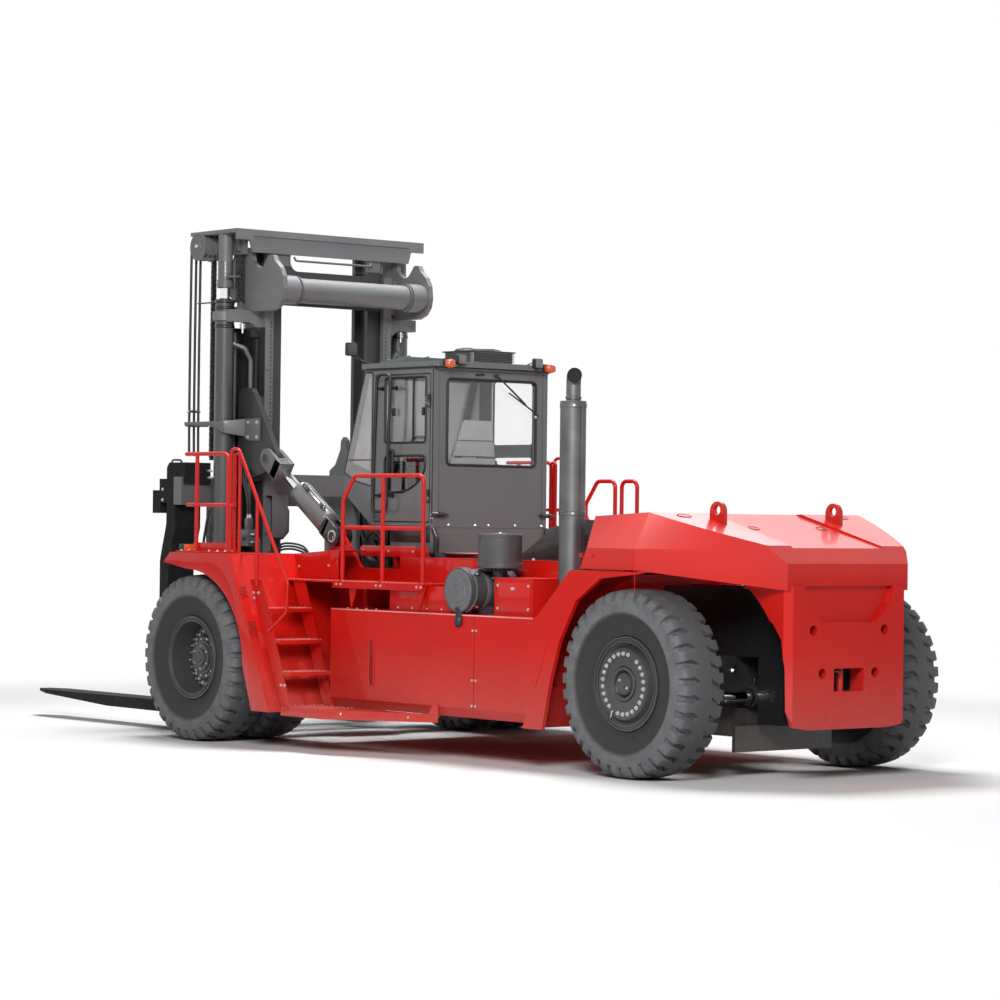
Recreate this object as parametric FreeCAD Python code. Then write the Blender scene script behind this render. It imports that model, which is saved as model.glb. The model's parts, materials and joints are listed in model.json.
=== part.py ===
import FreeCAD, Part
import math
import os
from FreeCAD import Vector as V

os.makedirs("parts", exist_ok=True)

# Heavy diesel forklift, unladen, mast upright and lowered, forks just off the ground.
# Everything below is measured from the front axle's centre line on the ground:
# +X towards the forks, +Y to the truck's left, +Z up, millimetres.
# save() then shifts each piece along X so that the origin is under the middle of the truck.

# ---- driving dimensions -------------------------------------------------------------
WHEELBASE = 5780.0
TYRE_R = 827.5
TYRE_W = 500.0
BEAD_R = 380.0
RIM_LIP_R = 413.0           # outside of the rim's flanges
FLANGE_IN = 90.0            # from the tyre's side to the inner face of a rim flange
FRONT_IN = 1090.0           # inner face of the inner front tyre, clear of the frame
TWIN_GAP = 100.0            # between the two tyres of a front pair
REAR_IN = 1095.0            # inner face of a rear tyre
KINGPIN_Y = 950.0
TAIL = 1185.0               # counterweight's overhang behind the rear axle

FRAME_Y = 1000.0            # outer face of the frame's side plates
PLATE = 40.0                # frame side plate
SHEET = 16.0                # fender, step and deck plate
FRAME_TOP = 1745.0
FRAME_BOTTOM = 430.0
REAR_FRAME_Y = 380.0        # half width of the frame between the steered wheels
TANK_Y = 1600.0
TANK_TOP = 1365.0
DECK_Z = 1625.0
FENDER_TOP = 1872.0
FENDER_INNER = 1300.0

MAST_BACK = 660.0           # rear face of the outer rails
MAST_DEPTH = 440.0
OUTER_Y = 826.0             # outer face of the outer rails
OUTER_WEB = 35.0
OUTER_FLANGE = 60.0
OUTER_OPEN_Y = 720.0        # inner edge of the outer rail's flanges
OUTER_TOP = 4800.0
HEAD_RISE = 400.0           # top of the head above the outer rails
MAST_BOTTOM = 180.0
INNER_GAP = 20.0            # between the inner rail and the outer rail's flanges
INNER_FLANGE = 50.0
INNER_WEB = 40.0
INNER_OPEN_Y = 563.0
HEAD_BACK = 620.0           # rear face of the head's fascia
HEAD_Y = 1221.0
HEAD_DROP = 235.0
PIVOT_X = 520.0
PIVOT_Z = 750.0
PIVOT_PIN_R = 60.0
RUN = 0.05                  # radial running clearance of a pin in its bore
SEAT = 0.3                  # gap between two fixed pieces that rest on a curved seat

TILT_Y = 980.0              # middle of the tilt cylinders, in line with the frame's plates
TILT_FOOT = (-875.0, 2050.0)
TILT_EYE = (280.0, 2830.0)
TILT_BARREL_R = 122.0
TILT_ROD_R = 48.0
TILT_PIN_R = 45.0
FORK_EYE_R = 102.0          # round end of a tilt cylinder's forked eye
FORK_EYE_OUT = 90.0         # outer face of its cheeks, from the cylinder's middle
EAR = 60.0                  # the mast's ear plate
CHEEK_GAP = 12.0

LIFT_X = 940.0
LIFT_Y = 1140.0
LIFT_R = 98.0
LIFT_ROD_R = 48.0
LIFT_FOOT_Z = 1650.0
LIFT_DROP = 354.0           # lift cylinder's gland below the top of the outer rails
LIFT_BARE = 154.0           # lift rod that shows between the gland and the head's cap

BAR_BACK = 1290.0           # rear face of the carriage's cross bars
BAR_DEPTH = 140.0
CARRIAGE_Y = 1420.0
FORK_OUT = 1400.0
FORK_W = 320.0
FORK_TOP = 300.0
FORK_THICK = 120.0
FORK_REACH = 4200.0         # fork tip
SHANK = 160.0
SLIDE_GAP = 0.3             # between a fork and the bars that it slides on
FORK_STEP = 110.0           # how far the shank steps forward below the upper bar

CAB_Y = 720.0
CAB_WALL = 50.0
CAB_BACK = -2050.0
CAB_BASE = 1905.0
CAB_FLOOR = 2166.0
CAB_TOP = 3720.0
DOOR_FRONT = -1090.0
DOOR_REAR = -1985.0
DOOR_GAP = 6.0

HOOD_Y = 700.0
HOOD_TOP = 2245.0

CW_Y = 1600.0
CW_TAIL_Y = 745.0
CW_BOTTOM = 460.0
CW_EAVE = 1815.0

AXLE_Z = TYRE_R
REAR_X = -WHEELBASE
TAIL_X = REAR_X - TAIL      # rear face of the counterweight
CW_FRONT = REAR_X + 660.0
CW_CORNER = REAR_X - 170.0
HOOD_FRONT = REAR_X + 2480.0
HOOD_REAR = REAR_X + 740.0
RIM_HALF = TYRE_W / 2.0 - FLANGE_IN
TWIN_PITCH = TYRE_W + TWIN_GAP
FRONT_OUT = FRONT_IN + TWIN_PITCH + TYRE_W
REAR_OUT = REAR_IN + TYRE_W
HEAD_TOP = OUTER_TOP + HEAD_RISE
LIFT_TOP_Z = OUTER_TOP - LIFT_DROP
LIFT_CAP_Z = LIFT_TOP_Z + LIFT_BARE
SHIFT = -(FORK_REACH + TAIL_X) / 2.0


# ---- helpers ------------------------------------------------------------------------
def box(x0, x1, y0, y1, z0, z1):
    return Part.makeBox(x1 - x0, y1 - y0, z1 - z0, V(x0, y0, z0))


def prism(points, along):
    wire = Part.makePolygon(points + [points[0]])
    return Part.Face(wire).extrude(along)


def side_plate(outline, y0, y1):
    return prism([V(x, y0, z) for x, z in outline], V(0, y1 - y0, 0))


def plan_plate(outline, z0, z1):
    return prism([V(x, y, z0) for x, y in outline], V(0, 0, z1 - z0))


def cross_plate(outline, x0, x1):
    return prism([V(x0, y, z) for y, z in outline], V(x1 - x0, 0, 0))


def rod(start, end, radius):
    a = V(*start)
    b = V(*end)
    return Part.makeCylinder(radius, (b - a).Length, a, b - a)


def y_rod(x, z, y0, y1, radius):
    return rod((x, y0, z), (x, y1, z), radius)


def z_rod(x, y, z0, z1, radius):
    return rod((x, y, z0), (x, y, z1), radius)


def join(shapes):
    return shapes[0].multiFuse(shapes[1:]).removeSplitter()


def mirror(shape):
    return shape.mirror(V(0, 0, 0), V(0, 1, 0))


def both(shape):
    return Part.Compound([shape, mirror(shape)])


def soften(shape, radius, chosen):
    edges = [edge for edge in shape.Edges if chosen(edge)]
    return shape.makeFillet(radius, edges) if edges else shape


def turned(profile, axis_point, axis):
    wire = Part.makePolygon(profile + [profile[0]])
    return Part.Face(wire).revolve(axis_point, axis, 360)


def bent_path(points, bend):
    """Straight runs joined by arcs of the given radius."""
    corners = [V(*p) for p in points]
    edges = []
    start = corners[0]
    for before, here, after in zip(corners, corners[1:], corners[2:]):
        back = (before - here).normalize()
        on = (after - here).normalize()
        half = back.getAngle(on) / 2.0
        trim = bend / math.tan(half)
        enter = here + back * trim
        leave = here + on * trim
        to_centre = (back + on).normalize()
        centre = here + to_centre * (bend / math.sin(half))
        middle = centre - to_centre * bend
        edges.append(Part.LineSegment(start, enter).toShape())
        edges.append(Part.Arc(enter, middle, leave).toShape())
        start = leave
    edges.append(Part.LineSegment(start, corners[-1]).toShape())
    return Part.Wire(edges)


def bent_bar(points, radius, bend):
    path = bent_path(points, bend)
    heading = (V(*points[1]) - V(*points[0])).normalize()
    ring = Part.Wire(Part.makeCircle(radius, V(*points[0]), heading))
    return path.makePipeShell([ring], True, False)


def save(name, shape):
    placed = shape.copy()
    placed.translate(V(SHIFT, 0, 0))
    placed.exportStep("parts/" + name + ".step")
    box_ = placed.BoundBox
    print("%-22s solids %d valid %s  x %.0f..%.0f y %.0f..%.0f z %.0f..%.0f" % (
        name, len(placed.Solids), placed.isValid(),
        box_.XMin, box_.XMax, box_.YMin, box_.YMax, box_.ZMin, box_.ZMax))


# ---- frame --------------------------------------------------------------------------
EAR_IN = 780.0              # inner face of the frame's inner pivot ear
PIVOT_NOSE = 90.0
FRAME_NOSE = 420.0
FRAME_TAIL = REAR_X + 1230.0
REAR_FRAME_TAIL = REAR_X - 770.0
REAR_FRAME_Z = (470.0, 1660.0)
BRIDGE_Z = (1190.0, 1250.0)
HORN_R = 98.0               # round top of the horn about the tilt cylinder's foot pin


def pivot_ear(y0, y1):
    plate = box(0, PIVOT_X, y0, y1, PIVOT_Z - PIVOT_NOSE, PIVOT_Z + PIVOT_NOSE)
    nose = y_rod(PIVOT_X, PIVOT_Z, y0, y1, PIVOT_NOSE)
    return join([plate, nose])


def side_frame():
    """One deep side plate, with the tall horn that carries the tilt cylinder's foot."""
    foot_x, foot_z = TILT_FOOT
    outline = [
        (FRAME_NOSE, 600), (FRAME_NOSE, 1150), (200, 1500), (-330, FRAME_TOP),
        (foot_x + 200, FRAME_TOP), (foot_x + HORN_R, foot_z), (foot_x, foot_z + HORN_R),
        (foot_x - 390, FRAME_TOP), (FRAME_TAIL, FRAME_TOP), (FRAME_TAIL, FRAME_BOTTOM),
        (-900, FRAME_BOTTOM), (-500, 600)]
    plate = side_plate(outline, FRAME_Y - PLATE, FRAME_Y)
    return join([plate, y_rod(foot_x, foot_z, FRAME_Y - PLATE, FRAME_Y, HORN_R)])


def main_frame():
    plate = side_frame()
    inner_ear = join([pivot_ear(EAR_IN, EAR_IN + PLATE),
                      box(-60, 60, EAR_IN, FRAME_Y, PIVOT_Z - 250, BRIDGE_Z[1])])
    outer_ear = pivot_ear(FRAME_Y - PLATE, FRAME_Y)
    pivot_pin = y_rod(PIVOT_X, PIVOT_Z, EAR_IN - 12, FRAME_Y + 12, PIVOT_PIN_R)
    foot_pin = y_rod(TILT_FOOT[0], TILT_FOOT[1], TILT_Y - FORK_EYE_OUT - 14,
                     TILT_Y + FORK_EYE_OUT + 14, TILT_PIN_R)
    one_side = join([plate, inner_ear, outer_ear, pivot_pin, foot_pin])
    cross = [
        box(-900, -860, -FRAME_Y + PLATE, FRAME_Y - PLATE, FRAME_BOTTOM, 1500),
        box(-2600, -2560, -FRAME_Y + PLATE, FRAME_Y - PLATE, FRAME_BOTTOM, 1500),
        box(FRAME_TAIL - PLATE, FRAME_TAIL, -FRAME_Y, FRAME_Y, FRAME_BOTTOM, FRAME_TOP),
        box(FRAME_TAIL, -900, -FRAME_Y + PLATE, FRAME_Y - PLATE, FRAME_BOTTOM, FRAME_BOTTOM + 20),
        box(-60, 60, -EAR_IN, EAR_IN, *BRIDGE_Z),
    ]
    rear = box(REAR_FRAME_TAIL, FRAME_TAIL - PLATE, -REAR_FRAME_Y, REAR_FRAME_Y, *REAR_FRAME_Z)
    hollow = box(REAR_FRAME_TAIL + 400, FRAME_TAIL - PLATE, -REAR_FRAME_Y + PLATE,
                 REAR_FRAME_Y - PLATE, REAR_FRAME_Z[0] + 700, REAR_FRAME_Z[1])
    beam_room = box(STEER_X - 190, REAR_X + 240, -2000, 2000, 0, BEAM_Z[1])
    body = join([one_side, mirror(one_side)] + cross + [rear.cut(hollow).cut(beam_room)])
    axle_room = y_rod(0, AXLE_Z, -FRAME_Y, FRAME_Y, AXLE_TUBE_R + SEAT)
    return body.cut(axle_room)


# ---- axles --------------------------------------------------------------------------
AXLE_TUBE_R = 175.0
SPINDLE_R = 120.0
FRONT_HUB_Y = FRONT_OUT - 230.0


def front_axle():
    tube = y_rod(0, AXLE_Z, -FRAME_Y, FRAME_Y, AXLE_TUBE_R)
    drum = y_rod(0, AXLE_Z, -330, 330, 340)
    cone = Part.makeCone(AXLE_TUBE_R, 300, 200, V(0, -530, AXLE_Z), V(0, 1, 0))
    spindle = y_rod(0, AXLE_Z, -FRONT_HUB_Y, FRONT_HUB_Y, SPINDLE_R)
    shoulder = y_rod(0, AXLE_Z, FRAME_Y, FRAME_Y + 70, AXLE_TUBE_R + 60)
    return join([tube, drum, cone, mirror(cone), spindle, shoulder, mirror(shoulder)])


BEAM_HALF = 170.0
BEAM_Z = (600.0, 1055.0)
BEAM_Y = 720.0
ARM_R = 80.0
ARM = 70.0
KINGPIN_R = 55.0
STEER_ROD_R = 50.0
STEER_X = REAR_X - 260.0
STEER_Z = 700.0
GUARD_X = REAR_X - 400.0    # rear face of the plate that guards the steering cylinder


def steer_axle():
    beam = box(REAR_X - BEAM_HALF, REAR_X + BEAM_HALF, -BEAM_Y, BEAM_Y, *BEAM_Z)
    arms = []
    for low in (BEAM_Z[0], BEAM_Z[1] - ARM):
        arm = box(REAR_X - ARM_R, REAR_X + ARM_R, BEAM_Y, KINGPIN_Y, low, low + ARM)
        arms += [arm, z_rod(REAR_X, KINGPIN_Y, low, low + ARM, ARM_R)]
    kingpin = z_rod(REAR_X, KINGPIN_Y, BEAM_Z[0] - 15, BEAM_Z[1] + 15, KINGPIN_R)
    end = join(arms + [kingpin])
    barrel = y_rod(STEER_X, STEER_Z, -300, 300, 95)
    carrier = join([box(STEER_X - 20, REAR_X - BEAM_HALF, y, y + 40, STEER_Z - 80, STEER_Z + 80)
                    for y in (-240, 200)])
    base = box(REAR_X - 230, REAR_X + 230, -380, 380, 340, BEAM_Z[0])
    guard = join([box(GUARD_X, GUARD_X + 40, -600, 600, 225, 455),
                  box(GUARD_X + 40, REAR_X - 230, -300, 300, 340, 400)])
    body = join([beam, end, mirror(end), barrel, carrier, base, guard])
    return body.cut(y_rod(STEER_X, STEER_Z, -400, 400, STEER_ROD_R + RUN))


STEER_PIN_Y = 700.0


def steer_rod():
    bar = y_rod(STEER_X, STEER_Z, -STEER_PIN_Y, STEER_PIN_Y, STEER_ROD_R)
    eye = z_rod(STEER_X, STEER_PIN_Y, STEER_Z - 45, STEER_Z + 45, 70)
    return join([bar, eye, mirror(eye)])


REAR_SPINDLE_R = 80.0
REAR_HUB_Y = REAR_OUT - 60.0
KNUCKLE_R = 100.0


def knuckle(side):
    low = BEAM_Z[0] + ARM + 6
    high = BEAM_Z[1] - ARM - 6
    body = z_rod(REAR_X, KINGPIN_Y, low, high, KNUCKLE_R)
    block = box(REAR_X - 92, REAR_X + 92, KINGPIN_Y, KINGPIN_Y + 190, low + 30, high - 30)
    flange = y_rod(REAR_X, AXLE_Z, KINGPIN_Y + 150, KINGPIN_Y + 230, 190)
    spindle = y_rod(REAR_X, AXLE_Z, KINGPIN_Y + 100, REAR_HUB_Y, REAR_SPINDLE_R)
    lever = plan_plate([(REAR_X - 40, KINGPIN_Y + 60), (REAR_X + 40, KINGPIN_Y - 60),
                        (REAR_X - 190, KINGPIN_Y - 95), (REAR_X - 250, KINGPIN_Y - 40)],
                       low, low + 46)
    body = join([body, block, flange, spindle, lever])
    body = body.cut(z_rod(REAR_X, KINGPIN_Y, 0, 2000, KINGPIN_R + RUN))
    return body if side > 0 else mirror(body)


# ---- wheels -------------------------------------------------------------------------
def tyre(x, y_out):
    """Closed ring of the tyre's section: bead, bulging wall, shoulder and tread."""
    half = TYRE_W / 2.0
    mid = y_out - half
    bead = RIM_HALF - SEAT
    half_section = [(BEAD_R, bead), (RIM_LIP_R + SEAT, bead), (BEAD_R + 90, half - 40), (TYRE_R - 240, half),
                    (TYRE_R - 110, half - 4), (TYRE_R - 30, half - 28), (TYRE_R, half - 60)]
    section = [(r, mid + w) for r, w in half_section]
    section += [(r, mid - w) for r, w in reversed(half_section)]
    profile = [V(x, y, AXLE_Z + r) for r, y in section]
    return turned(profile, V(x, 0, AXLE_Z), V(0, 1, 0))


def wheel_disc(x, rings):
    profile = [V(x, y, AXLE_Z + r) for y, r in rings]
    return turned(profile, V(x, 0, AXLE_Z), V(0, 1, 0))


RIM_BORE = 345.0
LIP = 25.0                  # thickness of a rim's flange
STUD_RING_Y = FRONT_OUT - 270.0     # face of the front disc that carries the studs


def front_rims(side):
    """Both rims of one twin pair, with the band that spaces them and the dished centre."""
    mid_out = FRONT_OUT - TYRE_W / 2.0
    mid_in = mid_out - TWIN_PITCH
    seat_r = BEAD_R - SEAT
    rings = [
        (mid_in - RIM_HALF - LIP, RIM_BORE), (mid_in - RIM_HALF - LIP, RIM_LIP_R),
        (mid_in - RIM_HALF, RIM_LIP_R), (mid_in - RIM_HALF, seat_r), (mid_in + RIM_HALF, seat_r),
        (mid_in + RIM_HALF, RIM_LIP_R), (mid_out - RIM_HALF, RIM_LIP_R), (mid_out - RIM_HALF, seat_r),
        (mid_out + RIM_HALF, seat_r), (mid_out + RIM_HALF, RIM_LIP_R),
        (mid_out + RIM_HALF + LIP, RIM_LIP_R), (mid_out + RIM_HALF + LIP, RIM_BORE + 10),
        (STUD_RING_Y, RIM_BORE - 15), (STUD_RING_Y, 225),
        (FRONT_HUB_Y + 30, 205), (FRONT_HUB_Y + 30, 0), (FRONT_HUB_Y + 3, 0),
        (FRONT_HUB_Y + 3, SPINDLE_R + RUN), (mid_in - 60, SPINDLE_R + RUN), (mid_in - 60, 200),
        (STUD_RING_Y - 60, 200), (STUD_RING_Y - 60, RIM_BORE)]
    shape = wheel_disc(0, rings)
    return shape if side > 0 else mirror(shape)


def rear_rim(side):
    mid = REAR_OUT - TYRE_W / 2.0
    seat_r = BEAD_R - SEAT
    face = REAR_OUT - 35
    rings = [
        (mid - RIM_HALF - LIP, RIM_BORE), (mid - RIM_HALF - LIP, RIM_LIP_R),
        (mid - RIM_HALF, RIM_LIP_R), (mid - RIM_HALF, seat_r), (mid + RIM_HALF, seat_r),
        (mid + RIM_HALF, RIM_LIP_R), (mid + RIM_HALF + LIP, RIM_LIP_R),
        (mid + RIM_HALF + LIP, RIM_BORE + 10), (face - 50, RIM_BORE - 15), (face, 310), (face, 160),
        (face - 45, 110), (face - 5, 95), (face - 5, 0), (REAR_HUB_Y + 3, 0),
        (REAR_HUB_Y + 3, REAR_SPINDLE_R + RUN), (KINGPIN_Y + 240, REAR_SPINDLE_R + RUN),
        (KINGPIN_Y + 240, 170), (face - 90, 170), (face - 90, RIM_BORE)]
    shape = wheel_disc(REAR_X, rings)
    return shape if side > 0 else mirror(shape)


# ---- body side ----------------------------------------------------------------------
FENDER_TIP = (450.0, 1770.0)
FENDER_REAR = -1165.0
FENDER_FOOT = (-1400.0, 360.0)
ARCH_FOOT = -1105.0
ARCH_R = 945.0
ARCH_Z = 800.0


def fender(side):
    """Side plate with the wheel arch, flat top and the sloped plate behind the tyres."""
    arch_top = ARCH_Z + ARCH_R
    outline = [FENDER_TIP, (330, FENDER_TOP), (FENDER_REAR, FENDER_TOP), FENDER_FOOT,
               (ARCH_FOOT, FENDER_FOOT[1]), (-ARCH_R, ARCH_Z)]
    steps = 8
    for i in range(1, steps):
        turn = math.radians(90.0 * i / steps)
        outline.append((-ARCH_R * math.cos(turn), ARCH_Z + (arch_top - 40 - ARCH_Z) * math.sin(turn)))
    outline.append((60, arch_top - 32))
    wall = side_plate(outline, FRONT_OUT - SHEET, FRONT_OUT)
    top = box(FENDER_REAR, 330, FENDER_INNER, FRONT_OUT, FENDER_TOP - SHEET, FENDER_TOP)
    nose = side_plate([(330, FENDER_TOP), FENDER_TIP, (FENDER_TIP[0] - SHEET, FENDER_TIP[1]),
                       (330 - SHEET, FENDER_TOP - SHEET)], FENDER_INNER, FRONT_OUT)
    back = side_plate([(FENDER_REAR, FENDER_TOP), FENDER_FOOT,
                       (FENDER_FOOT[0] + SHEET, FENDER_FOOT[1]),
                       (FENDER_REAR + SHEET, FENDER_TOP)], FRAME_Y, FRONT_OUT)
    post = box(FENDER_REAR + 40, FENDER_REAR + 240, FRAME_Y, FENDER_INNER + 40,
               FENDER_TOP - 150, FENDER_TOP - SHEET)
    shape = join([wall, top, nose, back, post])
    return shape if side > 0 else mirror(shape)


TANK_FRONT = -1585.0
TANK_SLOPE = [(REAR_X + 1270.0, 415.0), (REAR_X + 880.0, TANK_TOP)]
TREAD_GAP = 300.0


def tank(side):
    """Side tank under the deck: flat front, sloping rear end, bevelled lower edge."""
    (low_x, low_z), (high_x, high_z) = TANK_SLOPE
    body = side_plate([(TANK_FRONT, low_z), (TANK_FRONT, high_z), (FRAME_TAIL - PLATE - 20, high_z),
                       (FRAME_TAIL - PLATE - 20, 620), (low_x, low_z)],
                      FRAME_Y, TANK_Y)
    skin = side_plate([(low_x, low_z), (high_x, high_z), (FRAME_TAIL, high_z), (FRAME_TAIL, low_z + 200)],
                      TANK_Y - 40, TANK_Y)
    body = join([body, skin])
    bevel = prism([V(TANK_FRONT - 1, TANK_Y, low_z + 90), V(TANK_FRONT - 1, TANK_Y, low_z),
                   V(TANK_FRONT - 1, TANK_Y - 60, low_z)], V(high_x, 0, 0))
    body = body.cut(bevel)
    return body if side > 0 else mirror(body)


DECK_X = (-2990.0, -300.0)


def deck(side):
    """Walkway beside the cab with its edge strip, gussets and legs on the tank."""
    under = DECK_Z - SHEET
    plate = box(DECK_X[0], DECK_X[1], FRAME_Y, TANK_Y, under, DECK_Z)
    lip = box(DECK_X[0], -1600, TANK_Y - SHEET, TANK_Y, DECK_Z - 60, DECK_Z)
    gussets = [side_plate([(x, under), (x - 150, under), (x - 40, TANK_TOP)], TANK_Y - 60, TANK_Y - 46)
               for x in (-1800, -2850)]
    legs = [box(x - 60, x, FRAME_Y, FRAME_Y + 300, TANK_TOP, under) for x in (-1700, -2800)]
    shape = join([plate, lip] + gussets + legs)
    return shape if side > 0 else mirror(shape)


STEP_Y = (1550.0, 2075.0)
STEP_TOP = (-900.0, DECK_Z)
STEP_FOOT = (-1560.0, 450.0)
FOOT_PLATE_Z = 420.0


def steps(side):
    """Leaning stringers with three treads, and the wide plate at their foot."""
    top_x, top_z = STEP_TOP
    foot_x, foot_z = STEP_FOOT
    lean = (foot_x - top_x) / (top_z - foot_z)
    pieces = []
    for y in (STEP_Y[0], STEP_Y[1] - SHEET):
        pieces.append(side_plate([(top_x, top_z), (top_x - 190, top_z), (foot_x - 20, foot_z - 30),
                                  (foot_x + 130, foot_z - 30)], y, y + SHEET))
    for i in range(1, 4):
        z = top_z + 25 - TREAD_GAP * i
        x = top_x + lean * (top_z - z)
        pieces.append(box(x - 190, x + 20, STEP_Y[0], STEP_Y[1], z - 30, z))
    plate = plan_plate([(-1440, 1200), (-1440, 2075), (-2100, 2075), (-3300, TANK_Y), (-3300, 1200)],
                       FOOT_PLATE_Z - 22, FOOT_PLATE_Z)
    plate = plate.cut(box(-3400, TANK_FRONT + 5, 0, TANK_Y + 5, 0, 2000))
    pieces.append(plate)
    shape = join(pieces)
    return shape if side > 0 else mirror(shape)


def arch(side):
    """Curved band that frames the steered wheel, from the tank's foot up to the counterweight."""
    x = REAR_X
    front = [(x + 1275, 370), (x + 880, TANK_TOP), (x + 680, 1800), (x + 220, 1800)]
    back = [(x - 270, 1800), (x - 240, 1785), (x + 280, 1735), (x + 600, 1530), (x + 820, 1160),
            (x + 930, 830), (x + 1040, 370)]
    band = side_plate(front + back, TANK_Y - 40, TANK_Y)
    inner = side_plate([(x + 1140, TANK_TOP), (x + 680, 1800), (x + 450, 1800), (x + 700, 1600),
                        (x + 850, TANK_TOP)], FRAME_Y, TANK_Y).cut(wheel_swing(1))
    skirt = side_plate([(x + 1275, 370), (x + 1120, 740), (x + 1155, 740), (x + 1305, 370)],
                       FRAME_Y + 40, TANK_Y)
    shape = join([band, inner, skirt])
    return shape if side > 0 else mirror(shape)


# ---- counterweight ------------------------------------------------------------------
SWING_GAP = 95.0
VALLEY_Y = 560.0
POCKET_Y = 185.0
POCKET_Z = (785.0, 985.0)
TAIL_HOLES = ((440.0, 1318.0), (325.0, 944.0))
TAIL_ARCH = [(REAR_X - 320, 1600), (REAR_X - 550, 1565), (REAR_X - 820, 1490), (REAR_X - 1000, 1370),
             (REAR_X - 1100, 1240), (REAR_X - 1135, 1000), (REAR_X - 1145, 400), (REAR_X + 780, 400),
             (REAR_X + 780, 1600)]


def wheel_swing(side):
    """Room that a steered wheel needs about its kingpin, at each height."""
    reach = REAR_OUT - KINGPIN_Y
    profile = [V(REAR_X, side * KINGPIN_Y, -10)]
    count = 14
    for i in range(count + 1):
        z = AXLE_Z + TYRE_R * (i / count)
        chord = math.sqrt(max(TYRE_R ** 2 - (z - AXLE_Z) ** 2, 0.0))
        radius = math.hypot(chord, reach) + SWING_GAP
        if i == 0:
            profile.append(V(REAR_X + radius, side * KINGPIN_Y, -10))
        profile.append(V(REAR_X + radius, side * KINGPIN_Y, z))
    profile.append(V(REAR_X + reach, side * KINGPIN_Y, 2 * TYRE_R + 45))
    profile.append(V(REAR_X, side * KINGPIN_Y, 2 * TYRE_R + 45))
    return turned(profile, V(REAR_X, side * KINGPIN_Y, 0), V(0, 0, 1))


def ring_at(z, points):
    half = [V(x, y, z) for x, y in points]
    other = [V(x, -y, z) for x, y in reversed(points)]
    full = half + other
    return Part.makePolygon(full + [full[0]])


def counterweight():
    """Faceted casting over the steered wheels, with its deep narrow tail."""
    low = [(CW_FRONT, CW_Y), (CW_CORNER, CW_Y), (TAIL_X + 15, CW_TAIL_Y)]
    fold = [(CW_FRONT - 200, CW_Y), (CW_CORNER, CW_Y), (TAIL_X + 15, CW_TAIL_Y)]
    top = [(CW_FRONT - 30, CW_Y - 260), (CW_CORNER + 150, CW_Y - 300), (TAIL_X + 165, CW_TAIL_Y - 60)]
    lower = Part.makeLoft([ring_at(1580, low), ring_at(2000, fold)], True, True)
    upper = Part.makeLoft([ring_at(2000, fold), ring_at(2318, top)], True, True)
    block = join([lower, upper])
    eave = side_plate([(CW_FRONT + 300, 1000), (CW_FRONT + 300, CW_EAVE), (CW_CORNER, CW_EAVE),
                       (TAIL_X - 50, 1650), (TAIL_X - 50, 1000)], -3000, 3000)
    block = block.cut(eave)
    crown = side_plate([(CW_FRONT + 300, 2275), (CW_FRONT, 2275), (CW_CORNER + 150, 2318),
                        (TAIL_X + 165, 2045), (TAIL_X - 100, 1775), (TAIL_X - 100, 3000),
                        (CW_FRONT + 300, 3000)], -3000, 3000)
    block = block.cut(crown)
    valley = side_plate([(REAR_X + 80, 2320), (TAIL_X - 100, 1960), (TAIL_X - 100, 2600),
                         (REAR_X + 80, 2600)], -VALLEY_Y, VALLEY_Y)
    block = block.cut(valley)
    tail = plan_plate([(TAIL_X, CW_TAIL_Y - 60), (TAIL_X, -CW_TAIL_Y + 60), (TAIL_X + 60, -CW_TAIL_Y),
                       (REAR_X - 330, -CW_TAIL_Y), (REAR_X - 330, CW_TAIL_Y),
                       (TAIL_X + 60, CW_TAIL_Y)], CW_BOTTOM, 1700)
    block = join([block, tail])
    for side in (1, -1):
        inner = side * REAR_FRAME_Y
        outer = side * 1100.0
        block = block.cut(side_plate(TAIL_ARCH, min(inner, outer), max(inner, outer)))
        corner = [(side * (CW_TAIL_Y + 10), CW_BOTTOM + 230), (side * (CW_TAIL_Y - 75), CW_BOTTOM + 25),
                  (side * (CW_TAIL_Y - 300), CW_BOTTOM - 5), (side * (CW_TAIL_Y + 10), CW_BOTTOM - 5)]
        block = block.cut(cross_plate(corner, TAIL_X - 10, REAR_X))
    for side in (1, -1):
        block = block.cut(wheel_swing(side))
    block = block.cut(box(REAR_FRAME_TAIL, 0, -REAR_FRAME_Y, REAR_FRAME_Y, 0, REAR_FRAME_Z[1]))
    pocket = box(TAIL_X - 10, TAIL_X + 230, -POCKET_Y, POCKET_Y, *POCKET_Z)
    tow_pin = z_rod(TAIL_X + 110, 0, POCKET_Z[0] - 10, POCKET_Z[1] + 10, 30)
    step = cross_plate([(-550, 1700), (550, 1700), (500, 1545), (335, 1382), (-335, 1382), (-500, 1545)],
                       TAIL_X - 10, TAIL_X + 60)
    block = block.cut(pocket).cut(step)
    for y, z in TAIL_HOLES:
        for hole_y in (y, -y):
            block = block.cut(rod((TAIL_X - 10, hole_y, z), (TAIL_X + 90, hole_y, z), 45))
    eyes = []
    for side in (1, -1):
        x = REAR_X - 280.0
        y = side * 720.0
        plate = join([box(x - 90, x + 90, y - 20, y + 20, 2180, 2330), y_rod(x, 2330, y - 20, y + 20, 90)])
        eyes.append(plate.cut(y_rod(x, 2345, y - 30, y + 30, 42)))
    hinge = hood_hinge_pin()
    return join([block, tow_pin, hinge, mirror(hinge)] + eyes)


# ---- engine and its cover -----------------------------------------------------------
def engine():
    """Plain block of the engine's size, on four brackets from the frame's sides."""
    block = box(REAR_X + 1300, REAR_X + 2780, -420, 420, 520, 1680)
    brackets = [box(x, x + 120, -FRAME_Y + PLATE, FRAME_Y - PLATE, 700, 780)
                for x in (REAR_X + 1480, REAR_X + 2460)]
    return join([block] + brackets)


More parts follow.
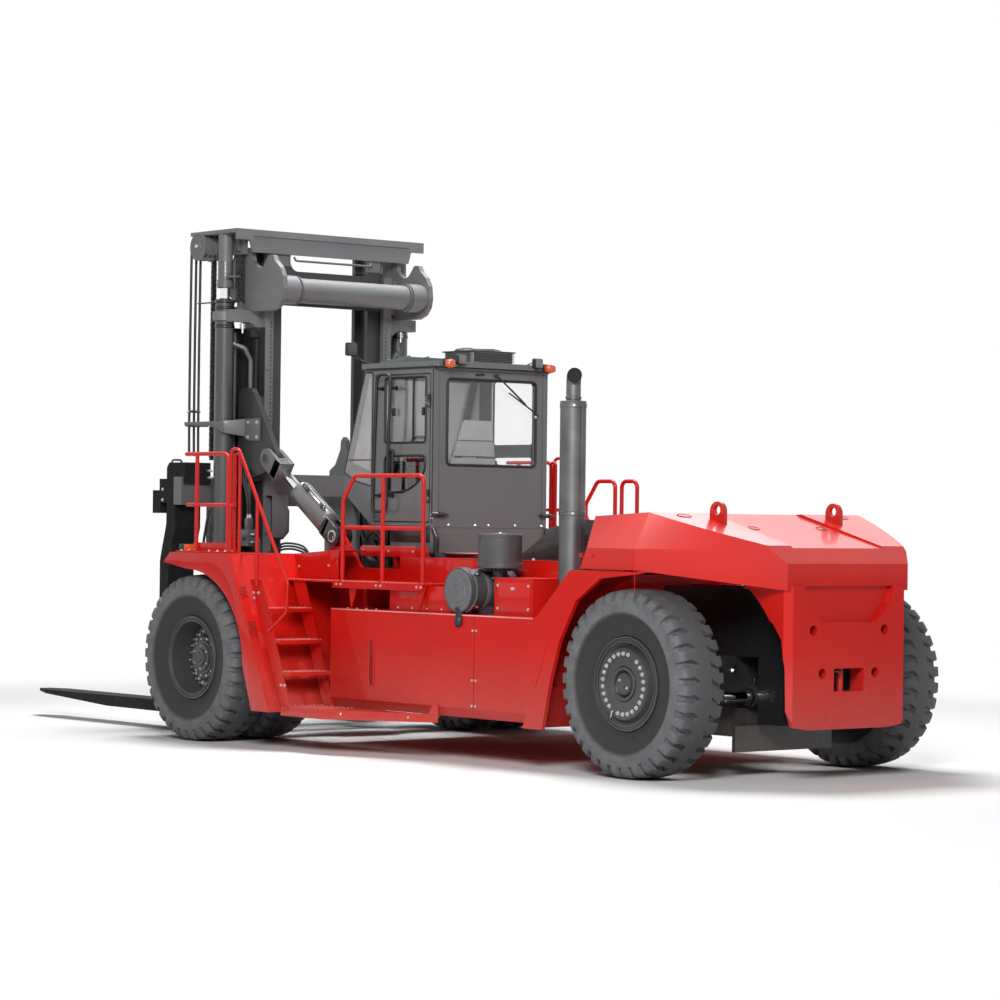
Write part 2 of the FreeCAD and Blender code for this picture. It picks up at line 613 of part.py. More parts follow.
HOOD_WALL = 20.0
HOOD_PIN = (HOOD_REAR - 32.0, HOOD_TOP - 30.0)
HOOD_PIN_R = 12.0
HOOD_HINGE_Y = 500.0


def hood_hinge_pin():
    """Ear and pin on the counterweight's front that carry the engine cover."""
    x, z = HOOD_PIN
    ear = box(CW_FRONT - 260, x + 22, HOOD_HINGE_Y + 25, HOOD_HINGE_Y + 55, z - 60, z + 22)
    return join([ear, y_rod(x, z, HOOD_HINGE_Y - 25, HOOD_HINGE_Y + 55, HOOD_PIN_R)])


def engine_hood():
    """Open-bottomed cover with a sloping front, hinged at its rear upper edge."""
    brow = HOOD_FRONT - 500.0
    crest = HOOD_FRONT - 900.0
    outline = [(HOOD_FRONT, FRAME_TOP + 12), (HOOD_FRONT, 1880), (brow, 2150), (crest, HOOD_TOP),
               (HOOD_REAR, HOOD_TOP), (HOOD_REAR, HOOD_TOP - 60), (FRAME_TAIL + 10, FRAME_TOP + 12)]
    outer = side_plate(outline, -HOOD_Y, HOOD_Y)
    inset = [(HOOD_FRONT - HOOD_WALL, FRAME_TOP - 50), (HOOD_FRONT - HOOD_WALL, 1868),
             (brow - 6, 2128), (crest - 3, HOOD_TOP - HOOD_WALL), (HOOD_REAR - 50, HOOD_TOP - HOOD_WALL),
             (HOOD_REAR - 50, FRAME_TOP - 50)]
    shell = outer.cut(side_plate(inset, -HOOD_Y + HOOD_WALL, HOOD_Y - HOOD_WALL))
    x, z = HOOD_PIN
    strap = join([y_rod(x, z, HOOD_HINGE_Y - 22, HOOD_HINGE_Y + 22, 24),
                  box(x, HOOD_REAR + 5, HOOD_HINGE_Y - 22, HOOD_HINGE_Y + 22, z - 20, z + 20)])
    strap = strap.cut(y_rod(x, z, 0, 2000, HOOD_PIN_R + RUN))
    return join([shell, strap, mirror(strap)])


def engine_deck():
    """Flat cover plates between the frame's sides, ahead of and beside the engine cover."""
    seam = HOOD_FRONT + 20
    front = box(seam, CAB_BACK - 30, -FRAME_Y + PLATE, FRAME_Y - PLATE, FRAME_TOP - 20, FRAME_TOP)
    strip = box(FRAME_TAIL, seam, HOOD_Y + 8, FRAME_Y - PLATE, FRAME_TOP - 20, FRAME_TOP)
    return join([front, strip, mirror(strip)])


# ---- exhaust and air intake ---------------------------------------------------------
EXHAUST = (REAR_X + 1105.0, 1215.0)


def exhaust_stack():
    x, y = EXHAUST
    shield = z_rod(x, y, 1520, 3305, 118)
    mouth = (x - 92, y + 70, 3540)
    elbow = bent_bar([(x, y, 3300), (x, y, 3540), mouth], 66, 88)
    bore = rod((x - 124, y + 94, 3540), (x - 44, y + 33, 3540), 56)
    foot = box(x - 140, x + 130, y - 150, y + 150, TANK_TOP, 1520)
    return join([shield, elbow, foot]).cut(bore)


def air_cleaner():
    x = REAR_X + 2220.0
    z = 1585.0
    can = y_rod(x, z, 1030, 1560, 190)
    cap = y_rod(x, z, 1560, 1620, 205)
    saddle = box(x - 120, x + 120, 1060, 1400, TANK_TOP, z)
    riser = z_rod(x - 210, 1300, z, 1815, 62)
    knee = rod((x - 210, 1300, z), (x, 1300, z), 62)
    bowl = z_rod(x - 210, 1300, 1812, 2104, 203)
    return join([can, cap, saddle, riser, knee, bowl])


def side_cabinet():
    """Small box beside the exhaust's foot."""
    return box(REAR_X + 1300, REAR_X + 1840, FRAME_Y, 1500, TANK_TOP, 1700)


# ---- cab ----------------------------------------------------------------------------
CAB_NOSE = (-570.0, 2500.0)
SCREEN_LOW = (-640.0, 2786.0)
SCREEN_HIGH = (-930.0, 3700.0)
NOSE_LOW = (-1050.0, CAB_FLOOR)
CAB_SIDE = [(CAB_BACK, CAB_FLOOR), NOSE_LOW, CAB_NOSE, SCREEN_LOW, SCREEN_HIGH, (CAB_BACK, CAB_TOP)]
GLASS = 8.0


def cab_floor():
    """Pan under the cab and the box that raises it off the deck."""
    pan = box(CAB_BACK + CAB_WALL, NOSE_LOW[0], -CAB_Y + CAB_WALL, CAB_Y - CAB_WALL,
              CAB_FLOOR, CAB_FLOOR + CAB_WALL)
    riser = box(CAB_BACK + CAB_WALL, -1250, -CAB_Y + 60, CAB_Y - 60, CAB_BASE, CAB_FLOOR)
    legs = [box(x, x + 120, y, y + 120, FRAME_TOP, CAB_BASE) for x in (CAB_BACK + 80, -1420)
            for y in (-CAB_Y + 90, CAB_Y - 210)]
    rails = [box(x, x + 120, -FRAME_Y + PLATE, FRAME_Y - PLATE, FRAME_TOP - 70, FRAME_TOP)
             for x in (CAB_BACK + 80, -1420)]
    return join([pan, riser] + legs + rails)


def window_cut(x0, x1, y0, y1, z0, z1, radius, along):
    cutter = box(x0, x1, y0, y1, z0, z1)
    return soften(cutter, radius, lambda e: abs(abs(e.tangentAt(e.FirstParameter).dot(along)) - 1) < 1e-6)


REAR_WINDOW = (-560.0, 560.0, 2770.0, 3600.0)


def cab_rear_wall():
    y0, y1, z0, z1 = REAR_WINDOW
    wall = box(CAB_BACK, CAB_BACK + CAB_WALL, -CAB_Y, CAB_Y, CAB_BASE, CAB_TOP)
    return wall.cut(window_cut(CAB_BACK - 5, CAB_BACK + CAB_WALL + 5, y0, y1, z0, z1, 45, V(1, 0, 0)))


def cab_side_window():
    """Upper window of the cab's right side, and the glass strip ahead of the door's line."""
    return [window_cut(DOOR_REAR + 110, DOOR_FRONT - 120, -CAB_Y - 5, -CAB_Y + CAB_WALL + 5,
                       2990, 3640, 40, V(0, 1, 0)),
            window_cut(DOOR_REAR + 110, DOOR_FRONT - 120, -CAB_Y - 5, -CAB_Y + CAB_WALL + 5,
                       2480, 2870, 60, V(0, 1, 0))]


def quarter_outline(inset):
    """Side glass between the door's front post and the windscreen."""
    return [(DOOR_FRONT + 60 + inset, 2700 + inset), (SCREEN_LOW[0] - 70 - inset, SCREEN_LOW[1] + inset),
            (SCREEN_HIGH[0] - 45 - inset, 3640 - inset), (DOOR_FRONT + 60 + inset, 3640 - inset)]


def cab_right_side():
    panel = side_plate(CAB_SIDE, -CAB_Y, -CAB_Y + CAB_WALL).cut(
        box(CAB_BACK - 5, CAB_BACK + CAB_WALL, -2000, 2000, 0, 5000))
    for cutter in cab_side_window():
        panel = panel.cut(cutter)
    return panel.cut(side_plate(quarter_outline(0), -CAB_Y - 5, -CAB_Y + CAB_WALL + 5))


def cab_left_frame():
    """Left side of the cab: rear post, sill, header and front post round the door."""
    panel = side_plate(CAB_SIDE, CAB_Y - CAB_WALL, CAB_Y).cut(
        box(CAB_BACK - 5, CAB_BACK + CAB_WALL, -2000, 2000, 0, 5000))
    panel = panel.cut(box(DOOR_REAR, DOOR_FRONT, 0, 2000, CAB_FLOOR + 30, CAB_TOP - 60))
    return panel.cut(side_plate(quarter_outline(0), 0, 2000))


def front_band(low, high, thick):
    """Wall strip between two corners of the cab's side outline."""
    a = V(low[0], 0, low[1])
    b = V(high[0], 0, high[1])
    along = (b - a).normalize()
    inward = V(along.z, 0, -along.x)
    if inward.x > 0:
        inward = inward * -1
    points = [(p.x, p.z) for p in (a, b, b + inward * thick, a + inward * thick)]
    return side_plate(points, -CAB_Y + CAB_WALL, CAB_Y - CAB_WALL)


def cab_front():
    """Sloped nose under the windscreen, with the frame that carries the screen."""
    low = front_band(NOSE_LOW, CAB_NOSE, CAB_WALL)
    mid = front_band(CAB_NOSE, SCREEN_LOW, CAB_WALL)
    high = front_band(SCREEN_LOW, SCREEN_HIGH, CAB_WALL)
    a = V(SCREEN_LOW[0], 0, SCREEN_LOW[1])
    b = V(SCREEN_HIGH[0], 0, SCREEN_HIGH[1])
    along = (b - a).normalize()
    low_in = a + along * 40
    high_in = b - along * 60
    opening = side_plate([(low_in.x + 80, low_in.z - 25), (high_in.x + 80, high_in.z + 25),
                          (high_in.x - 120, high_in.z - 38), (low_in.x - 120, low_in.z - 38)],
                         -CAB_Y + CAB_WALL + 45, CAB_Y - CAB_WALL - 45)
    shape = join([low, mid, high]).cut(opening)
    return shape.common(side_plate(CAB_SIDE, -CAB_Y, CAB_Y))


def cab_roof():
    """Roof pan with the overhanging visor grid ahead of it."""
    pan = box(CAB_BACK - 90, SCREEN_HIGH[0] + 30, -CAB_Y - 25, CAB_Y + 25, CAB_TOP, CAB_TOP + 55)
    visor = side_plate([(SCREEN_HIGH[0] + 30, CAB_TOP), (SCREEN_HIGH[0] + 30, CAB_TOP + 40),
                        (-1500, CAB_TOP + 115), (-1500, CAB_TOP + 55)], -CAB_Y + 40, CAB_Y - 40)
    return join([pan, visor])


def roof_unit():
    """Air conditioner on the rear of the roof."""
    z = CAB_TOP + 55
    body = box(-2070, -1600, -270, 270, z, z + 120)
    body = soften(body, 60, lambda e: abs(abs(e.tangentAt(e.FirstParameter).z) - 1) < 1e-6)
    fan = z_rod(-1830, 0, z + 120, z + 145, 170)
    return join([body, fan])


def cab_glass():
    """Fixed panes: windscreen, rear window, right side windows and both quarter glasses."""
    a = V(SCREEN_LOW[0], 0, SCREEN_LOW[1])
    b = V(SCREEN_HIGH[0], 0, SCREEN_HIGH[1])
    along = (b - a).normalize()
    inward = V(along.z, 0, -along.x)
    if inward.x > 0:
        inward = inward * -1
    start = a + along * 42 + inward * 20
    end = b - along * 62 + inward * 20
    corners = [(p.x, p.z) for p in (start, end, end + inward * GLASS, start + inward * GLASS)]
    screen = side_plate(corners, -CAB_Y + CAB_WALL + 45.3, CAB_Y - CAB_WALL - 45.3)
    y0, y1, z0, z1 = REAR_WINDOW
    rear = window_cut(CAB_BACK + 20, CAB_BACK + 20 + GLASS, y0 + 1, y1 - 1, z0 + 1, z1 - 1, 44, V(1, 0, 0))
    side_y = -CAB_Y + 20
    upper = window_cut(DOOR_REAR + 111, DOOR_FRONT - 121, side_y, side_y + GLASS, 2991, 3639, 39, V(0, 1, 0))
    lower = window_cut(DOOR_REAR + 111, DOOR_FRONT - 121, side_y, side_y + GLASS, 2481, 2869, 59, V(0, 1, 0))
    quarter = side_plate(quarter_outline(1), side_y, side_y + GLASS)
    return Part.Compound([screen, rear, upper, lower, quarter, mirror(quarter)])


DOOR_WINDOW = (DOOR_REAR + 75.0, DOOR_FRONT - 175.0)


def cab_door():
    gap = DOOR_GAP
    leaf = box(DOOR_REAR + gap, DOOR_FRONT - gap, CAB_Y - CAB_WALL, CAB_Y,
               CAB_FLOOR + 30 + gap, CAB_TOP - 60 - gap)
    x0, x1 = DOOR_WINDOW
    for z0, z1, radius in ((2985, 3620, 30), (2480, 2850, 70)):
        leaf = leaf.cut(window_cut(x0, x1, CAB_Y - CAB_WALL - 5, CAB_Y + 5, z0, z1, radius, V(0, 1, 0)))
    hinges = [z_rod(DOOR_REAR + gap + 4, CAB_Y + 14, z, z + 110, 13) for z in (2400, 3330)]
    tabs = [box(DOOR_REAR + gap + 4, DOOR_REAR + gap + 70, CAB_Y, CAB_Y + 14, z + 10, z + 100)
            for z in (2400, 3330)]
    return join([leaf] + hinges + tabs)


def door_glass():
    x0, x1 = DOOR_WINDOW
    y0 = CAB_Y - CAB_WALL + 20
    panes = [window_cut(x0 + 1, x1 - 1, y0, y0 + GLASS, z0 + 1, z1 - 1, radius - 1, V(0, 1, 0))
             for z0, z1, radius in ((2985, 3620, 30), (2480, 2850, 70))]
    return Part.Compound(panes)


SEAT_X = -1670.0            # rear of the seat's base


def seat():
    floor = CAB_FLOOR + CAB_WALL
    base = box(SEAT_X, SEAT_X + 400, -210, 210, floor, floor + 250)
    cushion = box(SEAT_X - 50, SEAT_X + 480, -270, 270, floor + 250, floor + 390)
    back = side_plate([(SEAT_X + 40, floor + 380), (SEAT_X - 80, floor + 380),
                       (SEAT_X - 170, floor + 1030), (SEAT_X - 90, floor + 1030)], -300, 300)
    for side in (1, -1):
        back = back.cut(cross_plate([(side * 310, floor + 560), (side * 190, floor + 1040),
                                     (side * 310, floor + 1040)], SEAT_X - 400, SEAT_X + 200))
    rests = [box(SEAT_X - 40, SEAT_X + 330, y, y + 70, floor + 560, floor + 620) for y in (-370, 300)]
    brackets = [box(SEAT_X - 80, SEAT_X - 10, y, y + 100, floor + 545, floor + 600) for y in (-320, 220)]
    return join([base, cushion, back] + rests + brackets)


def steering_column():
    floor = CAB_FLOOR + CAB_WALL
    console = side_plate([(-1150, floor), (-1078, floor), (-868, floor + 200), (-868, floor + 520),
                          (-930, floor + 560), (-960, floor + 220)], -110, 110)
    shaft = rod((-890, 0, floor + 520), (-1060, 0, floor + 720), 26)
    heading = V(-1060 + 890, 0, 200).normalize()
    centre = V(-1060, 0, floor + 720)
    wheel = Part.makeTorus(195, 15, centre, heading)
    spoke = Part.makeCylinder(14, 380, centre + V(0, -190, 0), V(0, 1, 0))
    return join([console, shaft, wheel, spoke])


def cab_lamps():
    """Marker and work lamps along the roof's rear edge."""
    x = CAB_BACK - 90
    marker = box(x - 60, x, 575, 700, CAB_TOP - 15, CAB_TOP + 70)
    work = box(x - 60, x, 430, 560, CAB_TOP - 10, CAB_TOP + 125)
    return both(join([marker, work, box(x - 20, x, 560, 575, CAB_TOP, CAB_TOP + 40)]))


# ---- hand rails ---------------------------------------------------------------------
RAIL_R = 21.0


RAIL_TOP = 2852.0
RAIL_MID = 2292.0


def front_rails():
    """Guard rail on the fender's front and the sloped hand rail beside the steps."""
    y = 2090.0
    rear = -490.0
    front = [bent_bar([(230, y, RAIL_TOP), (rear, y, RAIL_TOP), (rear, y, FENDER_TOP)], RAIL_R, 80),
             rod((20, y, FENDER_TOP), (20, y, RAIL_TOP), RAIL_R),
             rod((230, y, RAIL_MID), (rear, y, RAIL_MID), RAIL_R)]
    slope_y = 2040.0
    slope_x = -610.0
    slope = [bent_bar([(slope_x, slope_y, FENDER_TOP), (slope_x, slope_y, RAIL_TOP + 30),
                       (slope_x - 110, slope_y, RAIL_TOP + 30), (-1290, slope_y, FENDER_TOP - 100),
                       (-1290, slope_y, FENDER_TOP - 380)], RAIL_R, 70),
             rod((-1010, slope_y, FENDER_TOP), (-1010, slope_y, 2330), RAIL_R)]
    tie = rod((rear, y, RAIL_MID), (slope_x, slope_y, RAIL_MID), RAIL_R)
    return both(join(front + slope + [tie]))


CAB_RAIL_TOP = 2640.0
CAB_RAIL_MID = 2142.0


def deck_rail(front, rear, posts, chamfer):
    """Loop of tube on the walkway's edge, with its middle bar and posts."""
    y = TANK_Y - 45
    start = [(front, y, DECK_Z), (front, y, CAB_RAIL_TOP)]
    if chamfer:
        start = [(front, y, DECK_Z), (front, y, CAB_RAIL_TOP - 235), (front - 180, y, CAB_RAIL_TOP)]
    loop = bent_bar(start + [(rear, y, CAB_RAIL_TOP), (rear, y, DECK_Z)], RAIL_R, 70)
    bars = [rod((x, y, DECK_Z), (x, y, CAB_RAIL_TOP), RAIL_R) for x in posts]
    return join([loop, rod((front, y, CAB_RAIL_MID), (rear, y, CAB_RAIL_MID), RAIL_R)] + bars)


def cab_rails():
    """Left: one long rail beside the cab. Right: two short ones with a gap between them."""
    left = deck_rail(-1700, -2950, [-2330], True)
    right = [mirror(deck_rail(-1700, -2150, [], True)), mirror(deck_rail(-2250, -2440 - 2 * RAIL_R, [], False))]
    return Part.Compound([left] + right)


# ---- mast ---------------------------------------------------------------------------
MAST_FRONT = MAST_BACK + MAST_DEPTH
LUG_IN = EAR_IN + PLATE + 20
LUG_OUT = FRAME_Y - PLATE - 20
TIE_Z = (2455.0, 2675.0)
TUBE_X = 300.0
TUBE_Z = OUTER_TOP - 230.0
TUBE_R = 128.0
COLLAR_R = 150.0
KIDNEY_Y = (920.0, 975.0)
WING = 80.0                 # plate that joins the pivot lug to the rail


def outer_rail():
    """Channel open towards the middle of the truck, with its pivot lug at the foot."""
    web = box(MAST_BACK, MAST_FRONT, OUTER_Y - OUTER_WEB, OUTER_Y, MAST_BOTTOM, OUTER_TOP)
    flanges = [box(x, x + OUTER_FLANGE, OUTER_OPEN_Y, OUTER_Y, MAST_BOTTOM, OUTER_TOP)
               for x in (MAST_BACK, MAST_FRONT - OUTER_FLANGE)]
    lug = join([box(PIVOT_X, MAST_BACK + WING, LUG_IN, LUG_OUT, PIVOT_Z - 140, PIVOT_Z + 140),
                y_rod(PIVOT_X, PIVOT_Z, LUG_IN, LUG_OUT, 140),
                box(MAST_BACK, MAST_BACK + WING, OUTER_Y - OUTER_WEB, LUG_OUT,
                    PIVOT_Z - 240, PIVOT_Z + 240)])
    body = join([web, lug] + flanges)
    return body.cut(y_rod(PIVOT_X, PIVOT_Z, 0, 2000, PIVOT_PIN_R + RUN))


EAR_FRONT = 860.0           # front edge of the tilt ear, just behind the lift cylinder
EAR_TOP = 3570.0
EAR_NOSE = 110.0


def tilt_ear():
    """Plate that stands off the outer rail and reaches back to the tilt rod's forked eye."""
    eye_x, eye_z = TILT_EYE
    y0 = TILT_Y - EAR / 2
    y1 = TILT_Y + EAR / 2
    outline = [(EAR_FRONT, 2560), (EAR_FRONT, EAR_TOP - 70), (EAR_FRONT - 50, EAR_TOP - 15),
               (EAR_FRONT - 140, EAR_TOP), (EAR_FRONT - 230, EAR_TOP - 15), (EAR_FRONT - 285, EAR_TOP - 70),
               (eye_x - 95, eye_z + 62), (eye_x, eye_z), (eye_x, eye_z - EAR_NOSE)]
    plate = join([side_plate(outline, y0, y1), y_rod(eye_x, eye_z, y0, y1, EAR_NOSE)])
    stand_off = [box(MAST_BACK, MAST_BACK + 40, OUTER_OPEN_Y, y0, 2600, 3480),
                 box(EAR_FRONT - 60, EAR_FRONT - 20, OUTER_Y, y0, 2600, 3480)]
    pin = y_rod(eye_x, eye_z, TILT_Y - FORK_EYE_OUT - 14, TILT_Y + FORK_EYE_OUT + 14, TILT_PIN_R)
    return join([plate, pin] + stand_off)


ARM_BACK = 720.0
ARM_DEPTH = 100.0
ARM_Y = 1205.0
ARM_Z = (OUTER_TOP - 555.0, OUTER_TOP - 430.0)


def lift_brackets():
    """Foot and top arm that hold a lift cylinder's barrel beside the outer rail."""
    foot = box(LIFT_X - 100, LIFT_X + 100, OUTER_Y, LIFT_Y + LIFT_R, LIFT_FOOT_Z - 50, LIFT_FOOT_Z)
    arm = cross_plate([(OUTER_Y, ARM_Z[1]), (ARM_Y, ARM_Z[1]), (ARM_Y, ARM_Z[0]), (OUTER_Y + 150, ARM_Z[0]),
                       (OUTER_Y + 90, ARM_Z[0] - 30), (OUTER_Y + 45, ARM_Z[0] - 90),
                       (OUTER_Y, ARM_Z[0] - 150)], ARM_BACK, ARM_BACK + ARM_DEPTH)
    clamp = z_rod(LIFT_X, LIFT_Y, ARM_Z[0] + 15, ARM_Z[1] - 15, LIFT_X - ARM_BACK - ARM_DEPTH + 8)
    clamp = clamp.cut(z_rod(LIFT_X, LIFT_Y, 0, 6000, LIFT_R + SEAT))
    web = box(ARM_BACK + 20, LIFT_X - 100, OUTER_Y, OUTER_Y + 60, ARM_Z[0] - 150, ARM_Z[1])
    return [foot, arm, clamp, web]


def kidney():
    """Side plate at the rail's top that carries the cross tube, with a notch and a lug."""
    rises = [(1159, -85), (984, 220), (720, 220), (690, 80), (640, 35), (560, 0), (500, 15),
             (455, 60), (400, 125), (330, 125), (290, 60), (200, -10), (150, -100),
             (132, -230), (155, -330), (220, -405), (330, -445), (660, -445), (900, -380), (1159, -240)]
    plate = side_plate([(x, OUTER_TOP + rise) for x, rise in rises], *KIDNEY_Y)
    return join([plate, box(700, 1040, OUTER_Y, KIDNEY_Y[0], OUTER_TOP - 380, OUTER_TOP - 20)])


def outer_mast():
    side = kidney()
    collar = y_rod(TUBE_X, TUBE_Z, 735, KIDNEY_Y[0], COLLAR_R)
    one = join([outer_rail(), tilt_ear(), side, collar] + lift_brackets())
    tube = y_rod(TUBE_X, TUBE_Z, -KIDNEY_Y[0], KIDNEY_Y[0], TUBE_R)
    tie = box(MAST_BACK - 110, MAST_BACK, -OUTER_Y + 20, OUTER_Y - 20, *TIE_Z)
    foot_tie = box(MAST_BACK - 70, MAST_BACK, -OUTER_Y + 20, OUTER_Y - 20, 250, 520)
    return join([one, mirror(one), tube, tie, foot_tie])


def lift_cylinders():
    barrel = z_rod(LIFT_X, LIFT_Y, LIFT_FOOT_Z, LIFT_TOP_Z, LIFT_R)
    bore = z_rod(LIFT_X, LIFT_Y, LIFT_FOOT_Z + 120, LIFT_TOP_Z + 10, LIFT_ROD_R + RUN)
    return both(barrel.cut(bore))


INNER_BACK = MAST_BACK + OUTER_FLANGE + INNER_GAP
INNER_FRONT = MAST_FRONT - OUTER_FLANGE - INNER_GAP
INNER_OUT = OUTER_Y - OUTER_WEB - 30
INNER_WEB_Y = 640.0
INNER_FOOT = 260.0
HEAD_PLATE = 40.0
HEAD_FRONT = 1470.0
SHEAVE_X = 1320.0
SHEAVE_Z = HEAD_TOP - 155.0
SHEAVE_R = 140.0
CAP_R = 75.0
CHEEK_Y = (1000.0, 1040.0)


def head_window():
    """Plate between the inner rails under the fascia, with one long rounded window."""
    x = MAST_BACK
    low = HEAD_TOP - 760
    plate = box(x, x + 40, -620, 620, low, HEAD_TOP - HEAD_PLATE)
    window = window_cut(x - 5, x + 45, -512, 512, HEAD_TOP - 400, HEAD_TOP - 110, 100, V(1, 0, 0))
    ends = [box(x, INNER_BACK + 5, y, y + 45, low, HEAD_TOP - HEAD_PLATE) for y in (-665, 620)]
    return join([plate.cut(window)] + ends)


def inner_mast():
    """Nested rails, the lower tie and the head beam with its hose and chain sheaves."""
    top = HEAD_TOP - HEAD_PLATE
    web = box(INNER_BACK, INNER_FRONT, INNER_WEB_Y, INNER_WEB_Y + INNER_WEB, INNER_FOOT, top)
    flanges = [box(x, x + INNER_FLANGE, INNER_OPEN_Y, INNER_OUT, INNER_FOOT, top)
               for x in (INNER_BACK, INNER_FRONT - INNER_FLANGE)]
    tie = box(INNER_BACK, INNER_BACK + INNER_FLANGE, -INNER_OPEN_Y, INNER_OPEN_Y, 330, 620)
    plate = box(HEAD_BACK, HEAD_FRONT, -HEAD_Y, HEAD_Y, top, HEAD_TOP)
    window = box(MAST_BACK + 200, HEAD_FRONT - 90, -INNER_OPEN_Y + 40, INNER_OPEN_Y - 40,
                 top - 10, HEAD_TOP + 10)
    low = HEAD_TOP - HEAD_DROP
    notch = 170.0
    fascia = cross_plate([(-HEAD_Y, HEAD_TOP), (HEAD_Y, HEAD_TOP), (HEAD_Y, HEAD_TOP - 110),
                          (HEAD_Y - notch, HEAD_TOP - 110), (HEAD_Y - notch - 35, low),
                          (-HEAD_Y + notch + 35, low), (-HEAD_Y + notch, HEAD_TOP - 110),
                          (-HEAD_Y, HEAD_TOP - 110)], HEAD_BACK, HEAD_BACK + 32)
    cheek = box(INNER_BACK, HEAD_FRONT - 50, *CHEEK_Y, top - 210, top)
    axle = y_rod(SHEAVE_X, SHEAVE_Z, CHEEK_Y[0], HEAD_Y + 20, 30)
    sheave = y_rod(SHEAVE_X, SHEAVE_Z, HEAD_Y - 150, HEAD_Y - 5, SHEAVE_R)
    cap = z_rod(LIFT_X, LIFT_Y, LIFT_CAP_Z, top, CAP_R)
    cap = cap.cut(z_rod(LIFT_X, LIFT_Y, LIFT_CAP_Z - 10, LIFT_CAP_Z + ROD_SEAT, LIFT_ROD_R + RUN))
    one = join([web, cheek, axle, sheave, cap] + flanges)
    return join([one, mirror(one), tie, plate.cut(window), fascia, head_window()])


ROD_SEAT = 60.0


def lift_rods():
    return both(z_rod(LIFT_X, LIFT_Y, LIFT_FOOT_Z + 220, LIFT_CAP_Z + ROD_SEAT, LIFT_ROD_R))


ROLLER_X = (INNER_BACK + INNER_FRONT) / 2.0
ROLLER_R = (INNER_FRONT - INNER_BACK) / 2.0 - INNER_FLANGE - SEAT
UPPER_BAR = (2350.0, 2640.0)
LOWER_BAR = (780.0, 1130.0)


def carriage():
    """Side plates with rollers inside the inner rails, and the two cross bars ahead of them."""
    inner_y = INNER_OPEN_Y - 70
    outer_y = INNER_OPEN_Y - 20
    side = side_plate([(ROLLER_X - 80, 900), (BAR_BACK, 700), (BAR_BACK, 2740), (BAR_BACK - 100, 2800),
                       (BAR_BACK - 190, 2960), (BAR_BACK - 200, 3060), (BAR_BACK - 245, 3100),
                       (BAR_BACK - 290, 3060), (BAR_BACK - 300, 2960), (ROLLER_X - 80, 2740)],
                      inner_y, outer_y)
    rollers = [y_rod(ROLLER_X, z, inner_y, INNER_WEB_Y - 12, ROLLER_R) for z in (1080, 2560)]
    upper = box(BAR_BACK, BAR_BACK + BAR_DEPTH, -CARRIAGE_Y, CARRIAGE_Y, *UPPER_BAR)
    lower_front = BAR_BACK + BAR_DEPTH + FORK_STEP
    lower = box(BAR_BACK, lower_front, -CARRIAGE_Y, CARRIAGE_Y, *LOWER_BAR)
    posts = [box(BAR_BACK, BAR_BACK + 60, y, y + 60, LOWER_BAR[1], UPPER_BAR[0])
             for y in (-outer_y, outer_y - 60, -1060, 1000)]
    one = [side] + rollers
    return join(one + [mirror(s) for s in one] + [upper, lower] + posts)


def fork(side):
    """Blade with a tapered underside, stepped shank and the hook that hangs on the upper bar."""
    shank_front = BAR_BACK + BAR_DEPTH + SLIDE_GAP + SHANK
    low_front = shank_front + FORK_STEP
    low_back = low_front - SHANK
    up_back = shank_front - SHANK
    bottom = FORK_TOP - FORK_THICK
    hook_z = UPPER_BAR[1] + SLIDE_GAP
    outline = [
        (FORK_REACH, FORK_TOP - 28), (FORK_REACH, FORK_TOP), (low_front + 70, FORK_TOP),
        (low_front + 20, FORK_TOP + 22), (low_front, FORK_TOP + 70),
        (low_front, 1760), (low_front - 20, 1840), (shank_front + 25, 2060), (shank_front, 2150),
        (shank_front, 2740), (shank_front - 45, 2790), (BAR_BACK - 40, 2790), (BAR_BACK - 40, 2570),
        (BAR_BACK - 8, 2570), (BAR_BACK - 8, hook_z), (up_back, hook_z),
        (up_back, 2110), (up_back + 30, 2010), (low_back - 30, 1770), (low_back, 1680),
        (low_back, bottom + 130), (low_back + 45, bottom + 40), (low_back + 130, bottom),
        (FORK_REACH - 1500, bottom + 5)]
    blade = side_plate(outline, FORK_OUT - FORK_W, FORK_OUT)
    nose = plan_plate([(FORK_REACH - 260, FORK_OUT - FORK_W - 5), (FORK_REACH + 5, FORK_OUT - FORK_W - 5),
                       (FORK_REACH + 5, FORK_OUT + 5), (FORK_REACH - 260, FORK_OUT + 5),
                       (FORK_REACH - 260, FORK_OUT), (FORK_REACH, FORK_OUT - 90),
                       (FORK_REACH, FORK_OUT - FORK_W + 90), (FORK_REACH - 260, FORK_OUT - FORK_W)],
                      0, FORK_TOP + 10)
    clamp = join([box(shank_front, shank_front + 150, FORK_OUT - 240, FORK_OUT - 10, 2370, 2620),
                  box(shank_front + 150, shank_front + 290, FORK_OUT - 200, FORK_OUT - 20, 2260, 2500)])
    shape = join([blade.cut(nose), clamp])
    return shape if side > 0 else mirror(shape)


# ---- tilt cylinders -----------------------------------------------------------------
def tilt_axis():
    foot = V(TILT_FOOT[0], TILT_Y, TILT_FOOT[1])
    eye = V(TILT_EYE[0], TILT_Y, TILT_EYE[1])
    return foot, eye, (eye - foot).normalize()


BARREL_START = 208.0
BARREL_END = 790.0
ROD_BLOCK = (135.0, 250.0)


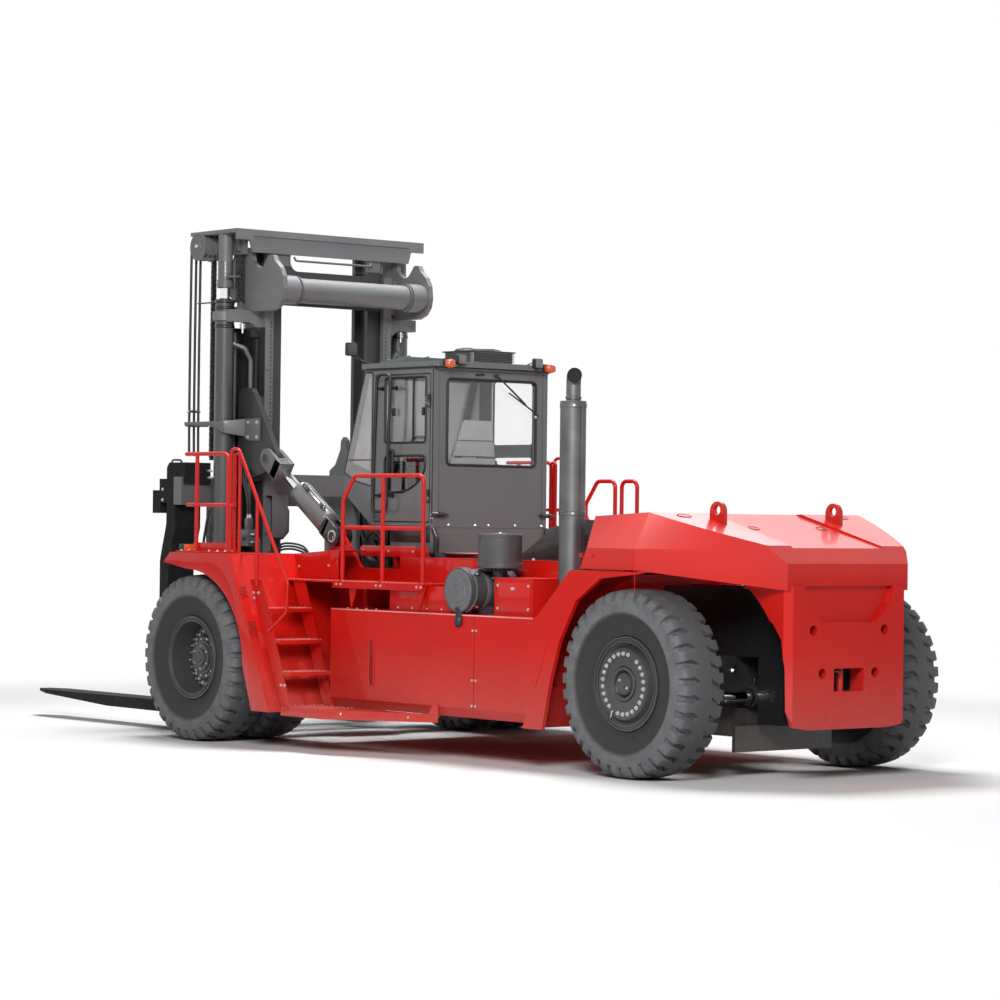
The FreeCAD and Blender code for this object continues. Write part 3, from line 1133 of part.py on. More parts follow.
def forked_eye(centre, along, plate, block):
    """Two cheeks about a plate of the given thickness, and the block that joins them."""
    inner = plate / 2 + CHEEK_GAP
    side = V(0, 1, 0)
    up = along.cross(side)
    cheeks = []
    for low, high in ((inner, FORK_EYE_OUT), (-FORK_EYE_OUT, -inner)):
        nose = Part.makeCylinder(FORK_EYE_R, high - low, centre + side * low, side)
        corners = [centre + side * low + along * s + up * t
                   for s, t in ((0, -FORK_EYE_R), (block[1], -FORK_EYE_R), (block[1], FORK_EYE_R), (0, FORK_EYE_R))]
        cheeks += [nose, prism(corners, side * (high - low))]
    corners = [centre - side * FORK_EYE_OUT + along * s + up * t
               for s, t in ((block[0], -FORK_EYE_R), (block[1], -FORK_EYE_R), (block[1], FORK_EYE_R),
                            (block[0], FORK_EYE_R))]
    return join(cheeks + [prism(corners, side * (2 * FORK_EYE_OUT))])


def tilt_barrel(side):
    foot, eye, along = tilt_axis()
    reach = 2 * FORK_EYE_OUT
    fork_end = forked_eye(foot, along, PLATE, (HORN_R + 32, BARREL_START))
    body = Part.makeCylinder(TILT_BARREL_R, BARREL_END - BARREL_START, foot + along * BARREL_START, along)
    bore = Part.makeCylinder(TILT_ROD_R + RUN, BARREL_END, foot + along * (BARREL_START + 60), along)
    hole = Part.makeCylinder(TILT_PIN_R + RUN, reach, foot - V(0, FORK_EYE_OUT, 0), V(0, 1, 0))
    shape = join([fork_end, body]).cut(bore).cut(hole)
    return shape if side > 0 else mirror(shape)


EYE_DRIFT = 12.0            # play of the rod's eye about its pin, for the linkage opened there


def tilt_rod(side):
    foot, eye, along = tilt_axis()
    length = (eye - foot).Length
    start = BARREL_START + 400
    shaft = Part.makeCylinder(TILT_ROD_R, length - start - ROD_BLOCK[0], foot + along * start, along)
    fork_end = forked_eye(eye, along * -1, EAR, ROD_BLOCK)
    hole = Part.makeCylinder(TILT_PIN_R + EYE_DRIFT, 2 * FORK_EYE_OUT, eye - V(0, FORK_EYE_OUT, 0), V(0, 1, 0))
    shape = join([shaft, fork_end]).cut(hole)
    return shape if side > 0 else mirror(shape)


# ---- every node ---------------------------------------------------------------------
NODES = {
    "main_frame": main_frame,
    "front_axle": front_axle,
    "steer_axle": steer_axle,
    "steer_rod": steer_rod,
    "counterweight": counterweight,
    "engine": engine,
    "engine_hood": engine_hood,
    "engine_deck": engine_deck,
    "exhaust_stack": exhaust_stack,
    "air_cleaner": air_cleaner,
    "side_cabinet": side_cabinet,
    "cab_floor": cab_floor,
    "cab_rear_wall": cab_rear_wall,
    "cab_right_side": cab_right_side,
    "cab_left_frame": cab_left_frame,
    "cab_front": cab_front,
    "cab_roof": cab_roof,
    "cab_glass": cab_glass,
    "cab_door": cab_door,
    "door_glass": door_glass,
    "roof_unit": roof_unit,
    "cab_lamps": cab_lamps,
    "driver_seat": seat,
    "steering_column": steering_column,
    "front_rails": front_rails,
    "cab_rails": cab_rails,
    "outer_mast": outer_mast,
    "lift_cylinders": lift_cylinders,
    "inner_mast": inner_mast,
    "lift_rods": lift_rods,
    "carriage": carriage,
}
PAIRED = {
    "walkways": deck,
    "steps": steps,
    "wheel_arches": arch,
}
SIDED = {
    "fender": fender,
    "tank": tank,
    "fork": fork,
    "tilt_barrel": tilt_barrel,
    "tilt_rod": tilt_rod,
    "knuckle": knuckle,
    "front_rims": front_rims,
    "rear_rim": rear_rim,
}


# Each piece on the left is fitted round those on the right, which keep their full shape.
FITTED = (
    ("steps", ("walkways",)),
    ("wheel_arches", ("tank_left", "tank_right", "exhaust_stack", "side_cabinet")),
    ("fender_left", ("steps", "walkways", "main_frame")),
    ("fender_right", ("steps", "walkways", "main_frame")),
    ("cab_front", ("cab_floor",)),
)


def main():
    made = {name: make() for name, make in NODES.items()}
    made.update({name: both(make(1)) for name, make in PAIRED.items()})
    twin = Part.Compound([tyre(0, FRONT_OUT), tyre(0, FRONT_OUT - TWIN_PITCH)])
    rear = tyre(REAR_X, REAR_OUT)
    for side, word in ((1, "left"), (-1, "right")):
        for name, make in SIDED.items():
            made[name + "_" + word] = make(side)
        made["front_tyres_" + word] = twin if side > 0 else mirror(twin)
        made["rear_tyre_" + word] = rear if side > 0 else mirror(rear)
    for name, others in FITTED:
        for other in others:
            made[name] = made[name].cut(made[other])
    for name, shape in made.items():
        save(name, shape)


main()
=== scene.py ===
"""Looks of a heavy diesel forklift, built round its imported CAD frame."""
import json
import math

import bmesh
import bpy
from mathutils import Matrix, Vector


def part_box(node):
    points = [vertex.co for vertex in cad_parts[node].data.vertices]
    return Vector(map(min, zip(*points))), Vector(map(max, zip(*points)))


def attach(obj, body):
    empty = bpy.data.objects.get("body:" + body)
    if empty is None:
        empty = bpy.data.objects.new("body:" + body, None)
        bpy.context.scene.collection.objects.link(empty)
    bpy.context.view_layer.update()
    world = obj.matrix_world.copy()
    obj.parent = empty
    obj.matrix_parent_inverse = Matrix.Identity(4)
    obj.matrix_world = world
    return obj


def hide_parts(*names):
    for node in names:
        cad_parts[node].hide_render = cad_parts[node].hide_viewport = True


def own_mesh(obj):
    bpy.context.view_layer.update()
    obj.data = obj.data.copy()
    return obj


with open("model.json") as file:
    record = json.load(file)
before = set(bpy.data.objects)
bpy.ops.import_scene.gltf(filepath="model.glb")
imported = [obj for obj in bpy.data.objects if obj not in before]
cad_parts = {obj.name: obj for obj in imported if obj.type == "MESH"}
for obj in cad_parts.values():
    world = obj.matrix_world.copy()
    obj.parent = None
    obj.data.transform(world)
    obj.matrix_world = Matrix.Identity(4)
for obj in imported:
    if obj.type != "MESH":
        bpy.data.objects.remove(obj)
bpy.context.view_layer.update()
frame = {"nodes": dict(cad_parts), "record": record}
nodes = frame["nodes"]


def middle(node):
    """Middle of a CAD node's box."""
    low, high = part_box(node)
    return (low + high) / 2


FRONT_X = middle("front_tyres_left").x
REAR_X = middle("rear_tyre_left").x - FRONT_X
AXLE_Z = middle("front_tyres_left").z
TYRE_R = AXLE_Z
TYRE_HALF = (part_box("rear_tyre_left")[1].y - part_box("rear_tyre_left")[0].y) / 2
REAR_Y = middle("rear_tyre_left").y
OUTER_TWIN_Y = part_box("front_tyres_left")[1].y - TYRE_HALF
INNER_TWIN_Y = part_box("front_tyres_left")[0].y + TYRE_HALF
UP = Vector((0, 0, 1))
LEFT = Vector((0, 1, 0))
FORE = Vector((1, 0, 0))
AFT = Vector((-1, 0, 0))
SIDES = (("left", 1), ("right", -1))


def at(x, y, z):
    """A point measured from the front axle's centre line on the ground, in metres."""
    return Vector((FRONT_X + x, y, z))


# ---- materials -----------------------------------------------------------------------
def linear(hex_colour):
    """An sRGB hex colour as linear RGBA."""
    parts = [int(hex_colour[i:i + 2], 16) / 255 for i in (1, 3, 5)]
    parts = [p / 12.92 if p <= 0.04045 else ((p + 0.055) / 1.055) ** 2.4 for p in parts]
    return (*parts, 1.0)


def add(tree, kind, inputs, **settings):
    """Adds a node: a socket given as an input is linked, any other value is set on it."""
    node = tree.nodes.new("ShaderNode" + kind)
    for name, value in settings.items():
        setattr(node, name, value)
    for name, value in inputs.items():
        if isinstance(value, bpy.types.NodeSocket):
            tree.links.new(value, node.inputs[name])
        else:
            node.inputs[name].default_value = value
    return node


def new_material(name):
    """An empty node material and its object coordinates."""
    material = bpy.data.materials.new(name)
    material.use_nodes = True
    tree = material.node_tree
    tree.nodes.clear()
    return material, tree, add(tree, "TexCoord", {}).outputs["Object"]


def finish_material(tree, **inputs):
    """The shader and the output of a material."""
    named = {name.replace("_", " "): value for name, value in inputs.items()}
    shader = add(tree, "BsdfPrincipled", named)
    add(tree, "OutputMaterial", {"Surface": shader.outputs[0]})


def two_tone(tree, fac, first, second, low=0.0, high=1.0):
    """Colour that goes from the first to the second as fac goes from low to high."""
    share = add(tree, "MapRange", {"Value": fac, "From Min": low, "From Max": high}).outputs[0]
    mix = add(tree, "Mix", {0: share}, data_type="RGBA")
    for socket, colour in ((mix.inputs[6], first), (mix.inputs[7], second)):
        if isinstance(colour, bpy.types.NodeSocket):
            tree.links.new(colour, socket)
        else:
            socket.default_value = linear(colour)
    return mix.outputs[2]


def grown(tree, fac, low, high):
    """A plain number that follows a pattern from low to high."""
    return add(tree, "MapRange", {"Value": fac, "To Min": low, "To Max": high}).outputs[0]


def inside_regions(tree, where, regions):
    """One inside any of the regions, lists of (axis, side, limit); Y counts from the middle."""
    parts = add(tree, "SeparateXYZ", {"Vector": where}).outputs
    across = add(tree, "Math", {0: parts["Y"]}, operation="ABSOLUTE").outputs[0]
    cover = 0.0
    for region in regions:
        inside = 1.0
        for axis, way, limit in region:
            place = across if axis == "Y" else parts[axis]
            test = add(tree, "Math", {0: place, 1: limit}, operation=way).outputs[0]
            inside = add(tree, "Math", {0: inside, 1: test}, operation="MULTIPLY").outputs[0]
        cover = add(tree, "Math", {0: cover, 1: inside}, operation="MAXIMUM").outputs[0]
    return cover


ABOVE, BELOW = "GREATER_THAN", "LESS_THAN"


def sprayed_enamel(name, colour, shade, rough, coat, peel=0.35, dust=0.0, gloss=0.5, second=None,
        regions=()):
    """Two-pack enamel sprayed on welded plate: an orange-peel ripple a few millimetres long in
    the gloss, a slow drift of shade over a panel, a trace of dust low on the machine, and a
    second, darker colour over given regions, in places painted shade."""
    material, tree, where = new_material(name)
    ripple = add(tree, "TexNoise", {"Vector": where, "Scale": 1 / 0.012,
        "Detail": 2.0}).outputs["Fac"]
    drift = add(tree, "TexNoise", {"Vector": where, "Scale": 1 / 0.9, "Detail": 3.0}).outputs["Fac"]
    tint = two_tone(tree, drift, colour, shade, 0.35, 0.75)
    if dust:
        height = add(tree, "SeparateXYZ", {"Vector": where}).outputs["Z"]
        low = add(tree, "MapRange", {"Value": height, "From Min": 0.2, "From Max": 1.1,
            "To Min": dust, "To Max": 0.0}).outputs[0]
        speck = add(tree, "TexNoise", {"Vector": where, "Scale": 1 / 0.08, "Detail": 6.0,
            "Roughness": 0.65}).outputs["Fac"]
        film = add(tree, "Math", {0: low, 1: speck}, operation="MULTIPLY").outputs[0]
        tint = two_tone(tree, film, tint, "#8f8478")
    if second:
        # the second colour over the regions; on some materials it is painted shade
        tint = two_tone(tree, inside_regions(tree, where, regions), tint, second)
    bump = add(tree, "Bump", {"Height": ripple, "Strength": peel,
        "Distance": 0.0004}).outputs["Normal"]
    finish_material(tree, Base_Color=tint, Roughness=grown(tree, drift, rough, rough + 0.08),
        IOR=1.5, Specular_IOR_Level=gloss, Coat_Weight=coat, Coat_Roughness=0.06, Normal=bump)
    return material


def hard_chrome():
    """Ground and plated piston rod: a bright mirror with grinding rings 3 mm apart."""
    material, tree, where = new_material("hard_chrome")
    rings = add(tree, "TexNoise", {"Vector": where, "Scale": 1 / 0.003,
        "Detail": 1.0}).outputs["Fac"]
    bump = add(tree, "Bump", {"Height": rings, "Strength": 0.04,
        "Distance": 0.0002}).outputs["Normal"]
    finish_material(tree, Base_Color=linear("#e6e7e8"), Metallic=1.0,
        Roughness=grown(tree, rings, 0.06, 0.14), Normal=bump)
    return material


def zinc_plate():
    """Zinc-plated fasteners: pale bluish metal, a little cloudy, in patches 8 mm wide."""
    material, tree, where = new_material("zinc_plate")
    cloud = add(tree, "TexNoise", {"Vector": where, "Scale": 1 / 0.008,
        "Detail": 2.0}).outputs["Fac"]
    finish_material(tree, Base_Color=two_tone(tree, cloud, "#e2e3e4", "#c4c7ca"), Metallic=1.0,
        Roughness=grown(tree, cloud, 0.2, 0.38))
    return material


def brushed_stainless():
    """Rolled stainless sheet round the exhaust: fine brushing across it, drawn 4 mm apart so that
    it shows, and a slow drift of grey in patches 250 mm wide."""
    material, tree, where = new_material("brushed_stainless")
    stretched = add(tree, "Mapping", {"Vector": where, "Scale": (12.0, 12.0, 250.0)}).outputs[0]
    brush = add(tree, "TexNoise", {"Vector": stretched, "Scale": 1.0, "Detail": 4.0}).outputs["Fac"]
    patch = add(tree, "TexNoise", {"Vector": where, "Scale": 1 / 0.25,
        "Detail": 3.0}).outputs["Fac"]
    tint = two_tone(tree, patch, "#747577", "#606163", 0.35, 0.7)
    bump = add(tree, "Bump", {"Height": brush, "Strength": 0.15,
        "Distance": 0.0004}).outputs["Normal"]
    finish_material(tree, Base_Color=tint, Metallic=0.85, Roughness=grown(tree, brush, 0.36, 0.52),
        Normal=bump)
    return material


def oiled_steel():
    """Bare steel of leaf chains and pins under oil: dark and wet in streaks 20 mm long."""
    material, tree, where = new_material("oiled_steel")
    film = add(tree, "TexNoise", {"Vector": where, "Scale": 1 / 0.02, "Detail": 3.0}).outputs["Fac"]
    finish_material(tree, Base_Color=two_tone(tree, film, "#6c6b69", "#3b3a39", 0.3, 0.7),
        Metallic=0.8, Roughness=grown(tree, film, 0.24, 0.5))
    return material


def tyre_rubber():
    """Cured black rubber: matt and greyed, with a moulded grain drawn 6 mm wide, scuffs along the
    sidewall, painted shade in the hollow next to the rim and the tread drawn darker."""
    material, tree, where = new_material("tyre_rubber")
    grain = add(tree, "TexNoise", {"Vector": where, "Scale": 1 / 0.006,
        "Detail": 3.0}).outputs["Fac"]
    scuff = add(tree, "TexNoise", {"Vector": where, "Scale": 1 / 0.12, "Detail": 7.0,
        "Roughness": 0.7, "Distortion": 0.4}).outputs["Fac"]
    tint = two_tone(tree, scuff, "#6b6c6f", "#525355", 0.35, 0.68)
    hub = []
    flat = add(tree, "VectorMath", {0: where, 1: (1, 0, 1)}, operation="MULTIPLY").outputs[0]
    for axle in (at(0, 0, AXLE_Z), at(REAR_X, 0, AXLE_Z)):
        hub.append(add(tree, "VectorMath", {0: flat, 1: tuple(axle)},
            operation="DISTANCE").outputs["Value"])
    reach = add(tree, "Math", {0: hub[0], 1: hub[1]}, operation="MINIMUM").outputs[0]
    # painted shade: near black in the hollow up to 0.60-0.635 m from the axle
    tint = two_tone(tree, reach, "#1f2022", tint, 0.60, 0.635)
    # the tread, from 0.79-0.83 m out, drawn darker than the sidewall
    tint = two_tone(tree, reach, tint, "#47484a", 0.79, 0.83)
    bump = add(tree, "Bump", {"Height": grain, "Strength": 0.35,
        "Distance": 0.0012}).outputs["Normal"]
    finish_material(tree, Base_Color=tint, Roughness=grown(tree, scuff, 0.62, 0.82), IOR=1.52,
        Normal=bump)
    return material


def moulded_plastic(name, colour, shade, grain_mm, rough):
    """Moulded ABS or nylon: a shallow spark-eroded grain and an even satin face."""
    material, tree, where = new_material(name)
    grain = add(tree, "TexVoronoi", {"Vector": where, "Scale": 1000 / grain_mm}).outputs["Distance"]
    drift = add(tree, "TexNoise", {"Vector": where, "Scale": 1 / 0.15,
        "Detail": 2.0}).outputs["Fac"]
    bump = add(tree, "Bump", {"Height": grain, "Strength": 0.25,
        "Distance": 0.0003}).outputs["Normal"]
    finish_material(tree, Base_Color=two_tone(tree, drift, colour, shade, 0.3, 0.7),
        Roughness=grown(tree, drift, rough, rough + 0.1), IOR=1.5, Normal=bump)
    return material


def seal_rubber(name, colour):
    """Extruded rubber of seals and hoses: soft black sheen, wrapped-cloth marks 5 mm apart."""
    material, tree, where = new_material(name)
    wrap = add(tree, "TexWave", {"Vector": where, "Scale": 1 / 0.03, "Distortion": 1.5,
        "Detail": 2.0}, bands_direction="DIAGONAL").outputs["Fac"]
    bump = add(tree, "Bump", {"Height": wrap, "Strength": 0.2,
        "Distance": 0.0006}).outputs["Normal"]
    finish_material(tree, Base_Color=linear(colour), Roughness=grown(tree, wrap, 0.42, 0.56),
        IOR=1.5, Normal=bump)
    return material


def safety_glass(name, tint, shade, film):
    """Toughened float glass: clear and a little grey, with the faint cloud that rain leaves,
    in patches 200 mm wide, and on the panes that face forward a milky white share that is painted
    light."""
    material, tree, where = new_material(name)
    cloud = add(tree, "TexNoise", {"Vector": where, "Scale": 1 / 0.2, "Detail": 3.0}).outputs["Fac"]
    front = inside_regions(tree, where, [[("X", ABOVE, at(-1.05, 0, 0).x)]])
    # painted light: forward panes let only the film share through and show the rest as milky white
    clear = add(tree, "MapRange", {"Value": front, "To Min": 1.0, "To Max": film}).outputs[0]
    finish_material(tree, Base_Color=two_tone(tree, cloud, tint, shade),
        Roughness=grown(tree, cloud, 0.0, 0.03), IOR=1.5, Transmission_Weight=clear)
    return material


def painted_light_quarter_glass():
    """Quarter light drawn milky grey as painted light, with its clear share varied in dots 8 mm
    apart.
    """
    material, tree, where = new_material("painted_light_quarter_glass")
    dots = add(tree, "TexVoronoi", {"Vector": where, "Scale": 1 / 0.008,
        "Randomness": 0.0}).outputs["Distance"]
    cloud = add(tree, "TexNoise", {"Vector": where, "Scale": 1 / 0.3, "Detail": 2.0}).outputs["Fac"]
    tint = two_tone(tree, cloud, "#eeeff0", "#e0e2e3", 0.35, 0.7)
    # painted light: a near-white share of 8 to 20 % makes the pane read light grey
    finish_material(tree, Base_Color=tint, Roughness=grown(tree, cloud, 0.06, 0.16), IOR=1.5,
        Transmission_Weight=grown(tree, dots, 0.8, 0.92))
    return material


def lamp_lens(name, colour, shade):
    """Polycarbonate lens: deep colour, gloss face and moulded flutes 9 mm apart."""
    material, tree, where = new_material(name)
    flute = add(tree, "TexWave", {"Vector": where, "Scale": 1 / 0.018},
        bands_direction="Z").outputs["Fac"]
    bump = add(tree, "Bump", {"Height": flute, "Strength": 0.5,
        "Distance": 0.002}).outputs["Normal"]
    finish_material(tree, Base_Color=two_tone(tree, flute, colour, shade), Roughness=0.12, IOR=1.58,
        Coat_Weight=0.6, Coat_Roughness=0.04, Normal=bump)
    return material


def woven_seat_cloth():
    """Woven wool-mix seat cloth: threads drawn 3 mm apart, soft sheen and a mottled grey."""
    material, tree, where = new_material("woven_seat_cloth")
    fac = []
    for direction in ("Y", "Z"):
        fac.append(add(tree, "TexWave", {"Vector": where, "Scale": 1 / 0.018, "Distortion": 0.6,
            "Detail": 1.0}, bands_direction=direction).outputs["Fac"])
    weave = add(tree, "Math", {0: fac[0], 1: fac[1]}, operation="MULTIPLY").outputs[0]
    mottle = add(tree, "TexNoise", {"Vector": where, "Scale": 1 / 0.02,
        "Detail": 4.0}).outputs["Fac"]
    bump = add(tree, "Bump", {"Height": weave, "Strength": 0.4,
        "Distance": 0.0008}).outputs["Normal"]
    finish_material(tree, Base_Color=two_tone(tree, mottle, "#b6b7b9", "#9c9da0", 0.3, 0.7),
        Roughness=0.88, IOR=1.45, Sheen_Weight=0.3, Sheen_Roughness=0.5, Normal=bump)
    return material


def cast_iron():
    """Sand-cast iron of the engine: rough skin with 4 mm sand marks under thin dark paint."""
    material, tree, where = new_material("cast_iron")
    sand = add(tree, "TexNoise", {"Vector": where, "Scale": 1 / 0.004,
        "Detail": 4.0}).outputs["Fac"]
    bump = add(tree, "Bump", {"Height": sand, "Strength": 0.5, "Distance": 0.002}).outputs["Normal"]
    finish_material(tree, Base_Color=two_tone(tree, sand, "#3a3b3d", "#26272a"), Metallic=0.2,
        Roughness=0.6, Normal=bump)
    return material


def forged_steel():
    """Forged fork arm in grey primer: mill scale mottling 60 mm wide."""
    material, tree, where = new_material("forged_steel")
    scale = add(tree, "TexNoise", {"Vector": where, "Scale": 1 / 0.06, "Detail": 6.0,
        "Roughness": 0.6}).outputs["Fac"]
    base = two_tone(tree, scale, "#29292b", "#202022", 0.35, 0.7)
    bump = add(tree, "Bump", {"Height": scale, "Strength": 0.15,
        "Distance": 0.002}).outputs["Normal"]
    finish_material(tree, Base_Color=base, Roughness=grown(tree, scale, 0.6, 0.76), IOR=1.5,
        Specular_IOR_Level=0.1, Normal=bump)
    return material


red_enamel = sprayed_enamel("red_enamel", "#cc1810", "#be140e", 0.34, 0.35, dust=0.35, gloss=0.2)
mast_enamel = sprayed_enamel("mast_enamel", "#6a6b6d", "#5f6062", 0.42, 0.15)
# painted shade: the outer part of the rails, beyond 0.822 m from the middle and below 4.2 m, drawn
# near black where they lie in shadow
rail_enamel = sprayed_enamel("mast_rail_enamel", "#757678", "#6a6b6d", 0.42, 0.15, second="#2c2d2f",
    regions=[[("Y", ABOVE, 0.822), ("Z", BELOW, 4.2)]])
# the frame drawn near black behind 5.0 m back of the front axle, and black on the lugs beyond 1.02
# m from the middle above 1.9 m
frame_enamel = sprayed_enamel("frame_enamel", "#cc1810", "#be140e", 0.34, 0.35, dust=0.35,
    gloss=0.2, second="#1f1f21", regions=[[("X", BELOW, at(-5.0, 0, 0).x)],
    [("Y", ABOVE, 1.02), ("Z", ABOVE, 1.9)]])
# painted shade: inside the tail round the steer wheels, within 0.735 m of the middle and below 1.6
# m, drawn near black
tail_enamel = sprayed_enamel("tail_enamel", "#c81810", "#ba140e", 0.34, 0.45, dust=0.35, gloss=0.25,
    second="#1f1f21", regions=[[("Y", BELOW, 0.735), ("X", ABOVE, at(-6.80, 0, 0).x),
    ("Z", BELOW, 1.6)]])
# painted shade: the inner mast drawn darker below 4.85 m, where it lies in shadow between the rails
inner_enamel = sprayed_enamel("mast_inner_enamel", "#78797b", "#6c6d6f", 0.42, 0.15,
    second="#333436", regions=[[("Z", BELOW, 4.85)]])
cab_enamel = sprayed_enamel("cab_enamel", "#6b7172", "#646a6b", 0.4, 0.3, 0.3)
chassis_enamel = sprayed_enamel("chassis_enamel", "#2a2a2c", "#222224", 0.42, 0.2, dust=0.35)
lift_enamel = sprayed_enamel("lift_cylinder_enamel", "#4a4b4d", "#404143", 0.34, 0.4)
cylinder_enamel = sprayed_enamel("cylinder_enamel", "#646567", "#5a5b5d", 0.36, 0.4)
rim_enamel = sprayed_enamel("rim_enamel", "#3a3a3c", "#303032", 0.4, 0.2, dust=0.2)
# dark red for seams, and painted shade inside recesses
seam_and_shaded_recess_red = sprayed_enamel("seam_and_shaded_recess_red_enamel", "#8c120d", "#7e100c", 0.4, 0.2, gloss=0.2)
# pale red: painted highlight on edges, and partly wear on the tread teeth
highlight_and_wear_red = sprayed_enamel("highlight_and_wear_red_enamel", "#dba7a2", "#cf4a42", 0.38, 0.2)
black_gloss = sprayed_enamel("black_gloss_enamel", "#1c1c1e", "#161618", 0.3, 0.3)
soot = sprayed_enamel("exhaust_soot", "#121213", "#0c0c0d", 0.8, 0.0)
chrome = hard_chrome()
zinc = zinc_plate()
stainless = brushed_stainless()
chain_steel = oiled_steel()
rubber = tyre_rubber()
black_abs = moulded_plastic("black_abs", "#2f2f31", "#29292b", 2.5, 0.42)
grey_nylon = moulded_plastic("grey_nylon", "#4c4c4f", "#434346", 3.0, 0.45)
cap_nylon = moulded_plastic("cap_nylon", "#68696c", "#5c5d60", 3.0, 0.45)
gasket = seal_rubber("epdm_gasket", "#17171a")
hose_cover = seal_rubber("hose_cover", "#1b1b1d")
# the forward panes are 70 % milky white, painted light
pane = safety_glass("toughened_glass", "#ffffff", "#fafbfb", 0.3)
painted_light_quarter_pane = painted_light_quarter_glass()
amber = lamp_lens("amber_lens", "#ef6a1e", "#d94f10")
clear_lens = lamp_lens("clear_lens", "#8a8b8d", "#5c5d60")
shell_abs = moulded_plastic("seat_shell_abs", "#c8c9cb", "#bcbdbf", 2.5, 0.45)
mirror_back = moulded_plastic("mirror_back", "#55565a", "#4b4c50", 2.0, 0.3)
seat_cloth = woven_seat_cloth()
iron = cast_iron()
fork_steel = forged_steel()

by_slot = {"red_paint": red_enamel, "mast_grey": mast_enamel, "cab_grey": cab_enamel,
    "black_paint": chassis_enamel, "chrome": chrome, "exhaust_steel": stainless,
    "tyre_rubber": rubber, "clear_glass": pane, "lamp_amber": amber, "seat_fabric": seat_cloth,
    "black_plastic": black_abs, "fork_steel": fork_steel, "engine_iron": iron}
own_finish = {"tilt_barrel_left": cylinder_enamel, "tilt_barrel_right": cylinder_enamel,
    "lift_cylinders": lift_enamel, "front_rims_left": rim_enamel, "front_rims_right": rim_enamel,
    "rear_rim_left": rim_enamel, "rear_rim_right": rim_enamel, "air_cleaner": grey_nylon,
    "carriage": mast_enamel, "inner_mast": inner_enamel, "outer_mast": rail_enamel,
    "main_frame": frame_enamel, "counterweight": tail_enamel}
for part in frame["record"]["subparts"]:
    mesh = nodes[part["node"]].data
    mesh.materials.clear()
    mesh.materials.append(own_finish.get(part["node"], by_slot[part["material_slot"]]))


# ---- making pieces ---------------------------------------------------------------------
def circle(centre, across, other, radius, sides):
    """Points of a circle about a centre, from two directions square to each other."""
    turns = [2 * math.pi * i / sides for i in range(sides)]
    return [centre + (across * math.cos(a) + other * math.sin(a)) * radius for a in turns]


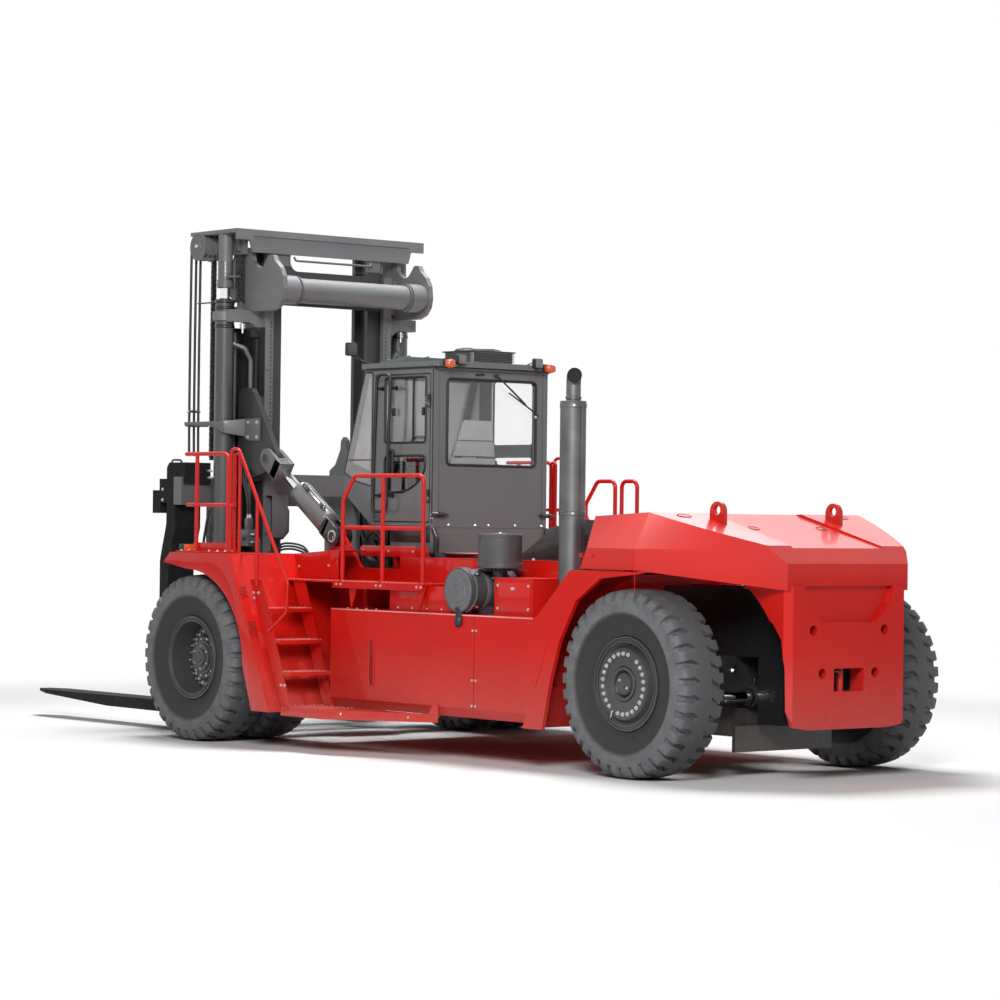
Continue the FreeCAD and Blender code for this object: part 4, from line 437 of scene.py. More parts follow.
class Shape:
    """A mesh being built, in metres from the front axle's centre line on the ground."""

    def __init__(self):
        """Starts empty."""
        self.bm = bmesh.new()

    def box(self, low, high, bevel=0.004, turn=None, about=None):
        """A block with its edges broken."""
        made = bmesh.ops.create_cube(self.bm, size=1.0)["verts"]
        size = Vector(high) - Vector(low)
        centre = (Vector(high) + Vector(low)) / 2
        for vert in made:
            vert.co = Vector((vert.co.x * size.x, vert.co.y * size.y, vert.co.z * size.z)) + centre
        if turn is not None:
            bmesh.ops.rotate(self.bm, verts=made, cent=Vector(about or centre), matrix=turn)
        if bevel:
            edges = list({edge for vert in made for edge in vert.link_edges})
            bmesh.ops.bevel(self.bm, geom=edges, offset=bevel, segments=2, profile=0.6,
                affect="EDGES")
        return self

    def block(self, centre, half, bevel, turn=None):
        """A box about its middle, from half of each of its sizes."""
        return self.box(centre - Vector(half), centre + Vector(half), bevel, turn, centre)

    def plate(self, outline, direction, bevel=0.003):
        """A flat plate: the outline's corners, swept along a direction."""
        low = [self.bm.verts.new(Vector(p)) for p in outline]
        face = self.bm.faces.new(low)
        made = bmesh.ops.extrude_face_region(self.bm, geom=[face])["geom"]
        verts = [g for g in made if isinstance(g, bmesh.types.BMVert)]
        bmesh.ops.translate(self.bm, verts=verts, vec=Vector(direction))
        faces = {f for v in low + verts for f in v.link_faces}
        bmesh.ops.recalc_face_normals(self.bm, faces=list(faces))
        if bevel:
            edges = list({e for f in faces for e in f.edges})
            bmesh.ops.bevel(self.bm, geom=edges, offset=bevel, segments=2, profile=0.6,
                affect="EDGES")
        return self

    def turned(self, profile, origin, axis, sides=32, closed=False):
        """A lathe-turned piece: (distance along the axis, radius) pairs about an axis."""
        axis = Vector(axis).normalized()
        across = axis.orthogonal().normalized()
        other = axis.cross(across)
        origin = Vector(origin)
        rings = []
        for along, radius in profile:
            centre = origin + axis * along
            if radius < 1e-6:
                rings.append([self.bm.verts.new(centre)])
                continue
            ring = circle(centre, across, other, radius, sides)
            rings.append([self.bm.verts.new(point) for point in ring])
        pairs = list(zip(rings, rings[1:])) + ([(rings[-1], rings[0])] if closed else [])
        made = []
        for first, second in pairs:
            for i in range(sides):
                j = (i + 1) % sides
                corners = [first[i % len(first)], first[j % len(first)], second[j % len(second)],
                    second[i % len(second)]]
                corners = [c for k, c in enumerate(corners) if c not in corners[:k]]
                if len(corners) > 2:
                    made.append(self.bm.faces.new(corners))
        if not closed:
            for ring in (rings[0], rings[-1]):
                if len(ring) > 2:
                    made.append(self.bm.faces.new(ring))
        bmesh.ops.recalc_face_normals(self.bm, faces=made)
        return self

    def band(self, mid, feet, crown, origin, axis, sides):
        """A raised band: half its width and its radius, at its feet and on its crown."""
        (wide, low), (narrow, high) = feet, crown
        profile = [(mid - wide, low), (mid - narrow, high), (mid + narrow, high), (mid + wide, low)]
        return self.turned(profile, origin, axis, sides)

    def flipped(self):
        """Moves the shape to the other side of the truck."""
        bmesh.ops.scale(self.bm, vec=(1, -1, 1), verts=self.bm.verts[:])
        bmesh.ops.reverse_faces(self.bm, faces=self.bm.faces[:])
        return self

    def bolt(self, seat, axis, radius, height=None):
        """A hexagon head with its chamfered top, on a washer."""
        axis = Vector(axis).normalized()
        height = height or radius * 0.8
        self.turned([(-0.002, radius * 1.25), (radius * 0.18, radius * 1.25)], seat, axis, 18)
        self.turned([(0, radius), (height * 0.8, radius), (height, radius * 0.82), (height, 0)],
            Vector(seat) + axis * radius * 0.18, axis, 6)
        return self

    def pipe(self, points, radius, bend=None, sides=12):
        """A bent pipe, rod or hose along straight runs joined by arcs of the given bend."""
        path = rounded_path(points, bend if bend is not None else radius * 3)
        return self.sweep(path, radius, sides)

    def hose(self, points, radius, sides=10):
        """A hose in one soft curve through every point."""
        return self.sweep(smooth_path(points), radius, sides)

    def sweep(self, path, radius, sides=12, closed=False):
        """A round section carried along a path without twist; radius may change along it."""
        count = len(path)
        radii = radius if isinstance(radius, (list, tuple)) else [radius] * count
        normal = None
        rings = []
        for i in range(count):
            before = path[i - 1] if i or closed else path[i]
            after = path[(i + 1) % count] if i < count - 1 or closed else path[i]
            heading = (after - before).normalized()
            if normal is None:
                normal = heading.orthogonal().normalized()
            normal = (normal - heading * normal.dot(heading)).normalized()
            side = heading.cross(normal)
            ring = circle(path[i], normal, side, radii[i], sides)
            rings.append([self.bm.verts.new(point) for point in ring])
        made = []
        last = count if closed else count - 1
        for i in range(last):
            first, second = rings[i], rings[(i + 1) % count]
            for k in range(sides):
                made.append(self.bm.faces.new([first[k], first[(k + 1) % sides],
                    second[(k + 1) % sides], second[k]]))
        if not closed:
            made += [self.bm.faces.new(rings[0]), self.bm.faces.new(rings[-1])]
        bmesh.ops.recalc_face_normals(self.bm, faces=made)
        return self

    def grid(self, rows, closed_rows=False, closed_columns=False):
        """A skin over rows of points."""
        verts = [[self.bm.verts.new(Vector(p)) for p in row] for row in rows]
        made = []
        for i in range(len(rows) if closed_rows else len(rows) - 1):
            first, second = verts[i], verts[(i + 1) % len(rows)]
            for k in range(len(first) if closed_columns else len(first) - 1):
                n = (k + 1) % len(first)
                made.append(self.bm.faces.new([first[k], first[n], second[n], second[k]]))
        bmesh.ops.recalc_face_normals(self.bm, faces=made)
        return self

    def mirrored(self):
        """Adds the same shape on the other side of the truck."""
        made = bmesh.ops.duplicate(self.bm,
            geom=self.bm.verts[:] + self.bm.edges[:] + self.bm.faces[:])["geom"]
        verts = [g for g in made if isinstance(g, bmesh.types.BMVert)]
        faces = [g for g in made if isinstance(g, bmesh.types.BMFace)]
        bmesh.ops.scale(self.bm, vec=(1, -1, 1), verts=verts)
        bmesh.ops.reverse_faces(self.bm, faces=faces)
        return self

    def place(self, name, body, material, slot, smooth=35):
        """Turns the shape into a piece that rides on a body."""
        mesh = bpy.data.meshes.new(name)
        self.bm.to_mesh(mesh)
        self.bm.free()
        mesh.transform(Matrix.Translation((FRONT_X, 0, 0)))
        mesh.set_sharp_from_angle(angle=math.radians(smooth))
        mesh.polygons.foreach_set("use_smooth", [True] * len(mesh.polygons))
        mesh.materials.append(material)
        piece = bpy.data.objects.new(name, mesh)
        bpy.context.scene.collection.objects.link(piece)
        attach(piece, body)
        return piece


def rounded_path(points, bend, steps=6):
    """Straight runs joined by arcs of the given bend, each as large as its runs allow."""
    corners = [Vector(p) for p in points]
    path = [corners[0]]
    for before, here, after in zip(corners, corners[1:], corners[2:]):
        back = before - here
        on = after - here
        half = back.angle(on) / 2
        if half > math.radians(88):
            path.append(here)
            continue
        trim = min(bend / math.tan(half), back.length * 0.48, on.length * 0.48)
        enter = here + back.normalized() * trim
        leave = here + on.normalized() * trim
        for i in range(steps + 1):
            t = i / steps
            path.append(enter.lerp(here, t).lerp(here.lerp(leave, t), t))
    path.append(corners[-1])
    return path


def smooth_path(points, steps=8):
    """A soft curve through every point, for hoses."""
    p = [Vector(q) for q in points]
    p = [p[0] * 2 - p[1]] + p + [p[-1] * 2 - p[-2]]
    path = []
    for i in range(1, len(p) - 2):
        for k in range(steps):
            t = k / steps
            path.append(0.5 * ((2 * p[i]) + (p[i + 1] - p[i - 1]) * t
                               + (2 * p[i - 1] - 5 * p[i] + 4 * p[i + 1] - p[i + 2]) * t * t
                               + (3 * p[i] - p[i - 1] - 3 * p[i + 1] + p[i + 2]) * t ** 3))
    path.append(p[-2])
    return path


# ---- tyres -----------------------------------------------------------------------------
LUGS = 34
LUG_EDGES = (0.0, 0.2, 0.4, 0.58, 0.63, 0.8, 0.95)      # one pitch: lug face, then groove
GROOVE = (0, 0, 0, 0, 1, 1, 1)
GROOVE_DEEP = 0.045


def tread_rows():
    """(offset from the middle, radius, groove depth, lean in pitches) across one half of a tyre."""
    half = TYRE_HALF
    r = TYRE_R
    return [(0.000, r - 0.0005, 0.00, 0.50), (0.030, r - 0.001, 0.00, 0.36),
        (0.060, r - 0.002, 0.00, 0.12), (0.066, r - 0.002, 0.60, 0.08),
        (0.072, r - 0.003, 1.00, 0.02), (0.110, r - 0.005, 1.00, -0.12),
        (0.142, r - 0.008, 1.00, -0.22), (0.178, r - 0.012, 1.00, -0.19),
        (0.206, r - 0.018, 1.00, -0.17), (0.222, r - 0.030, 0.95, -0.17),
        (half - 0.012, r - 0.062, 0.72, -0.17), (half - 0.006, r - 0.085, 0.42, -0.17),
        (half - 0.003, r - 0.103, 0.12, -0.17), (half - 0.002, r - 0.108, 0.0, -0.17),
        (half, r - 0.125, 0, -0.17), (half, r - 0.190, 0, -0.17), (half - 0.001, 0.634, 0, 0),
        (half, 0.631, 0, 0), (half, 0.626, 0, 0), (half - 0.003, 0.621, 0, 0),
        (half - 0.018, 0.600, 0, 0), (half - 0.040, 0.560, 0, 0), (half - 0.056, 0.515, 0, 0),
        (half - 0.064, 0.480, 0, 0), (half - 0.066, 0.462, 0, 0), (half - 0.063, 0.458, 0, 0),
        (half - 0.063, 0.450, 0, 0), (half - 0.067, 0.446, 0, 0), (half - 0.069, 0.436, 0, 0),
        (half - 0.066, 0.432, 0, 0), (half - 0.067, 0.422, 0, 0), (half - 0.075, 0.416, 0, 0),
        (half - 0.092, 0.414, 0, 0), (half - 0.092, 0.382, 0, 0)]


def add_tyre(shape, x, y):
    """One pneumatic tyre: lugs on both shoulders set half a pitch apart, a plain middle band,
    a flat sidewall with a thin ridge, and a hollow down to the rim's flange."""
    half_rows = tread_rows()
    rows = [(-w, r, d, 1.0 - lean) for w, r, d, lean in reversed(half_rows)] + half_rows[1:]
    skin = []
    for w, r, depth, lean in rows:
        ring = []
        for lug in range(LUGS):
            for edge, cut in zip(LUG_EDGES, GROOVE):
                turn = 2 * math.pi * (lug + edge + lean) / LUGS
                radius = r - GROOVE_DEEP * depth * cut
                inset = 0.0
                if cut and abs(w) > 0.215 and depth:
                    inset = 0.022 * depth * (1 if w > 0 else -1)
                ring.append((x + radius * math.cos(turn), y + w - inset,
                    AXLE_Z + radius * math.sin(turn)))
        skin.append(ring)
    shape.grid(skin, closed_columns=True)


def tyre_piece(name, body, node, x, mid_ys):
    """The tyres of one wheel set, in place of their CAD node."""
    shape = Shape()
    for y in mid_ys:
        add_tyre(shape, x, y)
    piece = shape.place(name, body, rubber, "tyre_rubber", 32)
    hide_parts(node)


for side, sign in SIDES:
    tyre_piece("twin_tyres_" + side, "front_wheels_" + side, "front_tyres_" + side, 0.0,
        (sign * OUTER_TWIN_Y, sign * INNER_TWIN_Y))
    tyre_piece("steer_tyre_" + side, "rear_wheel_" + side, "rear_tyre_" + side, REAR_X,
        (sign * REAR_Y,))


# ---- wheels ------------------------------------------------------------------------------
def rim_rings(shape, x, side, y):
    """Lock ring, bead seat band and spring ring outside a rim's flange."""
    eighths = [math.pi * k / 4 for k in range(8)]
    for r, proud, thick in ((0.404, 0.006, 0.009), (0.386, 0.002, 0.006), (0.368, 0.005, 0.008)):
        section = [(proud + thick * math.cos(a), r + thick * math.sin(a)) for a in eighths]
        shape.turned(section, (x, side * y, AXLE_Z), (0, side, 0), 56, closed=True)


def on_wheel(x, side, y, radius, turn):
    """A point on a wheel's outer face, at a radius and turned round its axle."""
    return Vector((x + radius * math.cos(turn), side * y, AXLE_Z + radius * math.sin(turn)))


def wheel_bolts(shape, x, side, y, ring_r, count, radius, skip=(), thread=0.0):
    """A ring of nuts round a wheel's centre, each with the end of its stud."""
    for i in range(count):
        if i in skip:
            continue
        turn = 2 * math.pi * (i + 0.5) / count
        seat = on_wheel(x, side, y, ring_r, turn)
        shape.bolt(seat, (0, side, 0), radius)
        if thread:
            shape.turned([(0, radius * 0.5), (thread, radius * 0.5),
                (thread + 0.004, radius * 0.35)], seat, (0, side, 0), 10)


FRONT_DISC_Y = OUTER_TWIN_Y - 0.02
FRONT_HUB_Y = OUTER_TWIN_Y + 0.05
REAR_DISC_Y = REAR_Y + TYRE_HALF - 0.035
REAR_NUTS = 26
VALVE_GAPS = (8, 21)
for side, sign in SIDES:
    shape = Shape()
    rim_rings(shape, 0, sign, OUTER_TWIN_Y + 0.185)
    shape.turned([(0, 0.170), (0.018, 0.166), (0.020, 0.140), (0.040, 0.136), (0.043, 0.090),
        (0.060, 0.086), (0.062, 0.050), (0.070, 0.046), (0.070, 0)],
        (0, sign * FRONT_HUB_Y, AXLE_Z), (0, sign, 0), 40)
    shape.turned([(-0.004, 0.325), (0.004, 0.322), (0.004, 0.236), (-0.004, 0.232)],
        (0, sign * FRONT_DISC_Y, AXLE_Z), (0, sign, 0), 48, closed=True)
    shape.place("front_hub_cover_" + side, "front_wheels_" + side, rim_enamel, "black_paint")
    shape = Shape()
    wheel_bolts(shape, 0, sign, FRONT_DISC_Y + 0.004, 0.279, 24, 0.017, thread=0.042)
    wheel_bolts(shape, 0, sign, FRONT_HUB_Y, 0.187, 12, 0.010)
    wheel_bolts(shape, 0, sign, FRONT_HUB_Y + 0.040, 0.113, 6, 0.008)
    shape.place("front_wheel_nuts_" + side, "front_wheels_" + side, zinc, "chrome")
    shape = Shape()
    rim_rings(shape, REAR_X, sign, REAR_Y + 0.185)
    shape.turned([(0.0, 0.150), (0.006, 0.146), (0.006, 0.122), (-0.006, 0.116)],
        (REAR_X, sign * REAR_DISC_Y, AXLE_Z), (0, sign, 0), 48, closed=True)
    shape.turned([(0.0, 0.300), (0.005, 0.297), (0.005, 0.232), (0.0, 0.229)],
        (REAR_X, sign * REAR_DISC_Y, AXLE_Z), (0, sign, 0), 48, closed=True)
    shape.turned([(0, 0.088), (0.008, 0.084), (0.009, 0.030), (0.016, 0.026), (0.016, 0)],
        (REAR_X, sign * (REAR_DISC_Y - 0.005), AXLE_Z), (0, sign, 0), 32)
    shape.place("rear_disc_face_" + side, "rear_wheel_" + side, rim_enamel, "black_paint")
    shape = Shape()
    wheel_bolts(shape, REAR_X, sign, REAR_DISC_Y + 0.005, 0.263, REAR_NUTS, 0.0155, VALVE_GAPS,
        0.020)
    for turn in (0.6, 0.6 + math.pi):
        shape.bolt(on_wheel(REAR_X, sign, REAR_DISC_Y + 0.003, 0.058, turn), (0, sign, 0), 0.010)
    turn = 2 * math.pi * (VALVE_GAPS[1] + 0.5) / REAR_NUTS
    root = on_wheel(REAR_X, sign, REAR_DISC_Y - 0.004, 0.27, turn)
    shape.pipe([root, root + Vector((0, sign * 0.022, 0)),
        root + Vector((0.01, sign * 0.026, -0.055))], 0.006)
    shape.place("rear_wheel_nuts_" + side, "rear_wheel_" + side, zinc, "chrome")


# ---- tilt cylinders ----------------------------------------------------------------------
TILT_FOOT = Vector((-0.875, 0.98, 2.05))
TILT_EYE = Vector((0.28, 0.98, 2.83))
TILT_ALONG = (TILT_EYE - TILT_FOOT).normalized()
TILT_RISE = Vector((-TILT_ALONG.z, 0, TILT_ALONG.x))
TILT_LONG = (TILT_EYE - TILT_FOOT).length
EYE_R = 0.102
CHEEK_Y = 0.089
PIN_ENDS = (CHEEK_Y, -0.101)


def tilt_point(along, rise, side=0.0, origin=TILT_FOOT):
    """A point on a tilt cylinder: how far along it, above it and to its outer side."""
    return origin + TILT_ALONG * along + TILT_RISE * rise + Vector((0, side, 0))


def fork_cheek(shape, origin, heading, low, high, reach):
    """One cheek of a forked eye: a round nose about the pin and straight flanks."""
    outline = []
    for k in range(13):
        a = math.pi / 2 + math.pi * k / 12
        outline.append(tilt_point(heading * EYE_R * math.cos(a), EYE_R * math.sin(a), low, origin))
    outline += [tilt_point(heading * reach, -EYE_R, low, origin),
        tilt_point(heading * reach, EYE_R, low, origin)]
    shape.plate(outline, (0, high - low, 0), 0.005)


def fork_block(shape, origin, heading, near, far):
    """The solid part of a forked eye, where its cheeks meet."""
    corners = ((near, -0.1), (far, -0.1), (far, 0.1), (near, 0.1))
    outline = [tilt_point(heading * s, r, -CHEEK_Y, origin) for s, r in corners]
    shape.plate(outline, (0, 2 * CHEEK_Y, 0), 0.008)


def pin_cap(shape, origin, y):
    """End of a pin: its flange."""
    shape.turned([(0, 0.062), (0.010, 0.060), (0.012, 0.040), (0.008, 0.030), (0.008, 0)],
        origin + Vector((0, y, 0)), LEFT, 28)


def tilt_cylinder(side):
    """Forked foot, barrel, gland, chromed rod and forked head of one tilt cylinder."""
    def done(shape, name, body, material, slot):
        if side == "right":
            shape.flipped()
        return shape.place(name + "_" + side, body + "_" + side, material, slot)

    barrel = Shape()
    barrel.turned([(0.208, 0.100), (0.225, 0.118), (0.235, 0.122), (0.745, 0.122), (0.752, 0.118),
        (0.756, 0.118), (0.760, 0.121), (0.786, 0.121), (0.790, 0.116), (0.790, 0.049),
        (0.70, 0.049)], TILT_FOOT, TILT_ALONG, 48)
    barrel.pipe([tilt_point(0.30, 0.118, 0.05), tilt_point(0.30, 0.150, 0.055),
        tilt_point(0.72, 0.150, 0.055), tilt_point(0.745, 0.118, 0.05)], 0.011, 0.03)
    for along in (0.36, 0.66):
        barrel.block(tilt_point(along, 0.132, 0.055), (0.018, 0.02, 0.018), 0.004)
    piece = done(barrel, "tilt_barrel_tube", "tilt_barrel", cylinder_enamel, "mast_grey")
    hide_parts("tilt_barrel_" + side)
    foot = Shape()
    for low, high in ((0.033, CHEEK_Y), (-CHEEK_Y, -0.033)):
        fork_cheek(foot, TILT_FOOT, 1, low, high, 0.18)
    fork_block(foot, TILT_FOOT, 1, 0.131, 0.212)
    done(foot, "tilt_barrel_foot", "tilt_barrel", black_gloss, "black_paint")
    caps = Shape()
    for y in PIN_ENDS:
        pin_cap(caps, TILT_FOOT, y)
    caps.box(tilt_point(-0.055, -0.018, 0.098), tilt_point(-0.02, 0.018, 0.106), 0.002)
    done(caps, "tilt_foot_pins", "tilt_barrel", zinc, "chrome")
    gland = Shape()
    for turn in range(6):
        a = math.pi * (turn + 0.5) / 3
        seat = tilt_point(0.790, 0.085 * math.cos(a), 0.085 * math.sin(a))
        gland.bolt(seat, TILT_ALONG, 0.012)
    gland.turned([(0.789, 0.066), (0.800, 0.064), (0.803, 0.052)], TILT_FOOT, TILT_ALONG, 28)
    done(gland, "tilt_gland_bolts", "tilt_barrel", black_gloss, "black_paint")
    rod = Shape()
    rod.turned([(0.62, 0.0475), (TILT_LONG - 0.24, 0.0475), (TILT_LONG - 0.235, 0.044)], TILT_FOOT,
        TILT_ALONG, 32)
    piece = done(rod, "tilt_rod_shaft", "tilt_rod", chrome, "chrome")
    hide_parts("tilt_rod_" + side)
    head = Shape()
    for low, high in ((0.043, CHEEK_Y), (-CHEEK_Y, -0.043)):
        fork_cheek(head, TILT_EYE, -1, low, high, 0.25)
    fork_block(head, TILT_EYE, -1, 0.136, 0.249)
    head.turned([(TILT_LONG - 0.262, 0.068), (TILT_LONG - 0.258, 0.078),
        (TILT_LONG - 0.244, 0.078)], TILT_FOOT, TILT_ALONG, 6)
    done(head, "tilt_rod_eye", "tilt_rod", mast_enamel, "mast_grey")
    pins = Shape()
    for y in PIN_ENDS:
        pin_cap(pins, TILT_EYE, y)
    done(pins, "tilt_eye_pins", "tilt_rod", mast_enamel, "mast_grey")


for side in ("left", "right"):
    tilt_cylinder(side)


# ---- mast --------------------------------------------------------------------------------
LIFT_AT = (0.94, 1.14)
SHEAVE_AT = Vector((1.32, 1.216, 5.045))
ANCHOR_AT = (0.82, 1.035)


def leaf_chain(shape, x, y, low, high, wide, pitch):
    """Leaf chain seen edge on: rows of plates laced on pins, each row set half a pitch on."""
    plates = 6
    count = int((high - low) / pitch)
    for k in range(plates):
        across = -wide / 2 + wide * (k + 0.5) / plates
        shift = 0.5 if k % 2 else 0.0
        for i in range(count):
            z = low + pitch * (i + shift)
            if z + pitch > high + 0.01:
                continue
            shape.box((x - 0.016, y + across - 0.006, z + 0.002), (x + 0.016, y + across + 0.006,
                z + pitch - 0.002), 0.002)
    for i in range(count * 2):
        z = low + pitch * (i + 0.5) / 2
        if z > high:
            break
        shape.turned([(0, 0.006), (wide + 0.008, 0.006)], (x, y - wide / 2 - 0.004, z), LEFT, 8)


def mast_head():
    """Anchor chains and their blocks, the sheaves, and the caps over the lift rods."""
    chain = Shape()
    leaf_chain(chain, *ANCHOR_AT, 4.45, 4.955, 0.104, 0.062)
    chain.mirrored().place("anchor_chains", "inner_mast", chain_steel, "mast_grey")
    anchor = Shape()
    anchor.box((0.795, 0.992, 4.985), (0.85, 1.078, 5.155), 0.004)
    anchor.box((0.79, 0.985, 4.35), (0.85, 1.085, 4.405), 0.006)
    anchor.box((0.80, 1.018, 4.40), (0.84, 1.052, 4.46), 0.004)
    anchor.pipe([(*ANCHOR_AT, 4.38), (*ANCHOR_AT, 4.255)], 0.018)
    anchor.mirrored().place("chain_anchor_blocks", "inner_mast", mast_enamel, "mast_grey")
    nuts = Shape()
    for z in (4.222, 4.196):
        nuts.bolt((0.77, 1.035, z), (0, 0, -1), 0.026, 0.018)
    nuts.pipe([(0.77, 1.035, 4.24), (0.77, 1.035, 4.13)], 0.013)
    nuts.mirrored().place("chain_anchor_nuts", "outer_mast", zinc, "chrome")
    wheels = Shape()
    wheels.turned([(0.0, 0.139), (0.006, 0.146), (0.013, 0.146), (0.016, 0.140), (0.012, 0.118),
        (0.012, 0.050), (0.020, 0.045), (0.020, 0)], SHEAVE_AT, LEFT, 48)
    wheels.turned([(-0.155, 0.139), (-0.149, 0.148), (-0.143, 0.148), (-0.139, 0.139)], SHEAVE_AT,
        LEFT, 48)
    wheels.turned([(-0.080, 0.139), (-0.076, 0.147), (-0.068, 0.147), (-0.064, 0.139)], SHEAVE_AT,
        LEFT, 48)
    wheels.turned([(0, 0.118), (0.006, 0.128), (0.016, 0.128), (0.022, 0.118), (0.040, 0.118),
        (0.046, 0.128), (0.056, 0.128), (0.060, 0.118)], (1.27, 0.930, 5.03), LEFT, 40)
    wheels.turned([(0, 0.03), (0.16, 0.03)], (1.27, 0.86, 5.03), LEFT, 20)
    wheels.mirrored().place("head_sheaves", "inner_mast", mast_enamel, "mast_grey")
    pins = Shape()
    pins.turned([(0, 0.026), (0.016, 0.024), (0.020, 0.012), (0.020, 0)],
        SHEAVE_AT + Vector((0, 0.020, 0)), LEFT, 20)
    pins.mirrored().place("head_sheave_pins", "inner_mast", zinc, "chrome")
    bar = Shape()
    bar.pipe([(0.61, -0.505, 4.945), (0.60, -0.49, 4.905), (0.60, 0.49, 4.905),
        (0.61, 0.505, 4.945)], 0.012, 0.04)
    bar.box((0.606, -1.01, 5.128), (0.624, 1.01, 5.140), 0.003)
    bar.place("head_light_pipe", "inner_mast", cylinder_enamel, "mast_grey")
    caps = Shape()
    caps.turned([(4.600, 0.070), (4.606, 0.086), (4.680, 0.086), (4.690, 0.078), (4.700, 0.0775),
        (4.868, 0.0775), (4.874, 0.0755)], (LIFT_AT[0], LIFT_AT[1], 0), UP, 40)
    caps.box((0.72, 1.1, 4.70), (0.86, 1.18, 4.72), 0.004)
    caps.mirrored().place("lift_rod_caps", "inner_mast", cylinder_enamel, "mast_grey")


mast_head()


def lift_cylinder_parts():
    """Glands, hose ports and clamps of the lift cylinders, and the covers beside them."""
    x, y = LIFT_AT
    gland = Shape()
    gland.turned([(4.440, 0.098), (4.446, 0.110), (4.470, 0.110), (4.474, 0.104), (4.476, 0.070),
        (4.490, 0.066), (4.492, 0.052)], (x, y, 0), UP, 40)
    for k in range(8):
        a = 2 * math.pi * (k + 0.5) / 8
        gland.bolt((x + 0.088 * math.cos(a), y + 0.088 * math.sin(a), 4.474), UP, 0.010)
    gland.box((x - 0.24, y + 0.03, 4.448), (x + 0.42, y + 0.06, 4.462), 0.003)
    for z in (1.66, 4.20, 4.395):
        gland.band(z, (0.018, 0.0985), (0.012, 0.104), (x, y, 0), UP, 40)
    gland.mirrored().place("lift_cylinder_glands", "outer_mast", black_gloss, "black_paint")
    cover = Shape()
    cover.box((1.052, 0.829, 1.72), (1.068, 1.052, 4.20), 0.004)
    cover.box((0.70, 0.829, 1.90), (0.99, 0.845, 4.10), 0.004)
    for z in (2.0, 2.7, 3.4, 4.05):
        cover.box((1.03, 0.829, z), (1.052, 1.02, z + 0.03), 0.003)
    cover.mirrored().place("lift_cylinder_covers", "outer_mast", black_gloss, "black_paint")
    lines = Shape()
    lines.pipe([(0.80, 0.905, 1.95), (0.80, 0.905, 3.86), (0.80, 0.98, 3.98), (0.885, 1.075, 4.03)],
        0.024, 0.06, 14)
    lines.pipe([(1.02, 0.955, 1.75), (1.02, 0.955, 4.15)], 0.020, None, 14)
    lines.mirrored().place("lift_pressure_pipes", "outer_mast", cylinder_enamel, "mast_grey")


lift_cylinder_parts()


def mast_hoses():
    """Hoses and chain that hang from the head to the carriage."""
    hoses = Shape()
    for y in (1.202, 1.142, 1.088):
        path = [(1.22, y, 4.93), (1.215, y, 5.045), (1.25, y, 5.15), (1.32, y, 5.184),
            (1.40, y, 5.155), (1.462, y, 5.07), (1.474, y, 4.98), (1.478, y, 4.6), (1.482, y, 3.9),
            (1.480, y, 3.2), (1.474, y, 2.86)]
        hoses.hose(path, 0.0135)
    piece = hoses.mirrored().place("mast_hoses", "inner_mast", hose_cover, "black_plastic")
    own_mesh(piece)
    chain = Shape()
    leaf_chain(chain, 1.405, 0.965, 2.82, 5.02, 0.05, 0.055)
    piece = chain.mirrored().place("carriage_chains", "inner_mast", chain_steel, "mast_grey")
    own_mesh(piece)


mast_hoses()


TUBE_R = 0.128
TUBE_AT = (0.30, 4.57)


